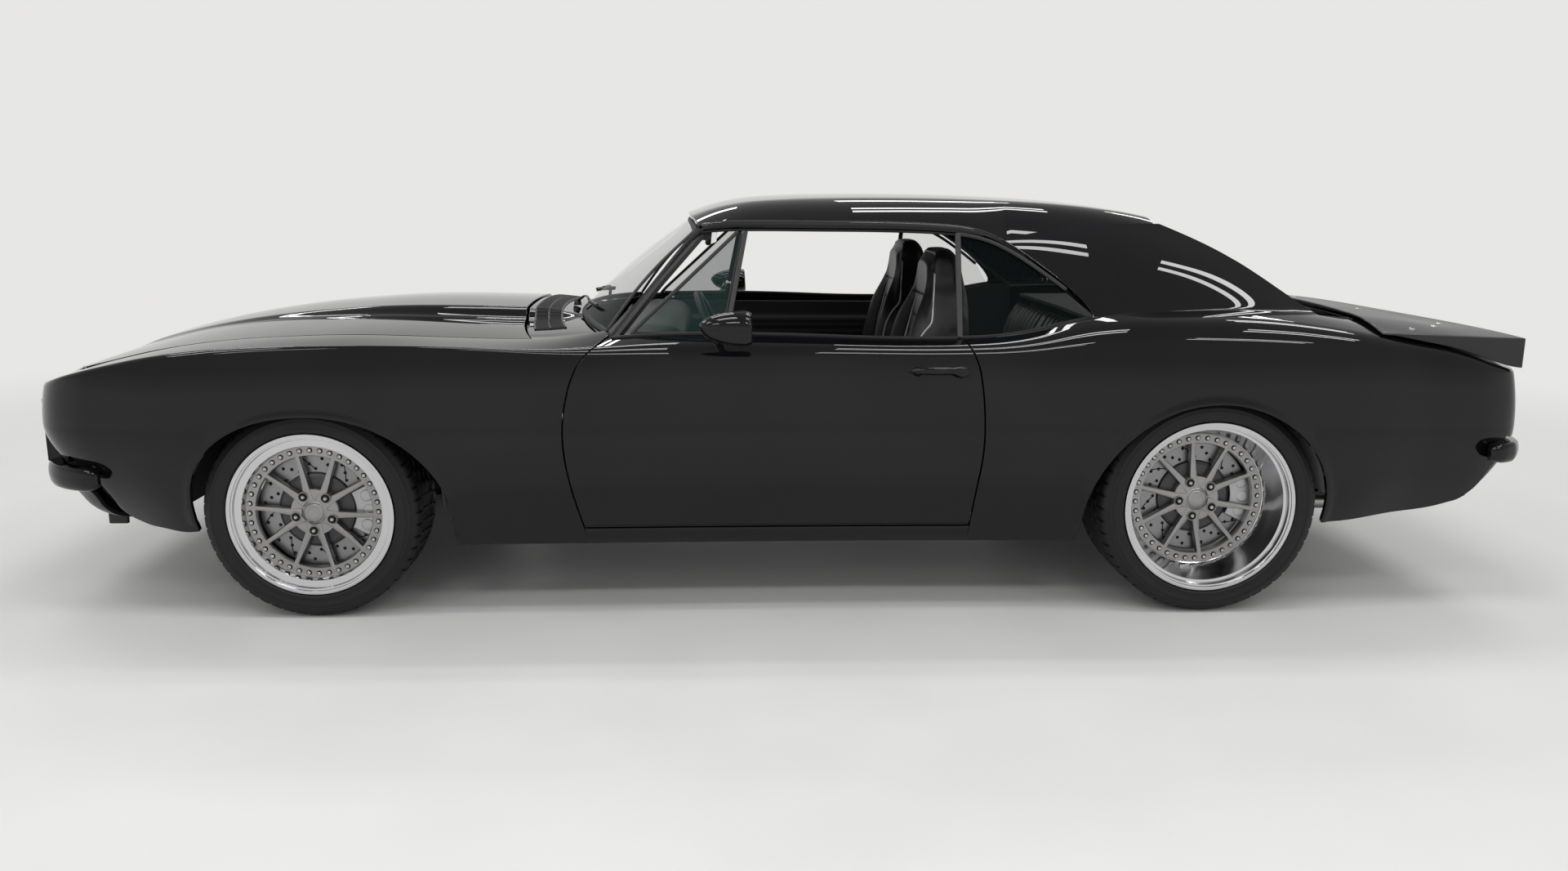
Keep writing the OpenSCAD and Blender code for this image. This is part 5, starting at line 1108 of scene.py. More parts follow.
def round_front(rows_s, fn):
    """Runs fn(path, normals) along one side and back along the other."""
    s, q, nn_ = rows_s
    q2, n2 = q[::-1][1:] * [1, -1, 1], nn_[::-1][1:] * [1, -1, 1]
    return fn(np.concatenate([q, q2]), np.concatenate([nn_, n2]))


def blade(name, s0, s1, count, z, h, d, out, mat, replaces):
    o_ = np.interp(np.linspace(s0, s1, count), *zip(*sorted(out)))
    o_ = np.concatenate([o_, o_[::-1][1:]])[:, None]

    def fn(q, nn_):
        c = q + nn_ * o_ + np.array([0, 0, z])
        ends = np.minimum(np.arange(len(c)), np.arange(len(c))[::-1]) / 7.0
        k = 0.35 + 0.65 * np.sqrt(np.clip(1 - (1 - np.clip(ends, 0, 1)) ** 2, 0, 1))
        prof = [(-1, -1), (0.2, -1), (0.62, -0.86), (0.9, -0.5), (1.0, 0), (0.97, 0.4), (0.8, 0.8), (0.5, 0.97),
                (0.1, 1), (-1, 1)]
        prof = np.array(prof) * [d, h]
        return sweep(c, nn_, (0, 0, 1), prof, np.stack([k, k], 1))
    part = round_front(plan_path(s0, s1, count), fn)
    return build(name, part[0], part[1], mat, "body", angle=50, replaces=replaces)


blade("front_blade", 2045, 3030, 110, 428, 36, 20, [(2045, -20), (3030, -20)], "paint", ["front_bumper"])
blade("rear_blade", -2190, -3100, 110, 508, 32, 22, [(-2190, 20), (-2228, 20), (-2266, 14), (-2290, 2), (-2330, -4),
        (-3100, -4)], "paint", ["rear_bumper"])


def skirt(name, s0, s1, count, rows, replaces):
    rows = np.array(rows, float)
    t = np.linspace(0, len(rows) - 1, 26)
    out = np.interp(t, np.arange(len(rows)), rows[:, 0])
    zz = np.interp(t, np.arange(len(rows)), rows[:, 1])
    for _ in range(8):
        out[1:-1] = (out[:-2] + 2 * out[1:-1] + out[2:]) / 4
        zz[1:-1] = (zz[:-2] + 2 * zz[1:-1] + zz[2:]) / 4

    def fn(q, nn_):
        p_ = q[None] + nn_[None] * out[:, None, None] + np.array([0, 0, 1.0]) * zz[:, None, None]
        n_ = grid_normals(p_)
        n_ *= np.sign(np.sum(n_ * nn_[None]))
        return sheet_part(p_, n_, hem=2.5, depth=12)
    part = round_front(plan_path(s0, s1, count), fn)
    return build(name, part[0], part[1], "valance_black", "body", part[2], replaces=replaces)


skirt("front_skirt", 2126, 3030, 90, [(-34.6, 402), (-72, 370), (-96, 320), (-140, 284), (-190, 266), (-225, 262)],
        ["front_valance"])
skirt("rear_skirt", -2270, -3100, 80, [(-19.6, 485.6), (-44, 440), (-80, 380), (-130, 340), (-170, 322)],
        ["rear_valance"])

# grille: a dark plate of painted shade behind a fine egg-crate mesh, a bright edge and round lamps in bezels
y, z = np.linspace(-690, 690, 60)[None, :], np.linspace(458, 640, 8)[:, None]
p = v3(nose_x(np.abs(y)) - 76 + 0 * z, y + 0 * z, z + 0 * y)
n = grid_normals(p)
n *= np.sign(np.sum(n[..., 0]))
part = sheet_part(p, n, hem=1, depth=4)
build("grille_painted_shade", part[0], part[1], "painted_shade", "body", part[2], replaces=["grille"])
parts = []
for zz in np.linspace(470, 630, 9):
    yy = np.linspace(-684, 684, 70)
    q = v3(nose_x(np.abs(yy)) - 62, yy, zz)
    parts.append(sweep(q, (1, 0, 0), (0, 0, 1), [(-9, -2), (7, -1.6), (9, 0), (7, 1.6), (-9, 2)]))
for yy in np.linspace(-684, 684, 77):
    q = v3(nose_x(abs(yy)) - 63, yy, np.linspace(464, 636, 3))
    parts.append(sweep(q, (1, 0, 0), (0, 1, 0), [(-8, -1.6), (6, -1.2), (6, 1.2), (-8, 1.6)]))
part = join(parts)
build("grille_mesh", part[0], part[1], "trim", "body", angle=30)
# sill and brow of the grille opening
path = [(nose_x(abs(y)) - 50, y, 466) for y in np.linspace(-696, 696, 70)]
q = np.array(path)
part = sweep(q, (1, 0, 0), (0, 0, 1), [(-26, -14), (10, -10), (16, -3), (10, 3), (-26, 3)])
build("grille_sill", part[0], part[1], "paint", "body", angle=40)
y, u = np.linspace(-HEADER, HEADER, 81)[None, :], np.linspace(0, 1, 6)[:, None]
p = v3(nose_x(np.abs(y)) - 8 - 66 * u, y + 0 * u, 642 - 2 * u + 0 * y)
n = grid_normals(p)
n *= -np.sign(np.sum(n[..., 2]))
part = sheet_part(p, n, hem=0.6, depth=3)
build("grille_brow", part[0], part[1], "paint", "body", part[2])
y, z = np.linspace(0, 1, 8)[:, None], np.linspace(458, 650, 20)[None, :]
p = v3(mix(nose_x(702.0) - 2, nose_x(702.0) - 90, y) + 0 * z, 702 - 4 * y + 0 * z, z + 0 * y)
n = grid_normals(p)
n *= -np.sign(np.sum(n[..., 1]))
both_sides("grille_cheek", sheet_part(p, n, hem=0.6, depth=3), "paint", "body")
lamp_at = np.array([float(nose_x(540.0)) - 46, 540.0, 556.0])
lamp_m, _ = facing(lamp_at, (1, 0, 0))
bowl = lathe([(6, -34), (20, -32), (44, -22), (60, -6), (64, 4), (70, 6), (78, 8), (82, 4), (82, -14)], 64)
ringp = lathe([(63, 6), (66, 11), (74, 13), (83, 9), (86, 0), (86, -16)], 64)
lens = lathe([(0, 15), (20, 14.4), (40, 12.6), (56, 9.5), (64, 6)], 64)
both_sides("headlamp_bowl", placed(bowl, lamp_m, lamp_at), "chrome", "body", angle=35)
both_sides("headlamp_bezel", placed(ringp, lamp_m, lamp_at), "trim", "body", angle=35)
both_sides("headlamp_lens", placed(lens, lamp_m, lamp_at), "lens", "body", angle=35)
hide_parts("headlamps")
sig_at = np.array([float(nose_x(430.0)) - 118, 470.0, 352.0])
sig_m, _ = facing(sig_at, (1, 0.1, 0.2))
both_sides("park_lamp", placed(lathe([(0, 10), (16, 9.4), (30, 7), (36, 2), (36, -12)], 48), sig_m, sig_at), "amber",
        "body", angle=35)
both_sides("park_lamp_ring", placed(lathe([(35, 4), (38, 8), (43, 7), (44, 0), (44, -14)], 48), sig_m, sig_at),
        "trim", "body", angle=35)
# the small bracket under the front skirt
both_sides("tow_bracket", rounded_box((2090, 596, 228), (2150, 612, 270), 4), "chassis", "body", angle=35)


def tail_x(y, z):
    return -2338 + 26 * (np.abs(y) / 700) ** 4 + np.clip(z - 720, 0, None) * 0.3


y, z = np.linspace(-684, 684, 111)[None, :], np.linspace(540.5, 764, 40)[:, None]
p = v3(tail_x(y, z), y + 0 * z, z + 0 * y)
n = grid_normals(p)
n *= -np.sign(np.sum(n[..., 0]))
dip = pad(np.abs(y), 350, 612, 12) * pad(z, 612, 712, 12) + pad(np.abs(y), -10, 165, 8) * pad(z, 596, 716, 10)
p = p - n * (3 * dip)[..., None]
n2 = grid_normals(p)
n2 *= -np.sign(np.sum(n2[..., 0]))
part = sheet_part(p, n2, depth=12)
build("tail_skin", part[0], part[1], "paint", "body", part[2], replaces=["tail_panel"])
y, z = np.linspace(362, 598, 61)[:, None], np.linspace(622, 702, 30)[None, :]
cell = 2.2 * np.abs(np.sin((z - 622) / 80 * np.pi * 9)) * (np.abs(((y - 362) / 78.667) % 1 - 0.5) < 0.44)
p = v3(tail_x(y, z) - 4 - cell, y + 0 * z, z + 0 * y)
n = grid_normals(p)
n *= -np.sign(np.sum(n[..., 0]))
both_sides("tail_lamp", sheet_part(p, n, hem=1.5, depth=6), "tail_red", "body")
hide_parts("tail_lamps")
corners = [(358, 618), (602, 618), (602, 706), (358, 706), (358, 618)]
q = resample(np.array([(tail_x(np.float64(a), np.float64(b)) - 5, a, b) for a, b in corners]), 8)
t = unit(np.gradient(q, axis=0))
part = sweep(q, unit(np.cross(t, (1, 0, 0))), (1, 0, 0), ring(8, 4, 4.5, 0.7))
bars = [sweep([(float(tail_x(np.float64(yy), np.float64(620.0))) - 6, yy, zz) for zz in (620, 660, 704)], (0, 1, 0),
        (1, 0, 0), ring(8, 3.2, 4, 0.7)) for yy in (440.6, 519.3)]
both_sides("tail_lamp_bezel", join([part] + bars), "trim", "body", angle=40)
tips = []
for sy in (1, -1):
    cx = np.array([(-900, 235, 208), (-980, 262, 214), (-1080, 330, 262), (-1200, 356, 440), (-1329, 360, 480),
            (-1470, 366, 430),
                   (-1600, 440, 300), (-1760, 446, 262), (-2060, 446, 262), (-2200, 446, 268),
                           (-2262, 446, 272)]) * [1, sy, 1]
    cx = smooth_line(cx, 14, 10)
    tips.append(tube(cx, 26, 16, (0, 1, 0.01)))
part = join(tips)
build("tail_pipes", part[0], part[1], "steel", "body", angle=40)
tip = lathe([(33, -60), (36, -50), (37, 20), (36, 24), (33, 24), (32, 16), (32, -60)], 40)
tm, _ = facing((0, 0, 0), (-1, 0, 0))
part = join([placed(tip, tm, (-2262, 446, 272)), placed(tip, tm, (-2262, -446, 272))])
build("tail_pipe_tips", part[0], part[1], "chrome", "body", angle=35)
muff = [sweep([(x_, sy * 446, 262) for x_ in (-1780, -1790, -1900, -2040, -2050)], (0, 1, 0), (0, 0, 1),
        ring(24, 74, 34, 0.8), [(0.6, 0.6), (1, 1), (1, 1), (1, 1), (0.6, 0.6)]) for sy in (1, -1)]
part = join([(m[0], m[1], None) for m in muff])
build("mufflers", part[0], part[1], "steel", "body", angle=40)

# ---------------------------------------------------------------- wheels, brakes, tyres
LEFT = np.array([(-1, 0, 0), (0, 0, 1), (0, 1, 0)], float)
RIGHT = np.array([(1, 0, 0), (0, 0, -1), (0, 1, 0)], float)


def wheel_place(part, side, axle, lip_y):
    return placed(part, LEFT if side > 0 else RIGHT, (axle[0], side * lip_y, axle[1]))


def lathe_parts(segments, count=96):
    """Turned pieces with hard corners between the segments."""
    return join([lathe(s_, count) for s_ in segments])


def polar(r, a, z):
    return v3(r * np.cos(np.radians(a)), r * np.sin(np.radians(a)), z)


def spoke(a, e, ring_r, face):
    """One leg of a forked spoke: a the fork's angle, e its side."""
    t_ = np.linspace(0, 1, 16)
    r0, r1 = polar(38.0, a + e * 9, -face + 1), polar(ring_r + 4.0, a + e * 18.5, -face - 1)
    path = mix(r0, r1, t_[:, None]) + np.array([0, 0, 1.0]) * (-5 * np.sin(np.pi * t_))[:, None]
    side_v = unit(np.cross((r1 - r0), (0, 0, 1.0)))
    wide = mix(15.5, 7.6, sstep(-0.35, 0.95, t_)) + 5 * (1 - sstep(0, 0.22, t_)) + 3.0 * sstep(0.90, 1.0, t_)
    prof = np.array([(-1, -20), (-1, -6), (-0.80, -1.8), (-0.40, 0), (0.40, 0), (0.80, -1.8), (1, -6), (1, -20)])
    return sweep(path, side_v, (0, 0, 1), prof, np.stack([wide, 1 + 0 * wide], 1))


def rim_parts(w, rim_r, face, ring_r, phase, deep):
    """Returns {material: part} in wheel coordinates, z outboard from the outer lip."""
    out = {}
    ro = ring_r + 13
    lip = [[(rim_r, -13), (rim_r, -3), (rim_r - 1.5, -0.8), (rim_r - 4, 0), (rim_r - 9, 0), (rim_r - 12, -1.4)],
           [(rim_r - 12, -1.4), (rim_r - 13, -7)],
           [(rim_r - 13, -7), (rim_r - 17, -8)]]
    if deep:
        lip += [[(rim_r - 17, -8), (rim_r - 20, -24)], [(rim_r - 20, -24), (rim_r - 28, -25.5)],
                [(rim_r - 28, -25.5), (ro + 20, -face * 0.62), (ro + 9, -face * 0.85), (ro + 3, -face + 4)],
                [(ro + 3, -face + 4), (ro, -face + 2)]]
    else:
        lip += [[(rim_r - 17, -8), (rim_r - 20, -17)], [(rim_r - 20, -17), (ro + 4, -18.5)],
                [(ro + 4, -18.5), (ro, -face + 3)]]
    out["wheel_lip"] = lathe_parts(lip)
    out["wheel_grey"] = join([lathe_parts([[(ro, -face + 3), (ro - 1, -face + 1)], [(ro - 1, -face + 1),
            (ring_r + 4, -face)],
                                           [(ring_r + 4, -face), (ring_r - 16, -face)], [(ring_r - 16, -face),
                                                   (ring_r - 18, -face - 3)],
                                           [(ring_r - 18, -face - 3), (ring_r - 19, -face - 14),
                                                   (ring_r - 12, -face - 24), (ro + 2, -face - 34)],
                                           [(0, -face + 3), (31, -face + 3)], [(31, -face + 3), (33, -face + 1),
                                                   (40, -face - 1), (60, -face - 2)],
                                           [(60, -face - 2), (71, -face - 3), (73, -face - 6)], [(73, -face - 6),
                                                   (74, -face - 24), (60, -face - 30)]])]
                              + [spoke(phase + 72 * k, e, ring_r - 8, face - 2) for k in range(5) for e in (-1, 1)])
    barrel = [(rim_r - 21, -19), (rim_r - 23, -40), (rim_r - 30, -60), (rim_r - 34, -w * 0.5), (rim_r - 30, -w + 50),
              (rim_r - 20, -w + 20), (rim_r - 18, -w + 6)]
    if deep:
        barrel = [(rim_r - 28, -26), (rim_r - 30, -60)] + barrel[3:]
    back = [(rim_r - 18, -w + 6), (rim_r - 6, -w + 1), (rim_r - 1, -w + 3), (rim_r, -w + 12)]
    out["wheel_dark"] = lathe_parts([barrel, back])
    sockets = [placed(lathe([(12.4, 1.5), (13.6, 3.4), (15.4, 3.6), (17, -2)], 28), np.eye(3),
            polar(57.0, phase + 72 * k, -face + 1.2)) for k in range(5)]
    # Dark discs in the lug sockets and dark rings round the ring bolts: painted shade in their holes.
    well_shades = [placed(lathe([(0, 1.6), (13, 1.6)], 28), np.eye(3), polar(57.0, phase + 72 * k,
            -face + 1.2)) for k in range(5)]
    bolts = []
    for k in range(40):
        a = phase + 4.5 + 9 * k
        well_shades.append(placed(lathe([(5.4, 0.5), (8.4, 0.5), (8.8, -0.2)], 14), np.eye(3), polar(ring_r, a, -face)))
        bolts.append(placed(lathe([(0, 4.0), (2.2, 4.0)], 6), np.eye(3), polar(ring_r + 0.0, a, -face)))
        bolts.append(placed(lathe([(2.2, 2.0), (2.2, 5.4), (4.6, 5.4), (5.6, 4.4), (5.6, -1)], 14), np.eye(3),
                polar(ring_r, a, -face)))
    for k in range(5):
        bolts.append(placed(lathe([(0, 12), (4, 11.6), (6.4, 9.4), (7.2, 8), (7.2, -2)], 6), np.eye(3),
                polar(57.0, phase + 72 * k, -face - 1)))
    out["painted_shade"] = join(well_shades)
    out["wheel_grey"] = join([out["wheel_grey"]] + sockets + [lathe_parts([[(0, -face + 7.4), (17, -face + 7)],
            [(17, -face + 7), (18, -face + 8.2), (25, -face + 7.4), (29, -face + 4.4), (30.5, -face + 1)]], 48)])
    out["bolt"] = join(bolts)
    va = phase + 175
    stem = tube([polar(rim_r - 24, va, -face - 6), polar(rim_r - 30, va, -face + 6), polar(rim_r - 33, va,
            -face + 16)], 3.4, 10, (1, 0.2, 0))
    out["rubber"] = stem
    return out


def tyre_part(w, r, rim_r):
    blocks = 52
    n_ang = blocks * 6
    half = w / 2
    zc = -half
    grooves = [-0.62, -0.24, 0.24, 0.62]
    tread = [-0.98]
    for g in grooves:
        tread += [g - 0.045, g - 0.036, g + 0.036, g + 0.045]
    tread = sorted(tread + [0.98, -0.8, 0.8, -0.43, 0.43, 0.0])
    tread = np.array(tread)
    low = np.array([any(abs(t_ - g) < 0.04 for g in grooves) for t_ in tread])
    crown = r - 1.2 * tread ** 2 * 2.2
    y_t = zc + tread * (half - 22)
    side_prof = [(rim_r - 15, -19), (rim_r + 0.6, -12), (rim_r + 3, -2.4), (rim_r + 7, 1.2), (rim_r + 11, 1.2),
            (rim_r + 13, 0.2), (rim_r + 26, 2.2),
                 (rim_r + 34, 3), (r - 42, 2.4), (r - 34, 1.2), (r - 33, 2.2), (r - 27, 1.2), (r - 26, -0.4),
                         (r - 14, -7), (r - 6, -14)]
    pr = side_prof + [(c, yy) for c, yy in zip(crown[::-1], y_t[::-1])] + [(a, -w - b) for a, b in side_prof[::-1]]
    pr = np.array(pr)
    m = len(pr)
    ns = len(side_prof)
    ang = []
    pitch = 360.0 / blocks
    for k in range(blocks):
        ang += [(k + q) * pitch for q in (0, 0.015, 0.40, 0.80, 0.815, 0.985)]
    ang = np.radians(ang)
    slot = np.tile([0, 0, 0, 0, 1, 1], blocks)
    rad = np.tile(pr[:, 0], (n_ang, 1))
    tr = np.arange(ns, ns + len(tread))
    is_low = low[::-1]
    rad[:, tr] -= 7.0 * is_low[None, :]
    shoulder_rows = np.abs(tread[::-1]) > 0.7
    mid_rows = (np.abs(tread[::-1]) < 0.6) & ~is_low
    rad[:, tr] -= 6.0 * (slot[:, None] * (shoulder_rows & ~is_low)[None, :])
    rad[:, tr] -= 5.0 * (np.roll(slot, 3)[:, None] * mid_rows[None, :])
    for q in (ns - 1, ns + len(tread)):
        rad[:, q] -= 3.0 * slot
    twist = np.radians(1.6) * np.sin(np.clip((pr[:, 1] - zc) / half, -1, 1) * np.pi / 2)
    a = ang[:, None] + twist[None, :]
    p = v3(rad * np.cos(a), rad * np.sin(a), pr[None, :, 1] + 0 * a)
    return p.reshape(-1, 3), quads(n_ang, m, closed_i=True), None


def disc_parts(face):
    """Drilled and slotted brake disc with its hat, its holes and slots drawn as dark discs of painted shade; local to
    the wheel.
    """
    z0 = -face - 70 + 32
    d = lathe_parts([[(118, z0), (176, z0)], [(176, z0), (178, z0 - 2), (178, z0 - 10)], [(178, z0 - 10),
            (170, z0 - 10)],
                     [(170, z0 - 22), (178, z0 - 22)], [(178, z0 - 22), (178, z0 - 30), (176, z0 - 32),
                             (118, z0 - 32)]], 96)
    hat = lathe_parts([[(36, z0 + 12), (106, z0 + 12)], [(106, z0 + 12), (114, z0 + 8), (118, z0), (118, z0 - 2)]],
            64)
    # Dark discs and strips laid on the disc face: painted shade of the drilled holes and slots.
    drill_shades = []
    for k in range(48):
        rr = (128, 144, 160)[k % 3]
        drill_shades.append(placed(lathe([(0, 0.25), (5.0, 0.25), (5.4, 0)], 12), np.eye(3), polar(rr, k * 7.5, z0)))
    for k in range(8):
        a = k * 45 + np.linspace(0, 16, 10)
        c = polar(np.linspace(124, 170, 10), a, z0 + 0.1)
        t, aa, bb = frames(c, (0, 0, 1))
        drill_shades.append(sweep(c, aa, bb, [(-1.6, -0.2), (-1.6, 0.25), (1.6, 0.25), (1.6, -0.2)]))
    return {"disc": d, "wheel_dark": hat, "painted_shade": join(drill_shades)}


def calliper_part(face):
    """Six-piston fixed calliper behind the axle, with its bridge, pads and bolts; local to the wheel (x is rearwards)."""
    z0 = -face - 70
    body = []
    ang = np.linspace(-27, 27, 28)
    outer = []
    for z_a, z_b, rr in ((z0 + 34.5, z0 + 46.5, 0), (z0 - 20, z0 - 5, 0)):
        prof = [(118, z_a), (118, z_b - 3), (121, z_b), (196, z_b), (203, z_b - 4), (205, z_a)]
        p = np.array([[(r_ * math.cos(math.radians(a_)), r_ * math.sin(math.radians(a_)), z_) for r_,
                z_ in prof] for a_ in ang])
        body.append((p.reshape(-1, 3), quads(28, 6, closed_j=True).tolist() + [[k for k in range(6)],
                [27 * 6 + k for k in range(6)][::-1]], None))
    prof = [(184, z0 - 18), (184, z0 + 45), (203, z0 + 43), (206, z0 + 30), (206, z0 - 6), (203, z0 - 17)]
    for a0, a1 in ((-27, -16), (-5, 5), (16, 27)):
        an = np.linspace(a0, a1, 8)
        p = np.array([[(r_ * math.cos(math.radians(a_)), r_ * math.sin(math.radians(a_)), z_) for r_,
                z_ in prof] for a_ in an])
        body.append((p.reshape(-1, 3), quads(8, 6, closed_j=True).tolist() + [[k for k in range(6)],
                [7 * 6 + k for k in range(6)][::-1]], None))
    for a_ in (-17, 0, 17):
        body.append(placed(lathe([(0, 3.2), (13, 3), (18, 1.6), (20, -2)], 28), np.eye(3), polar(158, a_, z0 + 46)))
    for a_ in (-23.5, -9, 9, 23.5):
        body.append(placed(lathe([(0, 4), (4.6, 4), (5, 3.4), (5, -1)], 6), np.eye(3), polar(190, a_, z0 + 46.4)))
    pads = []
    for z_a, z_b in ((z0 + 33, z0 + 38), (z0 - 5, z0 - 0.6)):
        prof = [(122, z_a), (122, z_b), (176, z_b), (176, z_a)]
        an = np.linspace(-20, 20, 12)
        p = np.array([[(r_ * math.cos(math.radians(a_)), r_ * math.sin(math.radians(a_)), z_) for r_,
                z_ in prof] for a_ in an])
        pads.append((p.reshape(-1, 3), quads(12, 4, closed_j=True).tolist() + [[0, 1, 2, 3], [44 + 3, 44 + 2, 44 + 1,
                44]], None))
    return join(body), join(pads)


def fix_normals(ob):
    b = bmesh.new()
    b.from_mesh(ob.data)
    bmesh.ops.recalc_face_normals(b, faces=b.faces)
    b.to_mesh(ob.data)
    b.free()


# a row per axle: its (x, z), y of the rim lip, depth of the spokes behind it, tyre width and radius, rim radius,
# radius of the bolted ring, and the angle the spokes stand at
for end, axle, lip_y, face, w_, r_, rim_r, ring_r, phase in (
        ("front", FRONT_AXLE, 880.0, 40.0, 245.0, 324.0, 250.0, 193.0, 50.0),
        ("rear", REAR_AXLE, 891.0, 118.0, 295.0, 340.0, 268.0, 197.0, 43.0)):
    rim = rim_parts(w_, rim_r, face, ring_r, phase, end == "rear")
    disc = disc_parts(face)
    rubber = tyre_part(w_, r_, rim_r)
    cal, pads = calliper_part(face)
    for side, word in ((1, "left"), (-1, "right")):
        body = f"wheel_{end}_{word}"
        for m_, part in rim.items():
            q = wheel_place(part, side, axle, lip_y)
            ob = build(f"{'valve_stem' if m_ == 'rubber' else 'rim_' + m_}_{end}_{word}", q[0], q[1], m_, body,
                    angle=32)
            fix_normals(ob)
            ob.data.set_sharp_from_angle(angle=math.radians(32))
            if m_ == "wheel_grey":
                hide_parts(f"rim_{end}_{word}")
        for m_, part in disc.items():
            q = wheel_place(part, side, axle, lip_y)
            ob = build(f"brake_{m_}_{end}_{word}", q[0], q[1], m_, body, angle=32)
        q = wheel_place(rubber, side, axle, lip_y)
        build(f"tyre_{end}_{word}_tread", q[0], q[1], "tyre", body, angle=38, replaces=[f"tyre_{end}_{word}"])
        hold = f"knuckle_{word}" if end == "front" else "body"
        turn = np.eye(3) if side > 0 else np.diag([-1.0, -1.0, 1.0])
        for nm, part, m_ in (("calliper", cal, "calliper"), ("brake_pads", pads, "chassis")):
            part = placed(part, turn)
            q = wheel_place(part, side, axle, lip_y)
            ob = build(f"{nm}_{end}_{word}", q[0], q[1], m_, hold, angle=32)
            fix_normals(ob)
            if nm == "calliper":
                apply_mods(ob, ("BEVEL", {"width": 0.0018, "segments": 2, "limit_method": "ANGLE",
                        "angle_limit": math.radians(40)}))
                ob.data.polygons.foreach_set("use_smooth", [True] * len(ob.data.polygons))
                ob.data.set_sharp_from_angle(angle=math.radians(40))

# ---------------------------------------------------------------- seats
def remesh(ob, size):
    return apply_mods(ob, ("REMESH", {"mode": "VOXEL", "voxel_size": size}))


def inflate(ob, pressure=4.0, frames_=20, cap=0.012):
    """Swells a closed mesh by cloth simulation, each point by at most cap."""
    scene = bpy.context.scene
    before = np.zeros(len(ob.data.vertices) * 3)
    ob.data.vertices.foreach_get("co", before)
    before = before.reshape(-1, 3)
    m = ob.modifiers.new("cloth", "CLOTH")
    st = m.settings
    st.use_pressure = True
    st.uniform_pressure_force = pressure
    st.effector_weights.gravity = 0
    st.quality = 5
    st.tension_stiffness = st.compression_stiffness = 8
    st.shear_stiffness = 5
    st.bending_stiffness = 0.6
    m.point_cache.frame_start, m.point_cache.frame_end = 1, frames_
    scene.frame_start, scene.frame_end = 1, frames_
    for f_ in range(1, frames_ + 1):
        scene.frame_set(f_)
    dg = bpy.context.evaluated_depsgraph_get()
    ev = ob.evaluated_get(dg).to_mesh()
    after = np.zeros(len(ev.vertices) * 3)
    ev.vertices.foreach_get("co", after)
    after = after.reshape(-1, 3)
    ob.modifiers.clear()
    scene.frame_set(1)
    d = after - before
    ln = np.linalg.norm(d, axis=1, keepdims=True)
    d = d * np.minimum(1, cap / np.maximum(ln, 1e-9))
    ob.data.vertices.foreach_set("co", (before + d).ravel())
    ob.data.update()


def surface(ob):
    me = ob.data
    v = np.zeros(len(me.vertices) * 3)
    me.vertices.foreach_get("co", v)
    n = np.zeros(len(me.vertices) * 3)
    me.vertices.foreach_get("normal", n)
    return v.reshape(-1, 3) / MM, n.reshape(-1, 3)


def dent(ob, depth_at):
    """Moves each point inwards by depth_at(points in mm)."""
    v, n = surface(ob)
    v = v - n * depth_at(v, n)[:, None]
    ob.data.vertices.foreach_set("co", (v * MM).ravel())
    ob.data.update()


# padding: cloth pressure and frames, how full a cushion counts, voxel sizes and the most a surface may swell (m)
SWELL_PRESSURE, SWELL_FRAMES, SEAT_FILL = 4.0, 20, 0.6
BUCKET_VOXEL, BENCH_VOXEL, SWELL_CAP = 0.0075, 0.011, 0.014


def pad_object(name, loops, voxel, cap, dents, body, replaces=(), keep=0.5):
    """A padded form from closed loops (millimetres): remeshed, swollen by the cloth simulation, then its seams sunk."""
    n_, m_ = loops.shape[:2]
    f_ = quads(n_, m_, closed_j=True).tolist() + [list(range(m_))[::-1], [(n_ - 1) * m_ + k for k in range(m_)]]
    ob = build(name, loops.reshape(-1, 3), f_, "leather", body, replaces=replaces)
    fix_normals(ob)
    remesh(ob, voxel)
    inflate(ob, SWELL_PRESSURE, SWELL_FRAMES, cap)
    apply_mods(ob, ("SMOOTH", {"factor": 0.5, "iterations": 4}), ("SUBSURF", {"levels": 1, "render_levels": 1}))
    dent(ob, dents)
    if keep < 1:
        apply_mods(ob, ("DECIMATE", {"ratio": keep}))
    ob.data.polygons.foreach_set("use_smooth", [True] * len(ob.data.polygons))
    return ob


def cushion_loops(y0, rows, n_=56):
    """Sections across the car at stations along X: rows of x, bottom z, top z at the middle, bolster height, half width."""
    out = []
    rows = np.array(rows, float)
    for x_, zb, zt, bol, hw in rows:
        a = np.linspace(-1, 1, n_ // 2)
        top = [(hw * q, zt + bol * (sstep(0.52, 0.80, abs(q)) - 1.0 * sstep(0.86, 1.0, abs(q)) * 0.55)) for q in a]
        bot = [(hw * q * 0.97, zb) for q in a[::-1]]
        out.append([(x_, y0 + yy, zz) for yy, zz in top + bot])
    return np.array(out)


def back_loops(y0, rows, n_=56):
    """Sections at heights: rows of z, front x at the middle, rear x, bolster depth, half width."""
    out = []
    for z_, xf, xr, bol, hw in np.array(rows, float):
        a = np.linspace(-1, 1, n_ // 2)
        front = [(xf + bol * (sstep(0.50, 0.80, abs(q)) - 0.5 * sstep(0.86, 1.0, abs(q))), hw * q) for q in a]
        back = [(xr + 26 * abs(q) ** 4, hw * q * 0.97) for q in a[::-1]]
        out.append([(xx, y0 + yy, z_ + (xf - xx) * 0.12) for xx, yy in front + back])
    return np.array(out)


def dense(rows, step=14):
    rows = np.array(rows, float)
    t = np.arange(rows[0, 0], rows[-1, 0] + 0.1, step if rows[-1, 0] > rows[0, 0] else -step)
    t = np.append(t, rows[-1, 0]) if abs(t[-1] - rows[-1, 0]) > 1 else t
    r = rows if rows[-1, 0] > rows[0, 0] else rows[::-1]
    q = np.stack([t] + [Curve([(a, b) for a, b in zip(r[:, 0], r[:, k])], 1, 12)(t) for k in range(1, rows.shape[1])],
            1)
    return q


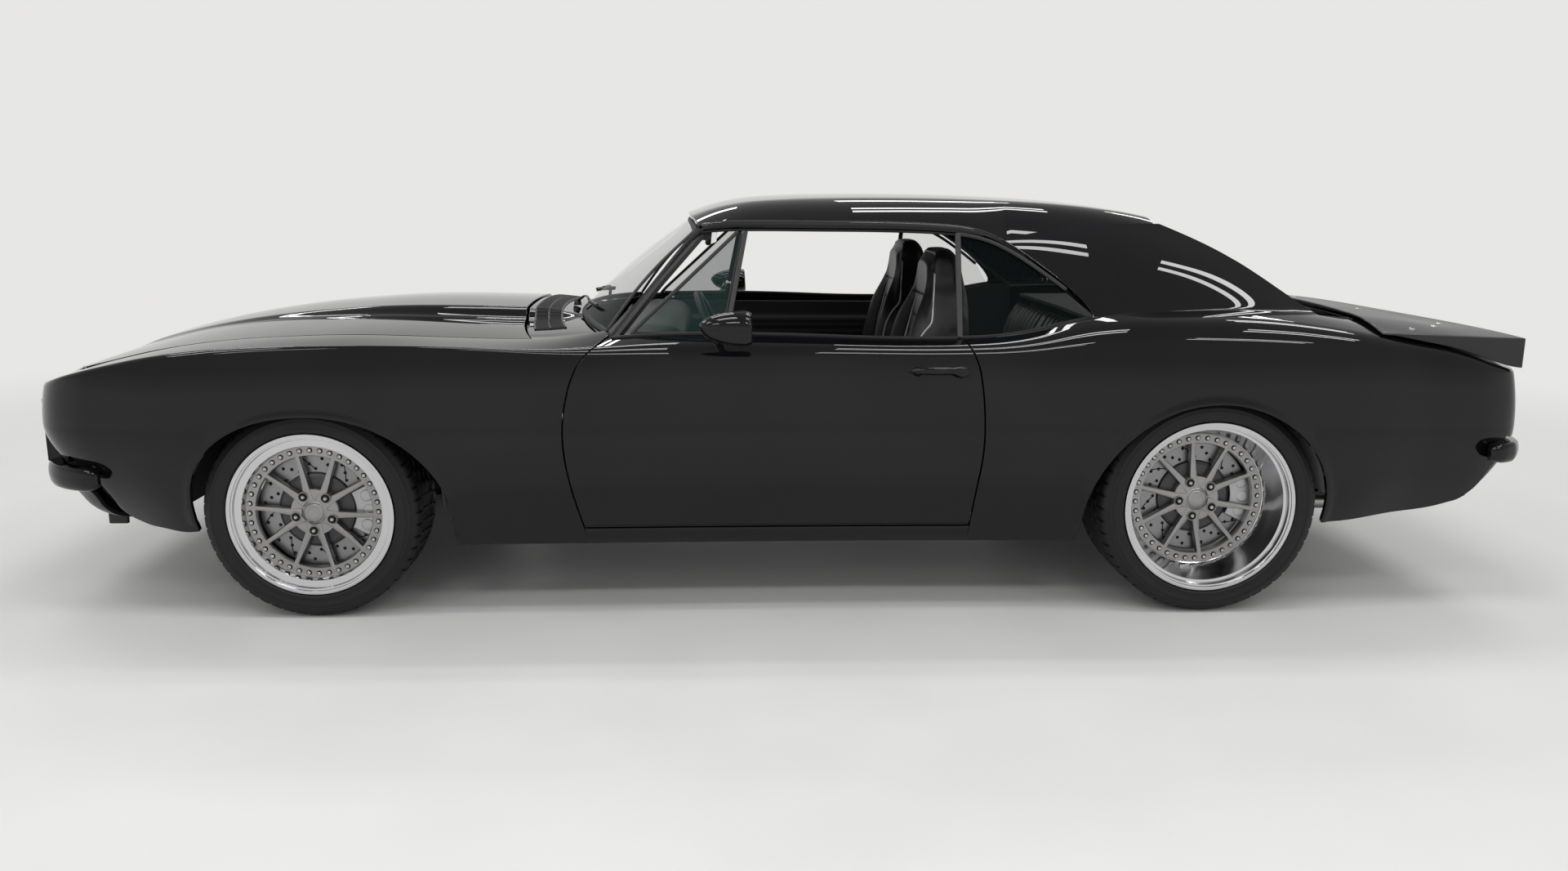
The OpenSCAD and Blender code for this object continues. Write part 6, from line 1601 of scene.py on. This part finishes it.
SEAT_Y = 382.0
cush_rows = dense([(-430, 306, 402, 20, 236), (-360, 304, 408, 66, 240), (-240, 302, 414, 74, 241), (-60, 302, 426,
        68, 241),
                   (30, 304, 436, 46, 240), (80, 310, 430, 22, 236), (102, 330, 408, 8, 228)])
back_rows = dense([(380, -440, -560, 12, 228), (470, -424, -600, 56, 240), (600, -448, -604, 74, 241),
        (740, -472, -612, 74, 238),
                   (860, -488, -618, 54, 228), (950, -500, -612, 24, 200), (1010, -504, -600, 6, 166),
                           (1070, -503, -588, 0, 146),
                   (1104, -506, -574, 0, 132), (1118, -516, -562, 0, 112)])


def seam(d, w_=5.0, depth=5.0):
    return depth * np.exp(-(d / w_) ** 2)


def cushion_dents(v, n):
    y = np.abs(v[:, 1] - SEAT_Y)
    up = sstep(0.2, 0.7, n[:, 2])
    out = seam(y - 142 + 0.03 * (v[:, 0] + 200)) * up
    inside = sstep(146, 138, y) * up
    for x_ in np.arange(-330, 60, 55):
        out = np.maximum(out, seam(v[:, 0] - x_, 5, 4.2) * inside)
    out = np.maximum(out, seam(v[:, 2] - 372, 4, 3.0) * sstep(0.9, 0.5, n[:, 2]))
    return out


def back_dents(v, n):
    y = np.abs(v[:, 1] - SEAT_Y)
    face = sstep(0.2, 0.7, n[:, 0])
    wide = np.interp(v[:, 2], [400, 800, 900, 960], [140, 136, 118, 90])
    out = seam(y - wide) * face * sstep(975, 940, v[:, 2])
    inside = sstep(wide + 4, wide - 4, y) * face * sstep(930, 900, v[:, 2])
    for z_ in np.arange(470, 930, 58):
        out = np.maximum(out, seam(v[:, 2] - z_, 5, 4.2) * inside)
    out = np.maximum(out, seam(v[:, 2] - 952, 5, 5) * face * sstep(130, 96, y))
    return out


def piping(name, ob, starts, direction, body, r_=3.0):
    """A piping laid on the padded surface: each start is sent along direction until it meets the piece."""
    bvh = BVHTree.FromObject(ob, bpy.context.evaluated_depsgraph_get())
    pts = []
    for s_, d_ in zip(starts, np.broadcast_to(direction, (len(starts), 3))):
        hit = bvh.ray_cast(Vector(np.array(s_) * MM), Vector(d_))
        if hit[0] is not None:
            pts.append(np.array(hit[0]) / MM + np.array(hit[1]) * 0.6)
    q = smooth_line(pts, 9, 4)
    part = tube(q, r_, 8, (0.3, 0.4, 1))
    return build(name, part[0], part[1], "piping", body, angle=60)


cushion = pad_object("bucket_cushion_left", cushion_loops(SEAT_Y, cush_rows), BUCKET_VOXEL, SWELL_CAP, cushion_dents,
        "body",
                     replaces=["bucket_seat_left"], keep=0.22)
back = pad_object("bucket_back_left", back_loops(SEAT_Y, back_rows), BUCKET_VOXEL, SWELL_CAP, back_dents, "body",
        keep=0.22)
pip = []
for sgn in (1, -1):
    yy = SEAT_Y + sgn * (142 - 0.03 * (np.linspace(-380, 84, 40) + 200))
    pip.append(piping(f"piping_cushion_{'a' if sgn > 0 else 'b'}", cushion, v3(np.linspace(-380, 84, 40), yy, 700.0),
            (0, 0, -1), "body"))
    zz = np.linspace(440, 950, 44)
    yy = SEAT_Y + sgn * np.interp(zz, [400, 800, 900, 960], [140, 136, 118, 90])
    pip.append(piping(f"piping_back_{'a' if sgn > 0 else 'b'}", back, v3(0 * zz + 100, yy, zz), (-1, 0, 0), "body"))
edge_z = np.concatenate([np.linspace(430, 1090, 50), np.linspace(1096, 1096, 16), np.linspace(1090, 430, 50)])
edge_y = np.concatenate([Curve([(r[0], r[4]) for r in back_rows], 1, 0)(np.linspace(430, 1090, 50)) - 7,
                         np.linspace(108, -108, 16), -Curve([(r[0], r[4]) for r in back_rows], 1, 0)(np.linspace(1090,
                                 430, 50)) + 7])
pip.append(piping("piping_back_edge", back, v3(0 * edge_z + 150, SEAT_Y + edge_y, edge_z), (-1, 0, 0), "body", 3.2))
for ob in [cushion, back] + pip:
    v_, n_ = surface(ob)
    f_ = [list(q.vertices) for q in ob.data.polygons]
    name = ob.name.replace("_left", "_right") if "_left" in ob.name else ob.name + "_right"
    tw = build(name, v_ - np.array([0, 2 * SEAT_Y, 0]), f_, "piping" if "piping" in name else "leather", "body",
               replaces=["bucket_seat_right"] if name == "bucket_cushion_right" else ())
for sgn, word in ((1, "left"), (-1, "right")):
    parts = [rounded_box((-400, sgn * SEAT_Y + e * 175 - 16, 247), (60, sgn * SEAT_Y + e * 175 + 16, 306),
            5) for e in (-1, 1)]
    build(f"seat_rails_{word}", *join(parts)[:2], "chassis", "body", angle=35)

bench_rows = dense([(-905, 345, 430, 8, 530), (-860, 338, 446, 14, 538), (-760, 336, 462, 16, 540), (-660, 336, 468,
        14, 540), (-618, 350, 458, 8, 532)])
bback_rows = dense([(452, -900, -950, 6, 524), (560, -934, -990, 12, 534), (700, -972, -1026, 12, 534),
        (800, -1000, -1052, 8, 528), (866, -1022, -1062, 2, 512)])


def bench_dents(v, n):
    y = np.abs(v[:, 1])
    face = sstep(0.2, 0.7, np.maximum(n[:, 2], n[:, 0]))
    out = np.maximum(seam(y - 42, 6, 9), seam(y - 470, 6, 5)) * face
    ins = sstep(466, 458, y) * sstep(48, 56, y) * face
    for y_ in np.arange(96, 460, 52):
        out = np.maximum(out, seam(y - y_, 6, 4.5) * ins)
    return out


pad_object("bench_cushion", cushion_loops(0, bench_rows), BENCH_VOXEL, SWELL_CAP, bench_dents, "body",
        replaces=["rear_bench"], keep=0.25)
pad_object("bench_back", back_loops(0, bback_rows), BENCH_VOXEL, SWELL_CAP, bench_dents, "body", keep=0.25)
x, y = np.linspace(-1764, -1056, 40)[:, None], np.linspace(-1, 1, 50)[None, :]
p = v3(x + 0 * y, y * mix(600, 566, (x + 1764) / 708), 884 + 2 * np.cos(y * 3) - 6 * sstep(-1700, -1764, x))
n = grid_normals(p)
n *= np.sign(np.sum(n[..., 2]))
part = sheet_part(p, n, hem=4, depth=12)
build("parcel_shelf", part[0], part[1], "carpet", "body", part[2])
# inner side trim of the rear cabin
x, z = np.linspace(-1040, -640, 40)[:, None], np.linspace(0, 1, 30)[None, :]
p = v3(x + 0 * z, mix(700, 752, z) - 20 * sstep(-900, -1040, x), mix(336, top_z(x, SILL_Y) - 8, z))
n = grid_normals(p)
n *= -np.sign(np.sum(n[..., 1]))
both_sides("rear_side_trim", sheet_part(p, n, hem=3, depth=10), "leather", "body")

# ---------------------------------------------------------------- dash, wheel, console
y, t_ = np.linspace(-700, 700, 141)[None, :], np.linspace(0, 1, 60)[:, None]
prof = np.array([(566, 824), (520, 836), (470, 842), (420, 843), (372, 838), (340, 824), (322, 800), (318, 776),
        (326, 740), (336, 700), (352, 660), (380, 626), (440, 606), (540, 600)])
dp = np.concatenate([[0], np.cumsum(np.hypot(*np.diff(prof, axis=0).T))])
dp /= dp[-1]
px_, pz_ = np.interp(t_, dp, prof[:, 0]), np.interp(t_, dp, prof[:, 1])
for _ in range(3):
    px_[1:-1] = (px_[:-2] + 2 * px_[1:-1] + px_[2:]) / 4
    pz_[1:-1] = (pz_[:-2] + 2 * pz_[1:-1] + pz_[2:]) / 4
hood_b = pad(y, 210, 556, 60) * sstep(0.55, 0.36, t_) * sstep(0.02, 0.2, t_)
recess = pad(y, 232, 534, 14) * pad(t_, 0.475, 0.60, 0.02) + 0.7 * pad(y, -118, 118, 10) * pad(t_, 0.50, 0.74,
        0.02) + 0.35 * pad(y, -600, -240, 14) * pad(t_, 0.52, 0.72, 0.02)
p = v3(px_ - 24 * hood_b + 20 * recess, y + 0 * t_, pz_ + 20 * hood_b)
n = grid_normals(p)
n *= np.sign(np.sum(n[:20, :, 2]))
part = sheet_part(p, n, hem=2, depth=10)
build("dash_pad", part[0], part[1], "plastic", "body", part[2], replaces=["dashboard"])
dials = []
for yy, rr in ((312, 52), (454, 52), (383, 30), (250, 26), (516, 26)):
    m_, at_ = facing((334, yy, 770 if rr > 40 else 762), (-1, 0, 0.28))
    dials.append((placed(lathe([(0, 0), (rr - 4, 0)], 40), m_, at_), placed(lathe([(rr - 5, 1), (rr - 4, 6), (rr, 7),
            (rr + 2, 0)], 40), m_, at_)))
    marks = [placed(rounded_box((rr - 13, -0.9, 0.3), (rr - 8, 0.9, 1.1), 0.3, 1),
            m_ @ np.array([(math.cos(b), -math.sin(b), 0), (math.sin(b), math.cos(b), 0), (0, 0, 1)]), at_)
             for b in np.radians(np.arange(-50, 231, 20))]
    needle = placed(rounded_box((-6, -1, 1), (rr - 14, 1, 2), 0.3, 1), m_ @ np.array([(math.cos(3.6), -math.sin(3.6),
            0), (math.sin(3.6), math.cos(3.6), 0), (0, 0, 1)]), at_)
    dials.append((join(marks + [needle]), None))
build("dial_faces", *join([d[0] for d in dials if d[1] is not None])[:2], "dial", "body", angle=40)
build("dial_rings", *join([d[1] for d in dials if d[1] is not None])[:2], "chrome", "body", angle=40)
build("dial_marks", *join([d[0] for d in dials if d[1] is None])[:2], "piping", "body", angle=40)
tilt = math.radians(24)
wm = np.stack([(math.sin(tilt), 0, math.cos(tilt)), (0, 1, 0), (-math.cos(tilt), 0, math.sin(tilt))], 1)
wc = np.array([196.0, SEAT_Y, 800.0])
a = np.linspace(0, 2 * np.pi, 120, endpoint=False)
b = np.linspace(0, 2 * np.pi, 16, endpoint=False)
rr = 13.2 + 0.8 * np.cos(a * 24)[:, None] ** 8
p = v3((164 + rr * np.cos(b)) * np.cos(a)[:, None], (164 + rr * np.cos(b)) * np.sin(a)[:, None],
        rr * np.sin(b) + 0 * a[:, None])
grip = placed((p.reshape(-1, 3), quads(120, 16, True, True), None), wm, wc)
build("wheel_rim_grip", grip[0], grip[1], "leather", "body", angle=60, replaces=["steering_wheel"])
parts = []
for k in (180, 300, 60):
    k = math.radians(k)
    r_ = np.linspace(34, 158, 12)
    c = v3(r_ * math.cos(k), r_ * math.sin(k), -10 + 8 * (r_ / 158) ** 2)
    w_s = np.linspace(17, 12, 12)
    parts.append(sweep(c, (-math.sin(k), math.cos(k), 0), (0, 0, 1), ring(12, 1, 2.4, 0.5),
            np.stack([w_s, 0 * w_s + 1], 1)))
q = placed(join(parts), wm, wc)
build("wheel_spokes", q[0], q[1], "steel", "body", angle=40)
q = placed(join([lathe([(0, 12), (24, 11), (36, 6), (40, -2), (40, -26), (34, -34), (30, -40), (24, -60), (24, -140)],
        48)]), wm, wc)
build("wheel_hub", q[0], q[1], "plastic", "body", angle=40)
# console over the tunnel with a shift lever, pedals, inner mirror, sun visors
x, t_ = np.linspace(-560, 420, 80)[:, None], np.linspace(0, 1, 30)[None, :]
ang = np.pi * t_
w_c = 112 + 0 * x
hgt = np.interp(x, [-560, -480, -260, -60, 120, 300, 420], [470, 480, 478, 452, 450, 520, 600])
p = v3(x + 0 * ang, w_c * np.sign(np.cos(ang)) * np.abs(np.cos(ang)) ** 0.35, mix(392.0, hgt,
        np.abs(np.sin(ang)) ** 0.35))
tray = pad(x, -40, 90, 14) * sstep(0.6, 0.85, np.sin(ang)) * 16
p = p - v3(0, 0, tray)
n = grid_normals(p)
n *= np.sign(np.sum(n[:, 8:22, 2]))
part = sheet_part(p, n, hem=3, depth=8, sides="ab")
build("console", part[0], part[1], "plastic", "body", part[2])
lev = smooth_line([(40, 0, 440), (52, 0, 520), (30, 0, 600)], 8, 3)
q = join([tube(lev, 6, 12, (0, 1, 0)), placed(lathe([(0, 26), (12, 24), (21, 14), (23, 0), (17, -14), (8, -22)], 32),
        np.eye(3), (28, 0, 612))])
build("shift_lever", q[0], q[1], "chrome", "body", angle=40)
q = placed(lathe([(8, 40), (22, 26), (34, 10), (44, 2), (46, 0)], 32), np.eye(3), (42, 0, 448))
build("shift_boot", q[0], q[1], "leather", "body", angle=50)
ped = []
for yy, ww in ((300, 26), (382, 32), (470, 34)):
    ped.append(rounded_box((588, yy - ww, 330), (600, yy + ww, 404), 4))
    ped.append(tube(smooth_line([(600, yy, 390), (640, yy, 520), (690, yy, 600)], 16, 2), 6, 10, (0, 1, 0)))
build("pedals", *join(ped)[:2], "rubber", "body", angle=40)
m_, at_ = facing((218, 0, 1128), (-1, 0.08, -0.1))
q = join([placed(rounded_box((-112, -28, -16), (112, 28, 4), 10, 3), m_, at_),
        tube(smooth_line([(228, 0, 1132), (250, 0, 1160), (262, 0, 1188)], 8, 2), 6, 10, (0, 1, 0))])
build("inner_mirror", q[0], q[1], "trim", "body", angle=40)
q = placed(rounded_box((-104, -22, 4.2), (104, 22, 5.2), 0.4, 1), m_, at_)
build("inner_mirror_glass", q[0], q[1], "mirror_glass", "body", angle=40)
for sgn, word in ((1, "left"), (-1, "right")):
    y = np.linspace(sgn * 120, sgn * 500, 30)[None, :]
    q = []
    for dz in (0, 14):
        q.append(v3(np.linspace(236, 110, 10)[:, None] + 0 * y, y + 0 * np.zeros((10, 1)),
                roof_z(np.linspace(236, 110, 10)[:, None], y) - 42 - dz))
    loop = np.concatenate([q[0], q[1][::-1]], 0)
    ob = build(f"sun_visor_{word}", loop.reshape(-1, 3),
            quads(20, 30, closed_i=True).tolist() + [[i * 30 for i in range(20)],
            [i * 30 + 29 for i in range(20)][::-1]], "headliner", "body")
    fix_normals(ob)
    apply_mods(ob, ("BEVEL", {"width": 0.004, "segments": 2, "limit_method": "ANGLE"}))

# ---------------------------------------------------------------- wipers and door mirrors
parts, blades = [], []
for y0 in (60.0, -480.0):
    xa = glass_foot(abs(y0))[0] + 30
    za = float(cowl_point(np.float64(y0), np.float64(0.35))[2]) + 6
    hub = placed(lathe([(0, 16), (7, 15), (11, 10), (13, 2), (14, -8)], 28), np.eye(3), (xa, y0, za))
    ends_ = []
    for k in np.linspace(0.06, 1, 14):
        yy = y0 + 420 * k
        u_ = 0.045 + 0.05 * k
        w_ = yy / mix(719, 577.6, u_)
        q_ = screen_point(np.float64(u_), np.float64(w_))
        ends_.append(q_ + np.array([6, 0, 16.0]))
    ends_ = np.array(ends_)
    armp = np.concatenate([[(xa, y0, za + 9)], [ends_[2] + np.array([10, -10, 8])], [ends_[7] + np.array([2, 0, 6])]])
    armp = smooth_line(armp, 10, 6)
    t, aa, bb = frames(armp, (0, 0, 1))
    k_ = np.linspace(1.3, 0.7, len(armp))
    parts += [hub, sweep(armp, aa, bb, ring(8, 5, 3, 0.6), np.stack([k_, k_], 1))]
    bl = smooth_line(ends_[1:], 10, 2)
    t, aa, bb = frames(bl, (0, 0, 1))
    parts.append(sweep(bl, aa, bb, [(-4, 0), (4, 0), (3, 5), (-3, 5)]))
    blades.append(sweep(bl, aa, bb, [(-2.5, 0), (-0.6, -9), (0.6, -9), (2.5, 0)]))
build("wiper_arms", *join(parts)[:2], "trim", "body", angle=35, replaces=["wipers"])
build("wiper_blades", *join(blades)[:2], "rubber", "body", angle=35)
prof = np.array([(96, 30), (91, 38), (91, 43), (96, 47), (108, 49.5), (126, 50), (148, 48.5), (170, 45), (192, 39.5),
        (212, 32), (228, 23), (238, 13), (241, 4), (241.4, 0.5)])
hd = []
for x_, r_ in prof:
    hd.append([(x_ + 2.5 * math.sin(b_), 985 - 0.05 * (x_ - 110) + r_ * math.cos(b_),
            902 + r_ * 1.02 * math.sin(b_)) for b_ in np.linspace(0, 2 * np.pi, 44, endpoint=False)])
hd = np.array(hd)
part = (hd.reshape(-1, 3), quads(len(hd), 44, closed_j=True).tolist() + [[(len(hd) - 1) * 44 + k for k in range(44)]],
        None)
both_sides("mirror_shell", part, "paint", "door_{}", ["mirror_{}"], angle=60)
face_ = placed(lathe([(0, 0), (37, 0), (40, -1)], 48), np.diag([1.0, 1.0, 1.0]), (0, 0, 0))
fv = face_[0] * [1.0, 1.02, 1.0]
both_sides("mirror_face", (np.stack([97.0 - fv[:, 2], 985.7 + fv[:, 0], 902 + fv[:, 1]], 1), face_[1], None),
        "mirror_glass", "door_{}", angle=40)
foot_z = float(top_z(np.float64(190.0), np.float64(826.0)))
st = smooth_line([(188, 834, foot_z - 2), (186, 846, foot_z + 22), (178, 890, foot_z + 46), (168, 948, 892)], 6, 4)
t, aa, bb = frames(st, (1, 0, 0))
k_ = np.interp(np.linspace(0, 1, len(st)), [0, 0.2, 0.6, 1], [1.7, 1.0, 0.85, 1.2])
stalk = sweep(st, aa, bb, ring(16, 9, 13, 0.8), np.stack([k_, k_], 1))
both_sides("mirror_stalk", stalk, "paint", "door_{}", angle=50)

# ---------------------------------------------------------------- stage, light, camera
world = bpy.data.worlds.new("studio")
bpy.context.scene.world = world
world.use_nodes = True
wn = world.node_tree
bg = wn.nodes["Background"]
tc = wn.nodes.new("ShaderNodeTexCoord")
sep = wn.nodes.new("ShaderNodeSeparateXYZ")
rmp = wn.nodes.new("ShaderNodeValToRGB")
wn.links.new(tc.outputs["Generated"], sep.inputs[0])
mr = wn.nodes.new("ShaderNodeMapRange")
mr.inputs["From Min"].default_value, mr.inputs["From Max"].default_value = -1, 1
wn.links.new(sep.outputs["Z"], mr.inputs["Value"])
wn.links.new(mr.outputs["Result"], rmp.inputs["Fac"])
cr = rmp.color_ramp
cr.elements[0].position, cr.elements[0].color = 0.0, (0.6, 0.6, 0.6, 1)
cr.elements[1].position, cr.elements[1].color = 1.0, (0.34, 0.34, 0.345, 1)
for pos, c in ((0.30, 0.62), (0.40, 0.80), (0.60, 0.80), (0.70, 0.50)):
    e = cr.elements.new(pos)
    e.color = (c, c * 0.995, c * 0.985, 1)
wn.links.new(rmp.outputs["Color"], bg.inputs["Color"])
bg.inputs["Strength"].default_value = 1.0

bm = bmesh.new()
bmesh.ops.create_circle(bm, cap_ends=True, segments=96, radius=60)
fm = bpy.data.meshes.new("floor")
bm.to_mesh(fm)
bm.free()
floor = bpy.data.objects.new("floor", fm)
bpy.context.scene.collection.objects.link(floor)
# far from the car the floor fades into the background, over these radii (m) and to this colour
BLEND_FROM, BLEND_TO, FAR_FLOOR = 2.2, 7.0, (0.80, 0.796, 0.788)
fmat = node_mat("floor_paint", "black_trim", (0.66, 0.66, 0.655), 0.45, 0, 0.015, 3, 0.0, rough_vary=0.05)
fm.materials.append(fmat)
ft = fmat.node_tree
fout, fbs = ft.nodes["Material Output"], ft.nodes["Principled BSDF"]
path = ft.nodes.new("ShaderNodeLightPath")
seen = path.outputs["Is Camera Ray"]
for other in ("Is Glossy Ray", "Is Transmission Ray"):
    add = ft.nodes.new("ShaderNodeMath")
    add.use_clamp = True
    ft.links.new(seen, add.inputs[0])
    ft.links.new(path.outputs[other], add.inputs[1])
    seen = add.outputs[0]
fco = ft.nodes.new("ShaderNodeTexCoord")
far = ft.nodes.new("ShaderNodeVectorMath")
far.operation = "LENGTH"
ft.links.new(fco.outputs["Object"], far.inputs[0])
ease = ft.nodes.new("ShaderNodeMapRange")
ease.interpolation_type = "SMOOTHSTEP"
ease.inputs["From Min"].default_value, ease.inputs["From Max"].default_value = BLEND_FROM, BLEND_TO
ft.links.new(far.outputs["Value"], ease.inputs["Value"])
both = ft.nodes.new("ShaderNodeMath")
both.operation = "MULTIPLY"
ft.links.new(seen, both.inputs[0])
ft.links.new(ease.outputs["Result"], both.inputs[1])
glow = ft.nodes.new("ShaderNodeEmission")
glow.inputs["Color"].default_value = (*FAR_FLOOR, 1)
glow.inputs["Strength"].default_value = 1.0
blend_ = ft.nodes.new("ShaderNodeMixShader")
ft.links.new(both.outputs[0], blend_.inputs[0])
ft.links.new(fbs.outputs["BSDF"], blend_.inputs[1])
ft.links.new(glow.outputs["Emission"], blend_.inputs[2])
ft.links.new(blend_.outputs["Shader"], fout.inputs["Surface"])


def strip_light(name, loc, size, watts, target=(0, 0, 0.6)):
    d = bpy.data.lights.new(name, "AREA")
    d.shape, d.size, d.size_y, d.energy = "RECTANGLE", size[0], size[1], watts
    o = bpy.data.objects.new(name, d)
    o.location = loc
    o.rotation_euler = (Vector(target) - Vector(loc)).to_track_quat("-Z", "Y").to_euler()
    bpy.context.scene.collection.objects.link(o)
    return o


# pairs of ceiling tubes in four rows, then two broad soft lamps that stay out of the reflections
TUBE_HEIGHT, TUBE_SIZE, TUBE_WATTS, TUBE_APART = 3.5, (1.25, 0.15), 9.5, 0.17
for k, yy in enumerate((-2.7, -0.6, 1.5, 3.6)):
    for j, xx in enumerate((-3.3, -1.1, 1.1, 3.3)):
        for q in (-TUBE_APART, TUBE_APART):
            o = strip_light(f"tube_{k}_{j}_{'a' if q < 0 else 'b'}", (xx, yy + q, TUBE_HEIGHT), TUBE_SIZE, TUBE_WATTS)
            o.rotation_euler = (0, 0, 0)
for nm, loc, size, w_ in (("fill_side", (0.5, 7.5, 3.0), (6, 2.4), 60), ("fill_back", (-1.0, -7.5, 3.2), (6, 2.0),
        40)):
    o = strip_light(nm, loc, size, w_, (0, 0, 0.5))
    o.visible_glossy = False

# the photo's camera, as fitted to the floor tiles and the wheels (radians, metres, millimetres of lens and sensor)
CAMERA_AT, LENS_MM, SENSOR_MM = (0.1446, 4.4453, 1.2835), 27.70, 36.0
yaw, pitch, roll = 0.0428, 0.1979, 0.0069
fwd = np.array([-math.sin(yaw) * math.cos(pitch), -math.cos(yaw) * math.cos(pitch), -math.sin(pitch)])
right = np.array([-math.cos(yaw), math.sin(yaw), 0.0])
level_up = np.cross(right, fwd)
cam_right = right * math.cos(roll) + level_up * math.sin(roll)
cam_up = -right * math.sin(roll) + level_up * math.cos(roll)
cam_d = bpy.data.cameras.new("camera")
cam_d.lens, cam_d.sensor_width = LENS_MM, SENSOR_MM
cam = bpy.data.objects.new("camera", cam_d)
bpy.context.scene.collection.objects.link(cam)
m4 = np.eye(4)
m4[:3, 0], m4[:3, 1], m4[:3, 2], m4[:3, 3] = cam_right, cam_up, -fwd, CAMERA_AT
cam.matrix_world = Matrix(m4.tolist())
bpy.context.scene.camera = cam
bpy.context.scene.view_settings.view_transform = "Standard"
